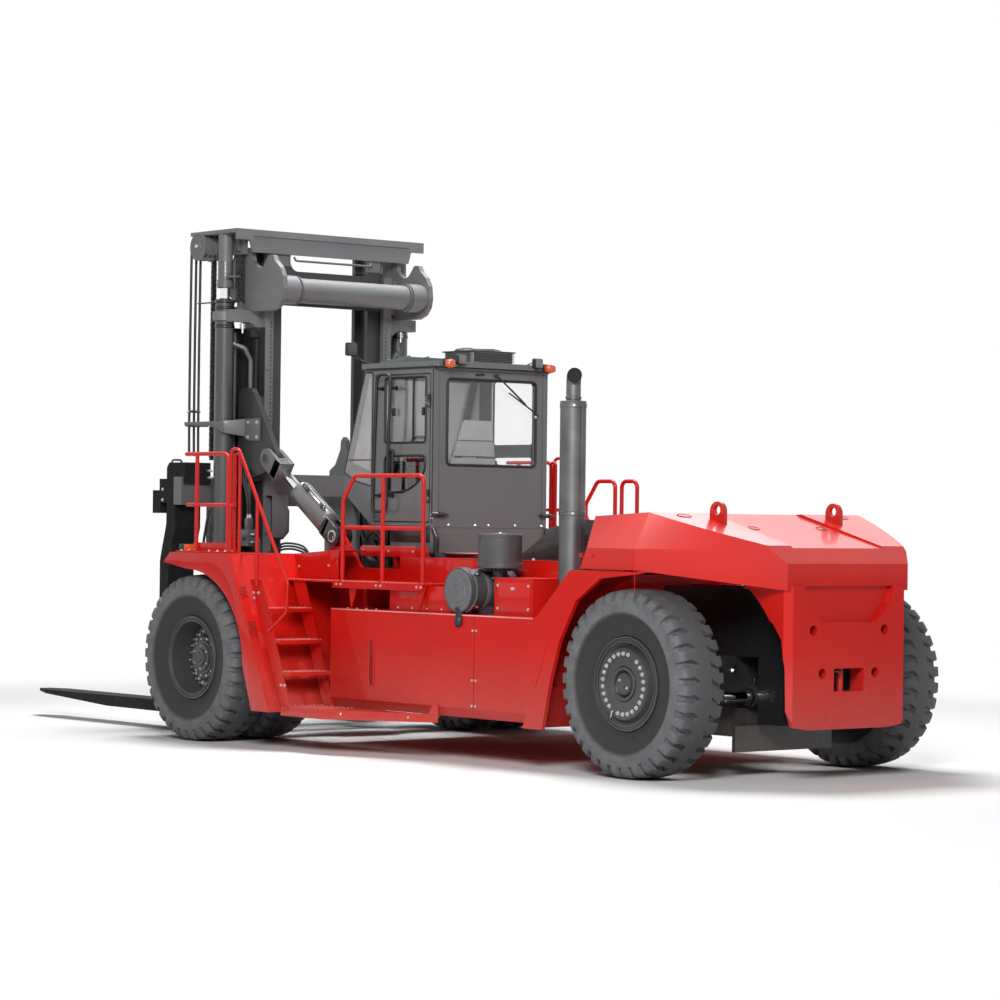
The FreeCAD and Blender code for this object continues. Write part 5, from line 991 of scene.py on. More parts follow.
def mast_fittings():
    """Hose guide arm, its clips and bolts, the plate under the tie, and the cable comb."""
    arm = Shape()
    arm.plate([(0.45, 1.013, 3.245), (0.45, 1.013, 3.015), (0.66, 1.013, 3.02), (0.72, 1.013, 3.05),
        (0.72, 1.013, 3.245)], (0, 0.018, 0), 0.003)
    arm.plate([(0.705, 1.018, 3.06), (0.82, 1.238, 3.10), (0.82, 1.238, 3.218),
        (0.705, 1.018, 3.245)], (0.012, -0.008, 0), 0.003)
    arm.plate([(0.80, 1.238, 3.218), (0.80, 1.238, 3.10), (0.90, 1.238, 3.14), (1.04, 1.238, 3.168),
        (1.50, 1.238, 3.188), (1.50, 1.238, 3.216)], (0, 0.014, 0), 0.003)
    arm.box((1.44, 0.985, 3.17), (1.50, 1.245, 3.20), 0.004)
    arm.mirrored().place("hose_guide_arms", "outer_mast", mast_enamel, "mast_grey")
    bolts = Shape()
    for x, z in ((0.49, 3.205), (0.655, 3.205), (0.49, 3.055), (0.655, 3.055)):
        bolts.bolt((x, 1.031, z), LEFT, 0.016)
    for z in (2.90, 3.30):
        bolts.bolt((0.80, 0.929, z), LEFT, 0.012)
    for x, z in ((0.98, 2.62), (0.98, 2.69)):
        bolts.box((x, 1.24, z), (x + 0.1, 1.25, z + 0.025), 0.003)
    for z in (3.165, 3.315):
        bolts.box((1.458, 1.075, z), (1.50, 1.22, z + 0.028), 0.004)
    bolts.mirrored().place("guide_arm_bolts", "outer_mast", zinc, "chrome")
    plate = Shape()
    plate.plate([(0.53, 0.795, 2.46), (0.53, 0.60, 2.46), (0.53, 0.60, 2.10), (0.53, 0.66, 2.02),
        (0.53, 0.795, 2.02)], (0.016, 0, 0))
    plate.plate([(0.655, 0.70, 2.0), (0.655, 0.58, 2.0), (0.655, 0.50, 2.08), (0.655, 0.50, 2.30),
        (0.655, 0.58, 2.45), (0.655, 0.70, 2.45)], (-0.016, 0, 0))
    for z in (0.62, 1.35, 2.05, 3.05, 3.75, 4.35):
        plate.box((0.648, 0.735, z), (0.661, 0.815, z + 0.035), 0.003)
    plate.mirrored().place("mast_side_plates", "outer_mast", mast_enamel, "mast_grey")
    comb = Shape()
    z = 2.48
    while z < 4.28:
        comb.box((0.640, 0.742, z), (0.661, 0.757, z + 0.022), 0.002)
        z += 0.044
    comb.mirrored().place("cable_comb", "outer_mast", mast_enamel, "mast_grey")
    seams = Shape()
    for y in (0.905, 0.735, -0.905, -0.735):
        seams.turned([(0, TUBE_R + 0.001), (0.004, TUBE_R + 0.010), (0.012, TUBE_R + 0.010),
            (0.016, TUBE_R + 0.001)], (TUBE_AT[0], y - 0.03, TUBE_AT[1]), LEFT, 48)
    for y in (0.700, -0.716):
        seams.turned([(0, TUBE_R), (0.002, TUBE_R + 0.022), (0.014, TUBE_R + 0.022),
            (0.016, TUBE_R)], (TUBE_AT[0], y, TUBE_AT[1]), LEFT, 48)
    seams.place("cross_tube_collars", "outer_mast", mast_enamel, "mast_grey")


mast_fittings()


def valve_and_hoses():
    """Lift valve beside the mast's foot with its steel fittings, and the looped hoses round it."""
    block = Shape()
    block.box((0.50, 1.03, 1.93), (0.66, 1.12, 2.10), 0.008)
    block.box((0.53, 1.04, 2.10), (0.60, 1.10, 2.22), 0.006)
    block.turned([(0, 0.03), (0.05, 0.03), (0.055, 0.022)], (0.565, 1.12, 2.02), LEFT, 20)
    block.mirrored().place("lift_valve", "outer_mast", cylinder_enamel, "mast_grey")
    fit = Shape()
    for x, z in ((0.66, 1.96), (0.66, 2.01), (0.66, 2.06), (0.50, 1.97), (0.50, 2.05)):
        way = 1 if x > 0.6 else -1
        fit.turned([(0, 0.017), (0.016, 0.017), (0.018, 0.013), (0.045, 0.013), (0.047, 0.017),
            (0.060, 0.017)], (x, 1.075, z), (way, 0, 0), 6)
    for x in (0.54, 0.58):
        fit.turned([(0, 0.015), (0.03, 0.015), (0.034, 0.010), (0.05, 0.010)], (x, 1.07, 2.22), UP,
            6)
    fit.mirrored().place("hose_fittings", "outer_mast", zinc, "chrome")
    hoses = Shape()
    for k, (x, z, drop) in enumerate(((0.71, 1.96, 1.74), (0.71, 2.01, 1.80), (0.71, 2.06, 1.86))):
        hoses.hose([(x, 1.075, z), (x + 0.06, 1.08, z + 0.01), (x + 0.115, 1.06, z - 0.06),
            (x + 0.09, 1.02, drop), (x - 0.06, 0.97 - 0.02 * k, drop - 0.04),
            (0.52, 0.93, drop - 0.02), (0.40, 0.90, drop + 0.02)], 0.0125)
    for k, z in enumerate((1.97, 2.05)):
        hoses.hose([(0.45, 1.075, z), (0.40, 1.08, z), (0.34, 1.09, z - 0.06),
            (0.33, 1.07, z - 0.20), (0.40, 1.02, 1.72), (0.48, 0.96, 1.70 - 0.03 * k)], 0.0125)
    for x in (0.54, 0.58):
        hoses.hose([(x, 1.07, 2.26), (x, 1.08, 2.42), (x + 0.05, 1.09, 2.60),
            (x + 0.13, 1.02, 2.72), (0.80, 0.95, 2.62), (0.80, 0.93, 2.40)], 0.014)
    for k in range(5):
        y = 0.83 + 0.055 * k
        hoses.hose([(1.125, y, 2.70), (1.13, y, 2.45), (1.15, y + 0.012, 2.15),
            (1.155, y + 0.02, 1.88), (1.13, y + 0.03, 1.70), (1.10, y + 0.02, 1.58)], 0.0145)
    hoses.hose([(1.12, 0.92, 1.95), (1.15, 1.10, 1.86), (1.12, 1.24, 1.92), (1.05, 1.27, 2.10),
        (1.02, 1.25, 2.30)], 0.014)
    hoses.mirrored().place("mast_foot_hoses", "outer_mast", hose_cover, "black_plastic")


valve_and_hoses()


def fork_fittings():
    """Bolted clamp faces on the forks and bolts along the carriage's bars."""
    for side, sign in SIDES:
        shape = Shape()
        for z in (2.41, 2.58):
            for y in (1.20, 1.35):
                shape.bolt((1.740, sign * y, z), FORE, 0.020)
        for z in (2.30, 2.46):
            shape.bolt((1.880, sign * 1.29, z), FORE, 0.016)
        for z in (2.32, 2.43):
            shape.bolt((1.66, sign * 1.40, z + 0.08), (0, sign, 0), 0.014)
        shape.place("fork_clamp_bolts_" + side, "fork_" + side, zinc, "chrome")
        shape = Shape()
        low, high = sorted((sign * 1.17, sign * 1.37))
        shape.box((1.735, low, 2.385), (1.752, high, 2.605), 0.005)
        shape.pipe([(1.60, sign * 1.33, 2.70), (1.60, sign * 1.33, 2.82), (1.60, sign * 1.21, 2.82),
            (1.60, sign * 1.21, 2.70)], 0.012, 0.03)
        shape.place("fork_clamp_" + side, "fork_" + side, mast_enamel, "mast_grey")
    bars = Shape()
    for y in (-0.9, -0.45, 0.0, 0.45, 0.9):
        for z in (0.86, 1.05):
            bars.bolt((1.29, y, z), AFT, 0.022)
        bars.bolt((1.29, y, 2.49), AFT, 0.022)
    bars.place("carriage_bar_bolts", "carriage", zinc, "chrome")
    rack = Shape()
    for y in (-1.36, 1.28):
        rack.box((1.31, y, 2.64), (1.41, y + 0.08, 2.70), 0.006)
    for k in range(9):
        y = -0.60 + 0.15 * k
        rack.box((1.436, y - 0.03, 2.36), (1.446, y + 0.03, 2.62), 0.004)
    rack.place("carriage_bar_stops", "carriage", mast_enamel, "mast_grey")


fork_fittings()


# ---- cab ---------------------------------------------------------------------------------
def rounded_loop(corners, bend, steps=5):
    """Closed path round a flat opening, with its corners rounded."""
    points = [Vector(c) for c in corners]
    path = []
    for i, here in enumerate(points):
        before, after = points[i - 1], points[(i + 1) % len(points)]
        size = bend[i] if isinstance(bend, (list, tuple)) else bend
        enter = here + (before - here).normalized() * size
        leave = here + (after - here).normalized() * size
        for k in range(steps + 1):
            t = k / steps
            path.append(enter.lerp(here, t).lerp(here.lerp(leave, t), t))
    return path


def seal(shape, corners, bend, radius=0.011):
    """Rubber section pressed round the edge of a window."""
    shape.sweep(rounded_loop(corners, bend), radius, 10, closed=True)


def side_loop(y, x0, x1, z0, z1):
    """Corners of an upright rectangle on a side of the truck."""
    return [(x0, y, z0), (x1, y, z0), (x1, y, z1), (x0, y, z1)]


SCREEN_LOW = Vector((-0.64, 0, 2.786))
SCREEN_HIGH = Vector((-0.93, 0, 3.70))
SCREEN_ALONG = (SCREEN_HIGH - SCREEN_LOW).normalized()
NOSE = Vector((-0.57, 0, 2.50))
NOSE_LOW = Vector((-1.05, 0, 2.166))
CAB_SIDE_Y = 0.72
CAB_REAR_X = -2.05
DOOR_X = (-1.91, -1.265)


def quarter_corners(y):
    """Corners of the window ahead of the door."""
    return [(-1.058, y, 2.555), (-0.80, y, 2.600), (-0.605, y, 2.690), (-0.642, y, 2.815),
        (-0.930, y, 3.685), (-1.058, y, 3.685)]


def cab_seals():
    """Rubber round the windows and the door, the quarter panes and the door's lower corner."""
    shape = Shape()
    seal(shape, [(CAB_REAR_X - 0.003, y, z) for y, z in ((-0.565, 2.765), (0.565, 2.765),
        (0.565, 3.605), (-0.565, 3.605))], 0.05, 0.014)
    low = SCREEN_LOW + SCREEN_ALONG * 0.036
    high = SCREEN_HIGH - SCREEN_ALONG * 0.056
    seal(shape, [(p.x + 0.002, y, p.z) for p, y in ((low, -0.63), (low, 0.63), (high, 0.63),
        (high, -0.63))], 0.03, 0.012)
    for sign in (1, -1):
        seal(shape, quarter_corners(sign * (CAB_SIDE_Y + 0.002)),
            (0.03, 0.05, 0.02, 0.01, 0.02, 0.02), 0.007)
        shape.pipe([(-1.055, sign * (CAB_SIDE_Y + 0.003), 2.815),
            (-0.648, sign * (CAB_SIDE_Y + 0.003), 2.815)], 0.005)
    for z0, z1, bend in ((2.985, 3.645, 0.045), (2.475, 2.875, 0.07)):
        seal(shape, side_loop(-CAB_SIDE_Y - 0.002, -1.880, -1.205, z0, z1), bend)
    shape.pipe([(CAB_REAR_X + 0.025, 0.7215, 2.19), (CAB_REAR_X + 0.025, 0.7215, 3.70)], 0.006)
    shape.pipe([(-2.10, 0.742, 3.7175), (-0.98, 0.742, 3.7175)], 0.009)
    shape.pipe([(-2.10, -0.742, 3.7175), (-0.98, -0.742, 3.7175)], 0.009)
    shape.place("cab_window_seals", "chassis", gasket, "black_plastic")
    shape = Shape()
    shape.plate(quarter_corners(CAB_SIDE_Y + 0.0005), (0, 0.003, 0), 0.0)
    shape.mirrored().place("quarter_panes", "chassis", painted_light_quarter_pane, "clear_glass")
    shape = Shape()
    y = CAB_SIDE_Y + 0.002
    seal(shape, side_loop(y, DOOR_X[0] - 0.003, DOOR_X[1] + 0.003, 2.982, 3.623), 0.035)
    seal(shape, [(DOOR_X[1] + 0.003, y, 2.853), (DOOR_X[0] - 0.003, y, 2.853),
        (DOOR_X[0] - 0.003, y, 2.72), (-1.80, y, 2.588), (-1.62, y, 2.508),
        (DOOR_X[1] + 0.003, y, 2.478)], (0.06, 0.06, 0.05, 0.06, 0.05, 0.06))
    edge = [(-1.102, y - 0.004, 2.205), (-1.102, y - 0.004, 3.652), (-1.983, y - 0.004, 3.652),
        (-1.983, y - 0.004, 2.205)]
    seal(shape, edge, 0.02, 0.006)
    shape.box((-1.706, 0.700, 2.99), (-1.690, 0.716, 3.615), 0.003)
    for x in (-1.40, -1.880):
        shape.box((x - 0.022, 0.712, 3.245), (x + 0.012, 0.742, 3.325), 0.008)
    shape.place("door_seals", "cab_door", gasket, "black_plastic")
    shape = Shape()
    shape.plate([(DOOR_X[0], 0.700, 2.48), (-1.55, 0.700, 2.48), (-1.64, 0.700, 2.512),
        (-1.80, 0.700, 2.585), (-1.885, 0.700, 2.69), (DOOR_X[0], 0.700, 2.74)], (0, 0.0195, 0),
        0.0)
    shape.place("door_window_corner", "cab_door", cab_enamel, "cab_grey")


cab_seals()


def door_fittings():
    """Long grab loop, recessed latch handle, hinge knuckles and the hold-open catch."""
    shape = Shape()
    y = 0.80
    shape.sweep(rounded_loop([(-1.225, y, 3.655), (-1.445, y, 3.655), (-1.393, y, 2.300),
        (-1.170, y, 2.300)], 0.085, 8), 0.0165, 14, closed=True)
    for x, z in ((-1.218, 3.52), (-1.440, 3.52), (-1.190, 2.46), (-1.400, 2.46)):
        shape.pipe([(x, 0.718, z), (x, y, z)], 0.013)
        shape.turned([(0, 0.026), (0.006, 0.024)], (x, 0.719, z), LEFT, 20)
    shape.sweep(rounded_loop([(-1.352, 0.735, 2.905), (-1.408, 0.735, 2.905),
        (-1.408, 0.735, 2.660), (-1.352, 0.735, 2.660)], 0.027, 6), 0.014, 12, closed=True)
    shape.box((-1.402, 0.716, 2.665), (-1.358, 0.728, 2.90), 0.004)
    shape.box((-1.392, 0.728, 2.72), (-1.368, 0.752, 2.87), 0.008)
    shape.turned([(0, 0.022), (0.012, 0.020), (0.014, 0.012)], (-1.90, 0.718, 2.295), LEFT, 20)
    shape.place("door_grab_loop", "cab_door", gasket, "black_plastic")
    shape = Shape()
    for z in (2.395, 3.325):
        shape.turned([(-0.006, 0.010), (0, 0.0155), (0.055, 0.0155), (0.057, 0.0142),
            (0.063, 0.0142), (0.065, 0.0155), (0.12, 0.0155), (0.126, 0.010)], (-1.975, 0.734, z),
            UP, 20)
        for k in (0.02, 0.06, 0.09):
            shape.bolt((-1.932, 0.7345, z + k), LEFT, 0.007)
    shape.place("door_hinge_knuckles", "cab_door", black_gloss, "black_paint")
    shape = Shape()
    for z in (2.275, 2.24):
        for x in (-2.012, -2.035):
            shape.bolt((x, 0.7205, z), LEFT, 0.008)
    shape.box((-2.085, 0.69, 2.262), (-2.05, 0.735, 2.300), 0.004)
    shape.place("door_catch_plate", "chassis", zinc, "chrome")
    shape = Shape()
    for y0 in (0.735, -0.640):
        shape.turned([(0, 0.010), (0.03, 0.011), (0.05, 0.020), (0.10, 0.023), (0.125, 0.016),
            (0.150, 0.010), (0.17, 0.006)], (-2.088, y0, 2.277), (0, -1, 0), 20)
        shape.box((-2.10, y0 - 0.012, 2.262), (-2.05, y0 + 0.012, 2.292), 0.003)
    shape.place("door_stop_knobs", "chassis", black_abs, "black_plastic")


door_fittings()


def cab_back_fittings():
    """Rear wiper and its motor cover, handle slot, latch, bolts and the seam above the skirt."""
    x = CAB_REAR_X
    shape = Shape()
    shape.turned([(0, 0.020), (0.012, 0.018), (0.016, 0.010), (0.022, 0.010), (0.022, 0)],
        (x, -0.045, 3.652), AFT, 20)
    shape.box((x - 0.030, -0.060, 3.635), (x - 0.018, -0.030, 3.670), 0.003)
    shape.hose([(x - 0.024, -0.045, 3.655), (x - 0.034, -0.12, 3.595), (x - 0.034, -0.26, 3.495),
        (x - 0.028, -0.412, 3.386)], 0.006, 8)
    shape.hose([(x - 0.024, -0.055, 3.64), (x - 0.030, -0.30, 3.455), (x - 0.030, -0.40, 3.378)],
        0.004, 8)
    shape.hose([(x - 0.020, -0.205, 3.490), (x - 0.023, -0.40, 3.384), (x - 0.020, -0.592, 3.275)],
        0.007, 8)
    shape.plate([(x - 0.008, -0.205, 3.494), (x - 0.020, -0.205, 3.494), (x - 0.020, -0.592, 3.279),
        (x - 0.008, -0.592, 3.279)], (0, 0.003, -0.006), 0.0)
    shape.sweep(rounded_loop([(x - 0.002, 0.215, 3.648), (x - 0.002, 0.105, 3.652),
        (x - 0.002, 0.105, 3.664), (x - 0.002, 0.215, 3.660)], 0.005, 3), 0.006, 8, closed=True)
    shape.box((x - 0.004, 0.110, 3.649), (x + 0.001, 0.210, 3.662), 0.001)
    shape.place("rear_wiper", "chassis", black_abs, "black_plastic")
    shape = Shape()
    for y in (0.53, 0.193, 0.024, -0.316, -0.661):
        shape.bolt((x, y, 2.178), AFT, 0.011)
    shape.box((x - 0.012, -0.125, 3.735), (x, -0.033, 3.752), 0.004)
    shape.turned([(0, 0.014), (0.014, 0.013), (0.016, 0.008)], (x, -0.05, 3.725), AFT, 16)
    shape.turned([(0, 0.014), (0.012, 0.013), (0.014, 0.008)], (x - 0.018, -0.545, 3.262), AFT, 16)
    shape.place("cab_back_bolts", "chassis", zinc, "chrome")
    shape = Shape()
    shape.box((x - 0.006, -0.719, 2.150), (x, 0.719, 2.158), 0.002)
    shape.box((x - 0.007, 0.655, 2.16), (x - 0.001, 0.663, 3.70), 0.002)
    shape.box((x - 0.007, -0.663, 2.16), (x - 0.001, -0.655, 3.70), 0.002)
    shape.box((x - 0.05, -0.70, 3.695), (x, 0.70, 3.712), 0.004)
    shape.place("cab_back_seams", "chassis", cab_enamel, "cab_grey")


cab_back_fittings()


def roof_fittings():
    """Marker and work lamps, mirrors, the louvred cooler box with two fans, and roof bars."""
    x = CAB_REAR_X - 0.09
    lens = Shape()
    lens.turned([(0, 0.040), (0.020, 0.043), (0.048, 0.042), (0.056, 0.034), (0.058, 0.015),
        (0.058, 0)], (x - 0.012, 0.638, 3.747), AFT, 28)
    lens.box((x - 0.060, 0.585, 3.712), (x - 0.014, 0.690, 3.784), 0.016)
    piece = lens.mirrored().place("marker_lamp_lenses", "chassis", amber, "lamp_amber")
    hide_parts("cab_lamps")
    case = Shape()
    case.box((x - 0.016, 0.575, 3.705), (x + 0.004, 0.700, 3.790), 0.006)
    case.box((x - 0.044, 0.438, 3.742), (x + 0.010, 0.542, 3.842), 0.014)
    case.pipe([(x - 0.005, 0.49, 3.745), (x - 0.005, 0.49, 3.715)], 0.010)
    case.box((x - 0.026, 0.452, 3.712), (x + 0.020, 0.528, 3.722), 0.003)
    case.pipe([(x + 0.01, 0.50, 3.80), (x + 0.05, 0.48, 3.80), (x + 0.08, 0.44, 3.78)], 0.007)
    case.mirrored().place("work_lamp_cases", "chassis", black_abs, "black_plastic")
    glass = Shape()
    glass.box((x - 0.056, 0.446, 3.750), (x - 0.042, 0.534, 3.834), 0.006)
    glass.mirrored().place("work_lamp_glasses", "chassis", clear_lens, "clear_glass")
    mirror = Shape()
    mirror.box((-0.952, 0.838, 3.848), (-0.902, 0.966, 3.982), 0.018)
    mirror.pipe([(-0.925, 0.872, 3.852), (-0.930, 0.850, 3.825), (-0.945, 0.700, 3.785),
        (-0.960, 0.60, 3.750)], 0.009)
    mirror.pipe([(-0.930, 0.862, 3.875), (-0.945, 0.74, 3.77), (-0.96, 0.68, 3.752)], 0.006)
    mirror.mirrored().place("mirror_housings", "chassis", black_abs, "black_plastic")
    face = Shape()
    face.box((-0.9565, 0.848, 3.858), (-0.951, 0.956, 3.972), 0.006)
    face.mirrored().place("mirror_faces", "chassis", mirror_back, "chrome")
    cooler = Shape()
    for k in range(6):
        z = 3.792 + 0.016 * k
        cooler.box((-2.082, -0.255, z), (-2.070, 0.255, z + 0.007), 0.002)
        cooler.box((-2.03, 0.268, z), (-1.64, 0.278, z + 0.007), 0.002)
        cooler.box((-2.03, -0.278, z), (-1.64, -0.268, z + 0.007), 0.002)
    for y in (0.150, -0.150):
        cooler.turned([(0, 0.128), (0.012, 0.125), (0.026, 0.10), (0.036, 0.05), (0.038, 0.0)],
            (-1.83, y, 3.893), UP, 36)
        for r in (0.05, 0.08, 0.11):
            cooler.turned([(0.0, r - 0.003), (0.006, r), (0.0, r + 0.003)],
                (-1.83, y, 3.929 - 0.21 * (r - 0.03)), UP, 32, closed=True)
    cooler.box((-2.075, -0.28, 3.885), (-1.595, 0.28, 3.898), 0.005)
    cooler.place("roof_cooler_grilles", "chassis", black_abs, "black_plastic")
    bars = Shape()
    for k in range(6):
        y = -0.60 + 0.24 * k
        bars.pipe([(-0.915, y, 3.770), (-1.49, y, 3.842)], 0.009)
    bars.pipe([(-0.905, -0.66, 3.768), (-0.905, 0.66, 3.768)], 0.012)
    bars.pipe([(-1.20, -0.66, 3.806), (-1.20, 0.66, 3.806)], 0.009)
    for x0 in (-1.0, -1.25, -1.50, -1.75, -2.0):
        for sign in (1, -1):
            bars.bolt((x0, sign * 0.745, 3.748), (0, sign, 0), 0.010)
    bars.box((-2.135, -0.742, 3.728), (-0.905, 0.742, 3.734), 0.002)
    bars.place("roof_guard_bars", "chassis", cab_enamel, "cab_grey")


roof_fittings()


def cab_front_fittings():
    """Front wiper, nose bolts, the hoses below the nose and the driver's floor box trim."""
    shape = Shape()
    root = SCREEN_LOW + SCREEN_ALONG * 0.02
    tip = SCREEN_LOW + SCREEN_ALONG * 0.52
    shape.turned([(0, 0.022), (0.018, 0.020), (0.024, 0.010)], (root.x, 0.18, root.z),
        (0.95, 0, 0.3), 20)
    shape.hose([(root.x + 0.02, 0.18, root.z), (root.x + 0.02, 0.10, root.z + 0.20),
        (tip.x + 0.022, -0.06, tip.z - 0.02)], 0.007, 8)
    shape.hose([(root.x + 0.006, 0.02, root.z + 0.13), (tip.x + 0.016, -0.12, tip.z + 0.18)], 0.008,
        8)
    shape.place("front_wiper", "chassis", black_abs, "black_plastic")
    bolts = Shape()
    for k in range(5):
        y = -0.54 + 0.27 * k
        p = NOSE_LOW.lerp(NOSE, 0.12)
        bolts.bolt((p.x + 0.003, y, p.z - 0.003), (0.57, 0, -0.82), 0.011)
    bolts.mirrored().place("cab_nose_bolts", "chassis", zinc, "chrome")
    hoses = Shape()
    for k in range(4):
        y = 0.62 - 0.10 * k
        hoses.hose([(-0.62 - 0.02 * k, y, 2.40), (-0.72, y, 2.16 - 0.03 * k),
            (-0.86, y + 0.02, 1.98), (-1.00, y + 0.03, 1.90 - 0.02 * k), (-1.16, y, 1.86)], 0.014)
    hoses.hose([(-0.95, 0.74, 1.80), (-0.98, 0.73, 2.02), (-1.08, 0.70, 2.10), (-1.20, 0.68, 2.00),
        (-1.24, 0.66, 1.82)], 0.016)
    for k in range(3):
        hoses.hose([(-1.00 - 0.03 * k, 0.78, 1.90), (-1.25, 0.80 + 0.03 * k, 1.80),
            (-1.50, 0.82, 1.74), (-1.80, 0.80, 1.72 + 0.03 * k), (-1.96, 0.78, 1.76)], 0.016)
    hoses.place("nose_hoses", "chassis", hose_cover, "black_plastic")
    trim = Shape()
    trim.plate([(-0.638, 0.700, 2.457), (-1.02, 0.700, 2.187), (-1.035, 0.700, 2.21),
        (-0.65, 0.700, 2.482)], (0, 0.022, 0), 0.002)
    trim.place("nose_strap", "chassis", cab_enamel, "cab_grey")
    post = Shape()
    post.sweep(rounded_path([(-2.075, 0.705, 1.895), (-2.085, 0.705, 2.05), (-2.05, 0.72, 2.145)],
        0.08), 0.026, 14)
    post.box((-2.13, 0.655, 1.745), (-2.04, 0.755, 1.90), 0.008)
    post.box((-1.99, 0.61, 2.00), (-1.28, 0.665, 2.15), 0.006)
    post.box((-1.30, 0.57, 1.90), (-1.10, 0.66, 2.155), 0.008)
    post.mirrored().place("cab_mount_posts", "chassis", black_gloss, "black_paint")


cab_front_fittings()


# ---- driver's place ------------------------------------------------------------------------
def soft_form(rings):
    """Closed form over rings of points, capped at both ends."""
    shape = Shape()
    shape.grid(rings, closed_columns=True)
    verts = shape.bm.verts[:]
    count = len(rings[0])
    shape.bm.faces.new(verts[:count])
    shape.bm.faces.new(verts[-count:])
    bmesh.ops.recalc_face_normals(shape.bm, faces=shape.bm.faces[:])
    return shape


def cushion_rings(origin, along, across, out, long_, wide, thick, taper=1.0, pull=0.02, steps=12):
    """Rings for a crowned pad: sides pulled in between its corners, thicker in the middle."""
    rings = []
    for i in range(steps + 1):
        t = i / steps
        swell = math.sin(math.pi * min(max(t, 0.04), 0.96)) ** 0.4
        half = wide / 2 * (1 + (taper - 1) * t) - pull * math.sin(math.pi * t)
        ring = []
        for k in range(24):
            a = 2 * math.pi * k / 24
            c, s = math.cos(a), math.sin(a)
            u = abs(c) ** 0.5 * (1 if c > 0 else -1)
            v = abs(s) ** 0.6 * (1 if s > 0 else -1)
            ring.append(origin + along * (long_ * t) + across * (half * u)
                        + out * (thick / 2 * v * swell))
        rings.append(ring)
    return rings


def inflate(piece, cap):
    """Cloth pressure on a remeshed copy, no point moving past the cap, then a subdivision."""
    scene = bpy.context.scene
    mod = piece.modifiers.new("remesh", "REMESH")
    mod.mode = "VOXEL"
    mod.voxel_size = 0.008
    bpy.context.view_layer.update()
    depsgraph = bpy.context.evaluated_depsgraph_get()
    mesh = bpy.data.meshes.new_from_object(piece.evaluated_get(depsgraph))
    piece.modifiers.clear()
    mesh.materials.clear()
    old = piece.data
    mesh.materials.append(old.materials[0])
    piece.data = mesh
    rest = [v.co.copy() for v in mesh.vertices]
    cloth = piece.modifiers.new("cloth", "CLOTH")
    cloth.settings.use_pressure = True
    cloth.settings.uniform_pressure_force = 4.0
    cloth.settings.effector_weights.gravity = 0.0
    cloth.settings.quality = 5
    for step in range(1, 21):
        scene.frame_set(step)
    depsgraph = bpy.context.evaluated_depsgraph_get()
    puffed = bpy.data.meshes.new_from_object(piece.evaluated_get(depsgraph))
    piece.modifiers.clear()
    for vert, home, moved in zip(mesh.vertices, rest, puffed.vertices):
        step = moved.co - home
        if step.length > cap:
            step = step.normalized() * cap
        vert.co = home + step
    scene.frame_set(1)
    subdiv = piece.modifiers.new("subdivision", "SUBSURF")
    subdiv.levels = subdiv.render_levels = 1


FLOOR_Z = 2.216
SEAT_X = -1.67


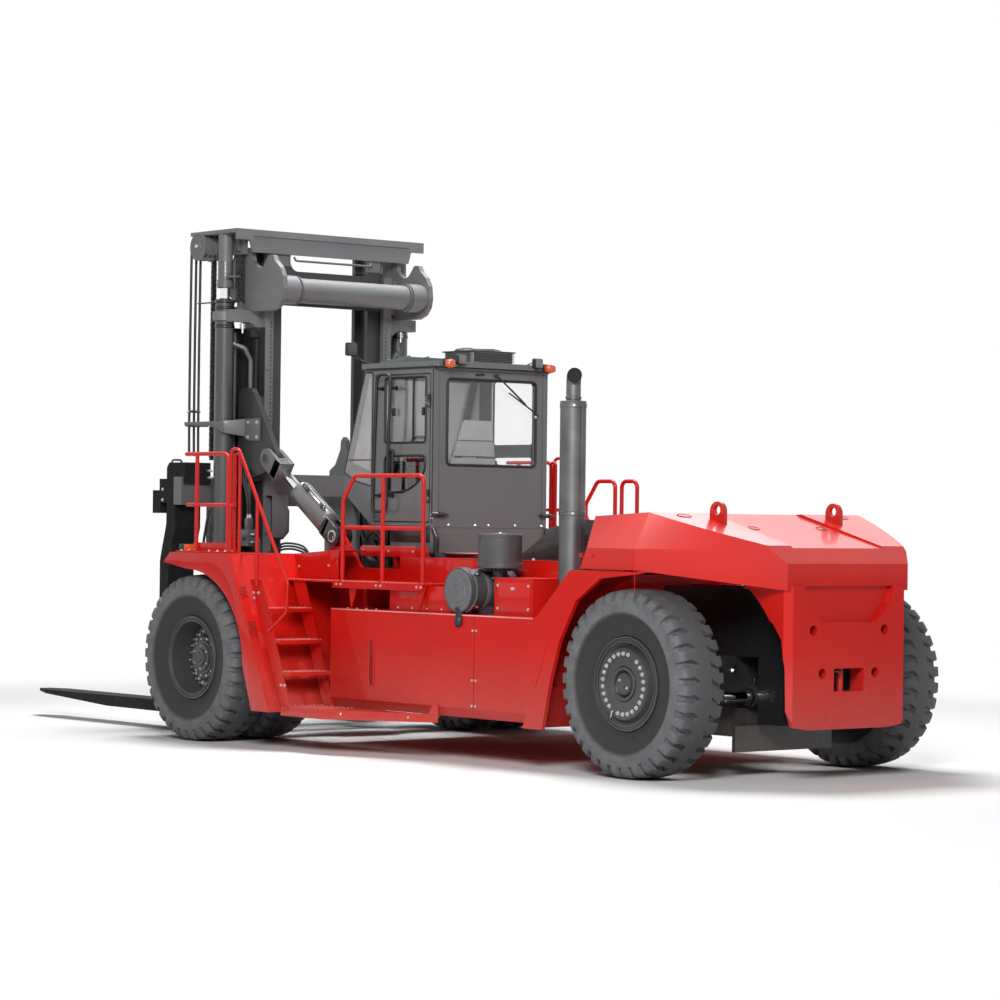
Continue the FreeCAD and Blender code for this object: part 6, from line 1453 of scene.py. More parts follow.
def driver_seat():
    """Sprung seat: base, padded cushion and tapering back, arm pads and belt."""
    rear, floor = SEAT_X, FLOOR_Z
    lean = Vector((-0.16, 0, 0.987)).normalized()
    out = Vector((0.987, 0, 0.16)).normalized()
    across = LEFT
    cushion = soft_form(cushion_rings(Vector((rear - 0.03, 0, floor + 0.325)), FORE, across, UP,
        0.49, 0.50, 0.11, 0.94))
    piece = cushion.place("seat_cushion", "chassis", seat_cloth, "seat_fabric")
    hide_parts("driver_seat")
    inflate(piece, 0.022)
    low = soft_form(cushion_rings(Vector((rear - 0.005, 0, floor + 0.40)), lean, across, out, 0.235,
        0.56, 0.085, 0.98))
    piece = low.place("seat_back_lower", "chassis", seat_cloth, "seat_fabric")
    inflate(piece, 0.018)
    high = soft_form(cushion_rings(Vector((rear - 0.045, 0, floor + 0.645)), lean, across, out,
        0.355, 0.53, 0.075, 0.66))
    piece = high.place("seat_back_upper", "chassis", seat_cloth, "seat_fabric")
    inflate(piece, 0.016)
    shell = Shape()
    for z0, z1, w0, w1, x0 in ((0.39, 0.63, 0.285, 0.282, -0.062),
            (0.645, 1.005, 0.27, 0.175, -0.105)):
        base = Vector((rear + x0 + 0.012, 0, floor + z0))
        top = base + lean * (z1 - z0)
        shell.plate([base + across * w0, base - across * w0, top - across * w1, top + across * w1],
            -out * 0.012, 0.005)
    shell.place("seat_back_shell", "chassis", shell_abs, "black_plastic")
    shell = Shape()
    shell.box((rear, -0.20, floor), (rear + 0.40, 0.20, floor + 0.04), 0.006)
    for k in range(5):
        z = floor + 0.045 + 0.036 * k
        inset = 0.012 if k % 2 else 0.0
        shell.box((rear + 0.01 + inset, -0.185 + inset, z),
            (rear + 0.39 - inset, 0.185 - inset, z + 0.034), 0.008)
    shell.box((rear - 0.04, -0.25, floor + 0.23), (rear + 0.45, 0.25, floor + 0.275), 0.012)
    for y in (-0.335, 0.335):
        shell.box((rear - 0.03, y - 0.028, floor + 0.565), (rear + 0.31, y + 0.028, floor + 0.615),
            0.016)
        shell.box((rear - 0.06, y - 0.02, floor + 0.50), (rear + 0.0, y + 0.02, floor + 0.58), 0.01)
        shell.pipe([(rear + 0.25, y, floor + 0.61), (rear + 0.25, y, floor + 0.69)], 0.012)
        shell.turned([(0, 0.01), (0.02, 0.022), (0.045, 0.018), (0.052, 0)],
            (rear + 0.25, y, floor + 0.68), UP, 16)
    shell.place("seat_shell", "chassis", black_abs, "black_plastic")
    seams = Shape()
    for z, w, x0 in ((0.643, 0.28, -0.108), (0.80, 0.235, -0.133)):
        seams.pipe([(rear + x0 - 0.004, -w, floor + z), (rear + x0 - 0.004, w, floor + z)], 0.004)
    belt_y = 0.26
    seams.hose([(rear - 0.02, belt_y, floor + 0.36), (rear + 0.08, belt_y + 0.01, floor + 0.42),
        (rear + 0.2, belt_y - 0.02, floor + 0.46)], 0.014, 6)
    seams.box((rear + 0.18, -0.29, floor + 0.40), (rear + 0.24, -0.26, floor + 0.48), 0.006)
    seams.place("seat_belt", "chassis", gasket, "black_plastic")


def steering_wheel():
    """Steering wheel with its knob and column, the pedals, and the lever console beside them."""
    floor = FLOOR_Z
    wheel = Shape()
    centre = Vector((-1.06, 0, floor + 0.72))
    tilt = Vector((-0.17, 0, 0.20)).normalized()
    side = LEFT
    fore = tilt.cross(side).normalized()
    ring = circle(centre, side, fore, 0.195, 40)
    wheel.sweep(ring, 0.0165, 12, closed=True)
    for a in (0.25, math.pi / 2 + 0.6, math.pi - 0.25):
        end = centre + (side * math.cos(a) + fore * math.sin(a)) * 0.185
        wheel.sweep([centre - tilt * 0.03, centre.lerp(end, 0.5) - tilt * 0.012, end],
            [0.02, 0.015, 0.011], 10)
    wheel.turned([(-0.05, 0.03), (-0.02, 0.045), (0.004, 0.042), (0.010, 0.03), (0.010, 0)], centre,
        tilt, 28)
    wheel.turned([(0.01, 0.010), (0.03, 0.022), (0.055, 0.024), (0.065, 0.014), (0.067, 0)],
        ring[12], tilt, 20)
    for s in (1, -1):
        wheel.sweep([Vector((-0.98, s * 0.03, floor + 0.62)),
            Vector((-1.03, s * 0.17, floor + 0.66))], [0.007, 0.010], 8)
    wheel.box((-0.99, -0.19, floor + 0.53), (-0.93, 0.19, floor + 0.68), 0.018)
    wheel.box((-1.10, -0.48, floor), (-0.90, -0.36, floor + 0.10), 0.012)
    wheel.box((-1.10, 0.30, floor), (-0.96, 0.38, floor + 0.03), 0.008)
    wheel.box((-1.50, -0.62, floor + 0.38), (-1.12, -0.50, floor + 0.50), 0.03)
    wheel.box((-1.70, -0.64, floor), (-1.10, -0.46, floor + 0.38), 0.02)
    for k in range(4):
        x = -1.20 - 0.08 * k
        wheel.pipe([(x, -0.56, floor + 0.49), (x, -0.56, floor + 0.58)], 0.006)
        wheel.turned([(0, 0.008), (0.015, 0.014), (0.035, 0.012), (0.04, 0)],
            (x, -0.56, floor + 0.575), UP, 14)
    wheel.place("steering_wheel", "chassis", black_abs, "black_plastic")


driver_seat()
steering_wheel()


# ---- steps, deck and fenders ----------------------------------------------------------------
def fender_shell(side):
    """Fender in thick plate: side with its arch, flat top, drooping nose, the sloped plate behind
    the tyres and the low wall beside the walkway."""
    shape = Shape()
    outline = [(0.45, 1.77), (0.33, 1.872), (-0.70, 1.872), (-1.40, 0.36), (-1.105, 0.36),
        (-0.945, 0.80)]
    for i in range(1, 12):
        turn = math.radians(90 * i / 12)
        outline.append((-0.945 * math.cos(turn), 0.80 + 0.905 * math.sin(turn)))
    outline.append((0.06, 1.713))
    shape.plate([(x, 2.174, z) for x, z in outline], (0, 0.016, 0), 0.003)
    shape.box((-0.698, 1.30, 1.856), (0.328, 2.187, 1.872), 0.003)
    shape.plate([(0.33, 1.30, 1.871), (0.449, 1.30, 1.77), (0.432, 1.30, 1.77),
        (0.314, 1.30, 1.856)], (0, 0.887, 0))
    shape.plate([(-0.70, 1.0, 1.871), (-1.399, 1.0, 0.361), (-1.382, 1.0, 0.361),
        (-0.684, 1.0, 1.856)], (0, 1.187, 0))
    shape.plate([(-0.69, 1.384, 1.620), (-1.42, 1.384, 1.620), (-1.42, 1.384, 1.922),
        (-0.69, 1.384, 1.872)], (0, 0.016, 0))
    shape.plate([(-1.42, 1.06, 1.910), (-1.42, 1.06, 1.922), (-0.69, 1.06, 1.872),
        (-0.69, 1.06, 1.860)], (0, 0.326, 0))
    shape.box((-1.43, 1.39, 1.84), (-1.405, 1.46, 1.856), 0.003)
    shape.box((-0.71, 1.10, 1.62), (-0.62, 1.30, 1.86), 0.004)
    if side == "right":
        shape.flipped()
    piece = shape.place("fender_shell_" + side, "chassis", red_enamel, "red_paint")
    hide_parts("fender_" + side)


def front_guard_rails():
    """Bent tube rails over the front of each fender, and the long hand rail down the steps."""
    shape = Shape()
    y, deck, tube = 2.09, 1.872, 0.0205
    shape.pipe([(0.207, y, 2.852), (-0.530, y, 2.852), (-0.530, y, deck)], tube, 0.09, 16)
    shape.pipe([(0.012, y, deck), (0.012, y, 2.852)], tube, sides=16)
    shape.pipe([(0.180, y, 2.345), (-0.655, y, 2.345)], tube * 0.9, sides=16)
    shape.pipe([(-0.572, y - 0.05, deck), (-0.572, y - 0.05, 2.845), (-0.655, y - 0.05, 2.845),
        (-0.655, y - 0.05, deck)], tube * 0.8, 0.04, 16)
    shape.pipe([(-0.575, y, deck), (-0.575, y, 2.893), (-0.705, y, 2.893), (-1.545, y, 1.600),
        (-1.530, y, 1.335)], tube * 0.85, 0.065, 16)
    shape.pipe([(-1.5305, y, 1.345), (-1.528, y, 1.32), (-1.235, y, 1.128)], 0.0125, 0.05, 12)
    shape.pipe([(-1.030, y, 1.56), (-1.030, y, 2.385)], tube * 0.85, sides=16)
    for x, z in ((-1.030, 1.58), (-1.235, 1.135)):
        shape.box((x - 0.022, 2.073, z - 0.022), (x + 0.022, 2.092, z + 0.022), 0.004)
    shape.box((-0.515, y - 0.012, 1.885), (0.062, y - 0.006, 1.972), 0.003)
    piece = shape.mirrored().place("front_guard_rails", "chassis", red_enamel, "red_paint")
    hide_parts("front_rails")


for side in ("left", "right"):
    fender_shell(side)
front_guard_rails()


def grip_strip(shape, start, end, rise=0.012, pitch=0.045, thick=0.006):
    """Punched edge of a tread: a row of raised teeth along a line."""
    start, end = Vector(start), Vector(end)
    along = (end - start).normalized()
    side = along.cross(UP)
    count = int((end - start).length / pitch)
    for i in range(count):
        low = start + along * (pitch * (i + 0.2))
        high = low + along * (pitch * 0.6)
        outline = [low - UP * 0.002, high - UP * 0.002, high - along * 0.006 + UP * rise,
            low + along * 0.006 + UP * rise]
        shape.plate([p - side * thick / 2 for p in outline], side * thick, 0.0)


DECK_Z = 1.625
TOP_STEP_X = -0.90
STEP_RISE = 0.3
STEP_LEAN = (-1.56 - TOP_STEP_X) / (DECK_Z - 0.45)


def step_at(i):
    """Distance back and height of one tread, counted down from the walkway."""
    z = DECK_Z + 0.025 - STEP_RISE * i
    return TOP_STEP_X - STEP_LEAN * (z - DECK_Z), z


def step_fittings():
    """Grip teeth on the treads and deck edges, tread nosings, and the bolts of the stringers."""
    teeth = Shape()
    grip_strip(teeth, (-2.95, 1.588, DECK_Z), (-0.32, 1.588, DECK_Z), 0.010)
    for i in range(1, 4):
        x, z = step_at(i)
        for dx in (-0.185, -0.085, 0.012):
            grip_strip(teeth, (x + dx, 1.57, z), (x + dx, 2.055, z), 0.009)
        grip_strip(teeth, (x - 0.18, 2.062, z), (x + 0.01, 2.062, z), 0.009)
    for x in [-2.02 + 0.16 * k for k in range(4)]:
        grip_strip(teeth, (x, 1.64, 0.42), (x, 2.05, 0.42), 0.009)
    grip_strip(teeth, (-2.08, 0.957, 1.957), (-1.21, 0.957, 1.957), 0.010)
    # teeth drawn pale: partly wear, partly painted highlight
    teeth.mirrored().place("tread_teeth", "chassis", highlight_and_wear_red, "red_paint", 20)
    plates = Shape()
    for i in range(1, 4):
        x, z = step_at(i)
        plates.box((x - 0.192, 1.566, z - 0.036), (x - 0.176, 2.059, z - 0.004), 0.003)
        plates.box((x + 0.006, 1.566, z - 0.036), (x + 0.022, 2.059, z - 0.004), 0.003)
    plates.box((-2.952, 1.60, 1.560), (-1.60, 1.607, 1.568), 0.002)
    plates.box((-2.09, 0.945, 1.862), (-1.20, 0.966, 1.957), 0.004)
    plates.box((-2.09, 0.80, 1.948), (-1.20, 0.95, 1.957), 0.003)
    plates.box((-2.09, 0.80, 1.862), (-2.07, 0.95, 1.95), 0.003)
    plates.box((-1.70, 0.80, 1.75), (-1.66, 0.90, 1.95), 0.003)
    plates.mirrored().place("tread_nosings", "chassis", red_enamel, "red_paint")
    bolts = Shape()
    for x, z in ((-0.964, 1.497), (-1.048, 1.497), (-0.976, 1.444), (-1.50, 0.62), (-1.44, 0.62)):
        bolts.bolt((x, 2.075, z), LEFT, 0.013)
    for x, z in ((-0.78, 1.750), (-1.27, 1.765)):
        bolts.bolt((x, 1.400, z), LEFT, 0.012)
    for x in (0.045, -0.50):
        for z in (1.900, 1.957):
            bolts.bolt((x, 2.084, z), LEFT, 0.009)
    for x in (-0.56, -0.43):
        for edge_y in (2.045, 2.135):
            bolts.bolt((x, edge_y, 1.888), UP, 0.013)
    for x in (0.20, -0.28):
        for edge_y in (2.045, 2.135):
            bolts.bolt((x, edge_y, 1.888), UP, 0.012)
    for x in (-1.7, -2.33, -2.95):
        for dx in (-0.035, 0.035):
            bolts.bolt((x + dx, 1.60, 1.595), LEFT, 0.010)
    for x in (-2.05, -1.66, -1.25):
        bolts.bolt((x, 0.966, 1.915), LEFT, 0.010)
    bolts.mirrored().place("step_bolts", "chassis", zinc, "chrome")
    pads = Shape()
    pads.box((-0.60, 2.015, 1.872), (-0.39, 2.165, 1.888), 0.004)
    pads.box((-0.33, 2.015, 1.872), (0.27, 2.165, 1.888), 0.004)
    pads.box((-0.045, 2.045, 1.886), (0.085, 2.135, 1.896), 0.004)
    for x in (-1.70, -2.33, -2.95):
        pads.turned([(0, 0.045), (0.010, 0.043), (0.014, 0.026)], (x, 1.555, 1.625), UP, 24)
    pads.box((-1.20, 2.035, 1.862), (0.32, 2.05, 1.8735), 0.002)
    pads.mirrored().place("rail_feet", "chassis", red_enamel, "red_paint")
    lamps = Shape()
    lamps.box((0.350, 1.868, 1.876), (0.425, 2.020, 1.952), 0.010)
    lamps.mirrored().place("front_marker_cases", "chassis", black_abs, "black_plastic")
    lamps = Shape()
    lamps.box((0.338, 1.876, 1.882), (0.352, 2.012, 1.946), 0.006)
    lamps.box((0.424, 1.876, 1.882), (0.436, 2.012, 1.946), 0.006)
    lamps.mirrored().place("front_marker_lenses", "chassis", amber, "lamp_amber")
    # painted shade: the holes in the sloped plate drawn as black discs
    shield = Shape()
    lean = Vector((-0.70, 0, -1.512)).normalized()
    off = Vector((-1.512, 0, 0.70)).normalized()
    for start, rows in ((0.36, 5), (0.73, 7)):
        for k in range(rows):
            for j in range(3):
                hole = Vector((-0.70, 2.095 + 0.028 * j + 0.014 * (k % 2),
                    1.872)) + lean * (start + 0.024 * k)
                shield.turned([(-0.001, 0.0085), (0.0012, 0.0085)], hole, off, 10)
    shield.mirrored().place("fender_holes", "chassis", black_gloss, "black_paint")


step_fittings()


def tank_fittings():
    """Seams, corner bolts, filler cap, slot handle and lifting points of the side tanks."""
    y = 1.60
    seams = Shape()
    # a seam line, then painted shade inside the handle slot
    seams.box((-3.781, y - 0.001, 0.51), (-3.775, y + 0.002, 1.362), 0.001)
    seams.box((-2.275, y - 0.002, 0.655), (-2.205, y + 0.0015, 1.070), 0.001)
    seams.mirrored().place("tank_seams", "chassis", seam_and_shaded_recess_red, "red_paint")
    # painted highlight: a pale strip along the top edge of each tank
    edges = Shape()
    edges.box((-4.60, y - 0.002, 1.350), (-1.59, y + 0.003, 1.362), 0.002)
    edges.mirrored().place("tank_edges", "chassis", highlight_and_wear_red, "red_paint")
    rims = Shape()
    rims.sweep(rounded_loop(side_loop(y + 0.002, -2.280, -2.200, 0.648, 1.078), 0.03), 0.007, 8,
        closed=True)
    rims.mirrored().place("tank_handle_rims", "chassis", red_enamel, "red_paint")
    bolts = Shape()
    for z in (1.219, 0.764, 0.53):
        for x in (-3.755, -3.805):
            bolts.bolt((x, y, z), LEFT, 0.0095)
    for k in range(5):
        bolts.bolt((-2.52 - 0.22 * k, 1.506, 1.395), LEFT, 0.008)
    for x in (-1.75, -1.90, -2.05, -2.20):
        bolts.bolt((x, 1.52, 1.365), UP, 0.009)
    for x, edge_y in ((-2.30, 1.994), (-2.98, 1.722)):
        bolts.bolt((x, edge_y + 0.006, 0.385), (0.37, 0.93, 0), 0.012)
    bolts.mirrored().place("tank_bolts", "chassis", zinc, "chrome")
    cap = Shape()
    for sign, x in ((1, -3.15), (-1, -2.60), (-1, -3.60)):
        cap.turned([(0, 0.075), (0.022, 0.072), (0.026, 0.060), (0.050, 0.058), (0.056, 0.050),
            (0.056, 0.014), (0.062, 0.012), (0.062, 0)], (x, sign * 1.30, 1.365), UP, 32)
    cap.place("filler_caps", "chassis", black_abs, "black_plastic")
    under = Shape()
    under.plate([(-2.39, 1.495, 1.366), (-3.60, 1.495, 1.366), (-3.60, 1.495, 1.607),
        (-2.46, 1.495, 1.607), (-2.39, 1.495, 1.56)], (0, 0.012, 0))
    under.box((-2.402, 1.10, 1.366), (-2.39, 1.50, 1.56), 0.002)
    under.plate([(-1.442, 2.070, 0.330), (-2.104, 2.070, 0.330), (-2.104, 2.070, 0.426),
        (-1.442, 2.070, 0.426)], (0, 0.010, 0))
    under.plate([(-2.102, 2.068, 0.330), (-3.270, 1.604, 0.350), (-3.270, 1.604, 0.426),
        (-2.102, 2.068, 0.426)], (0.004, 0.010, 0))
    under.plate([(-3.10, 1.672, 0.40), (-3.272, 1.604, 0.37), (-3.272, 1.604, 0.515),
        (-3.235, 1.619, 0.525), (-3.19, 1.637, 0.43)], (0.005, 0.014, 0))
    under.mirrored().place("tank_shelf_panels", "chassis", red_enamel, "red_paint")
    bay = Shape()
    bay.box((-4.50, 0.990, 1.610), (-1.90, 1.008, 1.862), 0.002)
    bay.box((-4.50, 0.965, 1.852), (-1.90, 1.012, 1.864), 0.002)
    bay.mirrored().place("engine_bay_walls", "chassis", red_enamel, "red_paint")


tank_fittings()


# ---- air cleaner, exhaust and cabinet ---------------------------------------------------------
def air_cleaner_parts():
    """Bands, end cap rings, toggle clips, dust valve, pre-cleaner bowl and intake hose."""
    x, z = REAR_X + 2.22, 1.585
    body = Shape()
    body.turned([(1.620, 0.190), (1.628, 0.180), (1.628, 0.115), (1.636, 0.110), (1.636, 0.055),
        (1.630, 0.050), (1.630, 0)], (x, 0, z), LEFT, 56)
    for y in (1.12, 1.40):
        body.band(y, (0.022, 0.190), (0.018, 0.196), (x, 0, z), LEFT, 56)
    body.turned([(1.548, 0.190), (1.552, 0.212), (1.566, 0.212), (1.570, 0.205)], (x, 0, z), LEFT,
        56)
    for k in range(10):
        a = 2 * math.pi * k / 10
        body.box((x - 0.006 + 0.15 * math.cos(a), 1.622, z - 0.006 + 0.15 * math.sin(a)),
            (x + 0.006 + 0.15 * math.cos(a), 1.632, z + 0.006 + 0.15 * math.sin(a)), 0.003)
    body.place("air_cleaner_cap", "chassis", cap_nylon, "black_plastic")
    clips = Shape()
    for k in range(4):
        a = math.pi * (0.25 + 0.5 * k)
        spin = Matrix.Rotation(math.pi / 2 - a, 3, "Y")
        centre = Vector((x + 0.211 * math.cos(a), 1.545, z + 0.211 * math.sin(a)))
        clips.block(centre, (0.018, 0.035, 0.005), 0.003, spin)
        clips.box(centre - Vector((0.011, 0.050, -0.003)), centre + Vector((0.011, -0.022, 0.013)),
            0.003, spin, centre)
    bowl_x = x - 0.21
    bowl_at = (bowl_x, 1.30, 0)
    for height in (1.70, 1.79):
        clips.band(height, (0.009, 0.0625), (0.009, 0.0665), bowl_at, UP, 32)
        clips.box((bowl_x - 0.012, 1.365, height - 0.008),
            (bowl_x + 0.020, 1.382, height + 0.008), 0.003)
    clips.turned([(2.104, 0.022), (2.116, 0.020), (2.119, 0.010), (2.119, 0)], bowl_at, UP, 18)
    clips.place("air_cleaner_clips", "chassis", zinc, "chrome")
    bowl = Shape()
    bowl.turned([(2.070, 0.2035), (2.074, 0.207), (2.098, 0.207), (2.106, 0.200), (2.108, 0.06),
        (2.112, 0.05), (2.112, 0)], bowl_at, UP, 56)
    bowl.turned([(1.788, 0.155), (1.792, 0.208), (1.812, 0.211), (1.832, 0.208), (1.836, 0.203)],
        bowl_at, UP, 56)
    bowl.turned([(1.735, 0.068), (1.76, 0.075), (1.785, 0.120), (1.793, 0.15)], bowl_at, UP,
        40)
    for k in range(24):
        a = 2 * math.pi * k / 24
        spin = Matrix.Rotation(a, 3, "Z")
        centre = Vector((bowl_x + 0.13 * math.cos(a), 1.30 + 0.13 * math.sin(a), 1.776))
        bowl.block(centre, (0.03, 0.003, 0.012), 0.001, spin)
    bowl.place("pre_cleaner_bowl", "chassis", grey_nylon, "black_plastic")
    soft = Shape()
    soft.turned([(0, 0.052), (0.03, 0.048), (0.075, 0.040), (0.085, 0.046), (0.115, 0.048),
        (0.150, 0.040), (0.165, 0.020), (0.168, 0.004), (0.160, 0)], (x, 1.585, z - 0.175),
        (0, 0.15, -1), 24)
    soft.turned([(0, 0.056), (0.02, 0.056), (0.03, 0.05)], (x, 1.583, z - 0.165), (0, 0.15, -1), 24)
    soft.hose([(x - 0.02, 1.06, z), (x - 0.02, 0.99, z), (x - 0.02, 0.93, z + 0.02)], 0.075, 20)
    soft.turned([(1.665, 0.066), (1.70, 0.068), (1.80, 0.068), (1.81, 0.065)], bowl_at, UP,
        32)
    soft.place("intake_hose", "chassis", hose_cover, "black_plastic")


air_cleaner_parts()


def exhaust_parts():
    """Shield seams and straps, rolled rims, the clamp under the elbow and the sooty mouth."""
    x, y = REAR_X + 1.105, 1.215
    stack_at = (x, y, 0)
    shell = Shape()
    for z in (1.545, 2.30, 3.27):
        shell.band(z, (0.020, 0.118), (0.016, 0.1225), stack_at, UP, 56)
    shell.turned([(3.300, 0.119), (3.306, 0.1205), (3.312, 0.116), (3.308, 0.080), (3.296, 0.070)],
        stack_at, UP, 56)
    shell.box((x - 0.128, y - 0.014, 1.53), (x - 0.116, y + 0.014, 3.29), 0.003)
    shell.turned([(3.325, 0.067), (3.330, 0.073), (3.352, 0.073), (3.357, 0.067)], stack_at, UP,
        36)
    shell.place("exhaust_straps", "chassis", stainless, "exhaust_steel")
    bolts = Shape()
    for z in (1.545, 2.30, 3.27):
        bolts.bolt((x - 0.10, y + 0.078, z), (-0.7, 0.7, 0), 0.009)
    for dx in (-0.11, 0.10):
        for dy in (-0.12, 0.12):
            bolts.bolt((x + dx, y + dy, 1.52), UP, 0.011)
    bolts.place("exhaust_bolts", "chassis", zinc, "chrome")
    mouth = Shape()
    way = Vector((-0.8, 0.6, 0)).normalized()
    end = Vector((x - 0.092, y + 0.070, 3.54))
    mouth.turned([(0.0005, 0.067), (0.004, 0.064), (0.003, 0.0565), (-0.03, 0.0562), (-0.04, 0.02),
        (-0.042, 0)], end, way, 36)
    mouth.place("exhaust_mouth", "chassis", soot, "exhaust_steel")
    lid = Shape()
    x0, x1, top = -4.48, -3.94, 1.70
    lid.box((x0 - 0.006, 1.0, top), (x1 + 0.006, 1.506, top + 0.010), 0.004)
    lid.box((x0 + 0.03, 1.498, 1.40), (x1 - 0.03, 1.506, 1.67), 0.004)
    lid.box((x0 + 0.06, 1.503, 1.53), (x1 - 0.06, 1.510, 1.545), 0.003)
    lid.box((-4.24, 1.10, top + 0.008), (-4.18, 1.40, top + 0.016), 0.004)
    lid.place("cabinet_lid", "chassis", red_enamel, "red_paint")
    bolts = Shape()
    for bolt_x in (x0 + 0.055, x1 - 0.055):
        for z in (1.43, 1.64):
            bolts.bolt((bolt_x, 1.506, z), LEFT, 0.011)
    bolts.box((-4.235, 1.504, 1.60), (-4.185, 1.516, 1.625), 0.004)
    bolts.place("cabinet_bolts", "chassis", zinc, "chrome")


exhaust_parts()


# ---- engine cover and counterweight -------------------------------------------------------------
def hood_parts():
    """Louvres, toggle latches, lift handle and hinge straps of the engine cover."""
    louvres = Shape()
    for sign in (1, -1):
        for x0 in (-4.70, -4.30):
            for k in range(7):
                z = 1.86 + 0.038 * k
                outline = [(x0, sign * 0.700, z), (x0 + 0.30, sign * 0.700, z),
                    (x0 + 0.29, sign * 0.712, z + 0.006), (x0 + 0.01, sign * 0.712, z + 0.006)]
                louvres.plate(outline, (0, 0, 0.018), 0.0)
    for k in range(8):
        y = -0.42 + 0.12 * k
        louvres.box((-4.62, y - 0.045, 2.245), (-4.34, y + 0.045, 2.252), 0.003)
    for y in (-0.45, 0.45):
        louvres.box((-5.04, y - 0.03, 2.243), (-4.80, y + 0.03, 2.252), 0.003)
    louvres.place("hood_louvres", "engine_hood", black_gloss, "black_paint")
    latch = Shape()
    for sign in (1, -1):
        for x in (-3.55, -4.95):
            latch.box((x - 0.02, sign * 0.706 - 0.006, 1.79),
                (x + 0.02, sign * 0.706 + 0.006, 1.88), 0.004)
            latch.bolt((x, sign * 0.712, 1.85), (0, sign, 0), 0.009)
    latch.pipe([(-3.36, -0.12, 1.93), (-3.31, -0.12, 1.955), (-3.31, 0.12, 1.955),
        (-3.36, 0.12, 1.93)], 0.009)
    latch.place("hood_latches", "engine_hood", zinc, "chrome")
    plate = Shape()
    for sign in (1, -1):
        y = sign * 0.722
        outline = [(-3.40, y, 1.885), (-3.98, y, 1.885), (-3.98, y, 2.16), (-3.90, y, 2.19),
            (-3.82, y, 2.17)]
        plate.plate(outline, (0, sign * 0.006, 0), 0.002)
        plate.bolt((-3.55, sign * 0.728, 1.925), (0, sign, 0), 0.010)
    plate.place("hood_side_plates", "engine_hood", black_gloss, "black_paint")


hood_parts()


VALLEY_HALF = 0.56                          # half the width of the valley between the crowns
VALLEY_DROP, VALLEY_LONG = 0.36, 1.365
CROWN_FALL = 0.273                          # per metre back


def crown_height(x, y):
    """Height of the counterweight's top at a place, on its crown or in the valley between."""
    if abs(y) < VALLEY_HALF:
        return 2.32 - (REAR_X + 0.08 - x) * VALLEY_DROP / VALLEY_LONG
    return 2.318 - (-5.80 - x) * CROWN_FALL


def counterweight_parts():
    """Slots for lifting, rims of the casting holes with black discs of painted shade in the holes,
    tow pin handle and mounting bolts.
    """
    rims = Shape()
    holes = Shape()
    for x, y, long_ in ((-5.90, 0.98, 0.075), (-6.20, 0.42, 0.060)):
        z = crown_height(x, y)
        slope = Vector((1, 0, CROWN_FALL if y > VALLEY_HALF else 0.264)).normalized()
        up = slope.cross(LEFT) * -1
        up = up if up.z > 0 else -up
        ring = []
        for k in range(28):
            a = 2 * math.pi * k / 28
            ring.append(Vector((x, y, z)) + slope * (0.045 * math.sin(a))
                        + LEFT * (long_ * math.cos(a)))
        rims.sweep([p + up * 0.001 for p in ring], 0.006, 8, closed=True)
        # painted shade: each slot's depth drawn as a black disc
        holes.plate([p + up * 0.0015 for p in ring], up * 0.0012, 0.0)
    for y, z in ((0.440, 1.318), (0.325, 0.944)):
        rims.turned([(-0.004, 0.045), (-0.0005, 0.047), (-0.0005, 0.052), (-0.004, 0.055)],
            (REAR_X - 1.185, y, z), AFT, 32, closed=True)
        # painted shade: each hole in the rear face drawn as a black disc
        holes.turned([(0, 0.044), (0.002, 0.043), (0.002, 0)], (REAR_X - 1.102, y, z), AFT, 28)
    rims.mirrored().place("counterweight_hole_rims", "chassis", red_enamel, "red_paint")
    holes.mirrored().place("counterweight_holes", "chassis", black_gloss, "black_paint")
    tow = Shape()
    x = REAR_X - 1.075
    tow.turned([(0.985, 0.045), (1.000, 0.043), (1.004, 0.030)], (x, 0, 0), UP, 28)
    tow.pipe([(x, 0, 0.985), (x, 0, 0.965), (x - 0.075, 0.05, 0.955), (x - 0.075, 0.12, 0.955),
        (x, 0.14, 0.965)], 0.009)
    tow.place("tow_pin_parts", "chassis", chain_steel, "mast_grey")
    seams = Shape()
    for sign in (1, -1):
        y = sign * 1.601
        seams.box((-5.952, min(y, y - sign * 0.004), 1.60),
            (-5.946, max(y, y - sign * 0.004), 1.99), 0.001)
        for x0 in (-5.25, -5.40):
            seams.bolt((x0, sign * 1.601, 1.93), (0, sign, 0), 0.016)
    seams.place("counterweight_seams", "chassis", red_enamel, "red_paint")


counterweight_parts()


STEER_ROD_AT = (REAR_X - 0.26, 0.70)


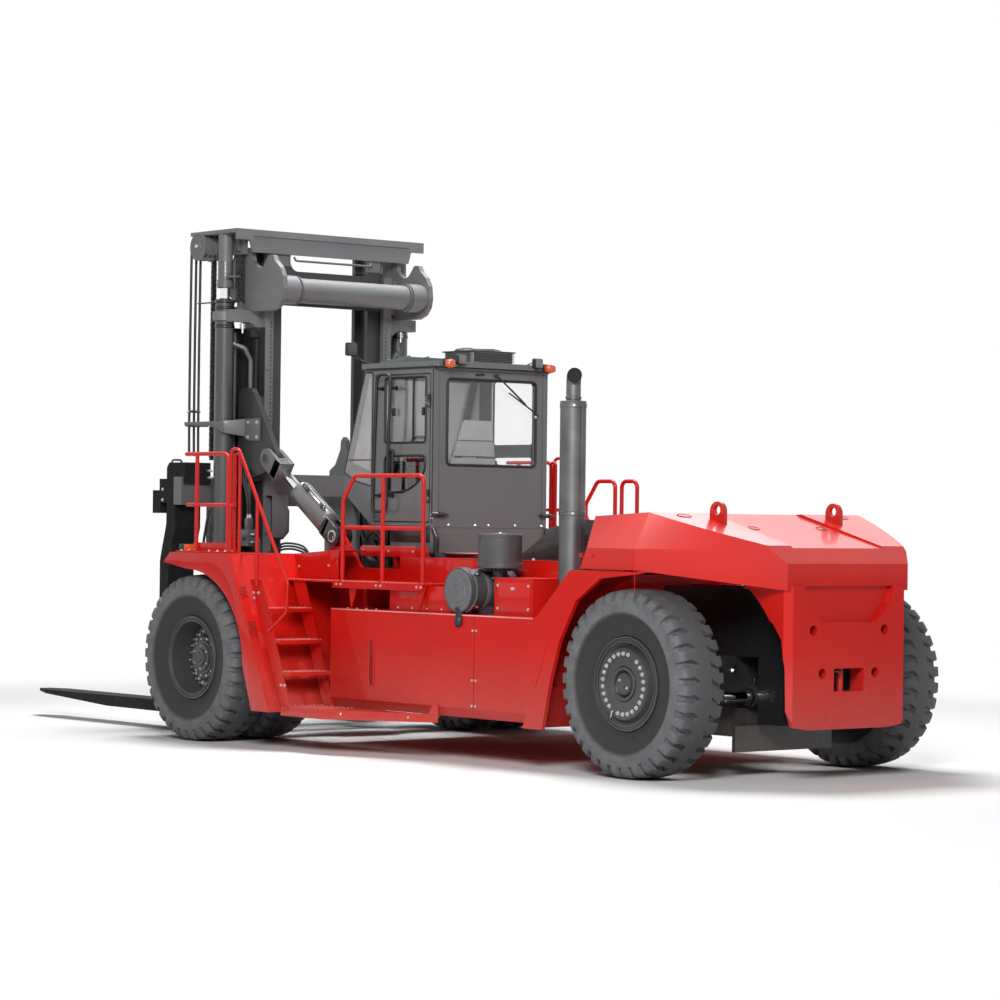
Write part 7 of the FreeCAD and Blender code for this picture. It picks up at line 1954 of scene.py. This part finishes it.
def steering_parts():
    """Steering cylinder on the axle beam with its ports, pipes, hoses and kingpin caps."""
    x, z = STEER_ROD_AT
    barrel = Shape()
    barrel.turned([(-0.34, 0.052), (-0.335, 0.082), (-0.29, 0.082), (-0.285, 0.072), (0.285, 0.072),
        (0.29, 0.082), (0.335, 0.082), (0.34, 0.052)], (x, 0, z), LEFT, 36)
    for y in (-0.24, 0.24):
        barrel.box((x - 0.022, y - 0.022, z + 0.06), (x + 0.022, y + 0.022, z + 0.100), 0.005)
    barrel.pipe([(x, 0.24, z + 0.10), (x, 0.24, z + 0.16), (x + 0.02, 0.10, z + 0.19),
        (x + 0.06, 0.02, z + 0.26)], 0.011)
    barrel.pipe([(x, -0.24, z + 0.10), (x, -0.24, z + 0.15), (x + 0.02, -0.10, z + 0.17),
        (x + 0.06, -0.03, z + 0.26)], 0.011)
    barrel.place("steering_cylinder", "chassis", black_gloss, "black_paint")
    hoses = Shape()
    for s in (1, -1):
        hoses.hose([(x + 0.06, 0.03 * s, z + 0.25), (x + 0.02, 0.06 * s, z + 0.36),
            (x - 0.05, 0.20 * s, z + 0.40), (x - 0.02, 0.32 * s, z + 0.44),
            (x + 0.10, 0.34 * s, z + 0.50)], 0.013)
        hoses.hose([(x - 0.01, 0.50 * s, z + 0.36), (x - 0.08, 0.55 * s, z + 0.28),
            (x - 0.09, 0.66 * s, z + 0.30), (x - 0.02, 0.76 * s, z + 0.36),
            (x + 0.10, 0.80 * s, z + 0.37)], 0.012)
    hoses.place("steering_hoses", "chassis", hose_cover, "black_plastic")
    caps = Shape()
    for s in (1, -1):
        for y in (0.62, 0.42):
            caps.bolt((REAR_X - 0.172, s * y, 0.93), AFT, 0.020)
        caps.bolt((x, s * 0.70, z + 0.052), UP, 0.024)
    caps.place("steer_axle_bolts", "chassis", zinc, "chrome")


steering_parts()


def frame_parts():
    """Cover bolts on the engine deck and lines along the frame."""
    bolts = Shape()
    for x in (-2.2, -2.6, -3.0):
        for y in (0.93, 0.75):
            bolts.bolt((x, y, 1.745), UP, 0.010)
    for x in (-3.5, -4.0, -4.4):
        bolts.bolt((x, 0.90, 1.745), UP, 0.010)
    bolts.mirrored().place("engine_deck_bolts", "chassis", zinc, "chrome")
    lines = Shape()
    for k in range(3):
        z = 1.905 - 0.028 * k
        lines.hose([(0.28, 0.90 - 0.02 * k, 1.80), (0.24, 0.90, z + 0.04), (0.05, 0.885, z + 0.06),
            (-0.16, 0.88, z + 0.02), (-0.26, 0.87, 1.80), (-0.30, 0.86, 1.70)], 0.011)
    lines.mirrored().place("frame_hoses", "chassis", hose_cover, "black_plastic")


frame_parts()


# ---- camera, floor and light ------------------------------------------------------------
CAMERA_AT = at(-26.257, 19.956, 2.245)
CAMERA_TURNS = (39.668, -0.337, 0.722)      # yaw, pitch and roll in degrees
CAMERA_LENS = 114.4                         # mm


def set_camera():
    """A long lens at standing height behind the left side."""
    yaw, pitch, roll = (math.radians(turn) for turn in CAMERA_TURNS)
    aim = Vector((math.cos(yaw) * math.cos(pitch), -math.sin(yaw) * math.cos(pitch),
        -math.sin(pitch)))
    right = aim.cross(UP).normalized()
    up = right.cross(aim)
    rolled_right = right * math.cos(roll) + up * math.sin(roll)
    rolled_up = up * math.cos(roll) - right * math.sin(roll)
    camera = bpy.data.objects.new("camera", bpy.data.cameras.new("camera"))
    camera.data.lens = CAMERA_LENS
    camera.data.clip_end = 200
    turn = Matrix((rolled_right, rolled_up, -aim)).transposed().to_4x4()
    camera.matrix_world = Matrix.Translation(CAMERA_AT) @ turn
    bpy.context.scene.collection.objects.link(camera)
    bpy.context.scene.camera = camera


STUDIO_HALF = 90.0
STUDIO_FADES = (6.5, 13.0)                  # distances from the middle


def set_floor():
    """Pale studio floor that fades into the white backdrop away from the truck."""
    mesh = bpy.data.meshes.new("studio_floor")
    size = STUDIO_HALF
    mesh.from_pydata([(-size, -size, 0), (size, -size, 0), (size, size, 0), (-size, size, 0)], [],
        [(0, 1, 2, 3)])
    floor = bpy.data.objects.new("studio_floor", mesh)
    bpy.context.scene.collection.objects.link(floor)
    material, tree, where = new_material("studio_floor")
    away = add(tree, "VectorMath", {0: where}, operation="LENGTH").outputs["Value"]
    fade = add(tree, "MapRange", {"Value": away, "From Min": STUDIO_FADES[0],
        "From Max": STUDIO_FADES[1]}, interpolation_type="SMOOTHSTEP").outputs[0]
    paper = add(tree, "BsdfDiffuse", {"Color": (0.8, 0.8, 0.8, 1)}).outputs[0]
    glow = add(tree, "Emission", {"Color": (1, 1, 1, 1), "Strength": 1.0}).outputs[0]
    seen = add(tree, "LightPath", {}).outputs["Is Camera Ray"]
    share = add(tree, "Math", {0: fade, 1: seen}, operation="MULTIPLY").outputs[0]
    mixed = add(tree, "MixShader", {0: share, 1: paper, 2: glow}).outputs[0]
    add(tree, "OutputMaterial", {"Surface": mixed})
    mesh.materials.append(material)


DOME_LIGHT = 0.09                           # the dome looks white but gives this much light
SOFT_BOXES = (                              # name, place, aim, side in metres, watts
    ("key_box", at(-19, 16, 12), at(-3, 0, 1), 7.0, 4200),
    ("top_box", at(0.5, -1, 14), at(-2.5, 0, 0), 5.0, 2400),
    ("far_box", at(2.0, -10.2, 11.2), at(-6.3, 0, 2.2), 7.0, 330))


def set_light():
    """White studio: a faint even dome and soft boxes over the left rear, the mast and the right."""
    world = bpy.data.worlds.new("studio")
    bpy.context.scene.world = world
    world.use_nodes = True
    tree = world.node_tree
    tree.nodes.clear()
    path = add(tree, "LightPath", {}).outputs
    seen = add(tree, "Math", {0: path["Is Camera Ray"], 1: path["Is Transmission Ray"]},
        operation="MAXIMUM").outputs[0]
    seen = add(tree, "Math", {0: seen, 1: path["Is Glossy Ray"]}, operation="MAXIMUM").outputs[0]
    strength = add(tree, "MapRange", {"Value": seen, "To Min": DOME_LIGHT,
        "To Max": 1.0}).outputs[0]
    sky = add(tree, "Background", {"Color": (1, 1, 1, 1), "Strength": strength})
    add(tree, "OutputWorld", {"Surface": sky.outputs[0]})
    for name, place, aim, size, power in SOFT_BOXES:
        lamp = bpy.data.lights.new(name, "AREA")
        lamp.shape, lamp.size, lamp.energy = "SQUARE", size, power
        box = bpy.data.objects.new(name, lamp)
        box.location = place
        box.rotation_euler = (aim - place).to_track_quat("-Z", "Y").to_euler()
        bpy.context.scene.collection.objects.link(box)


set_camera()
set_floor()
set_light()
bpy.context.scene.view_settings.view_transform = "Standard"
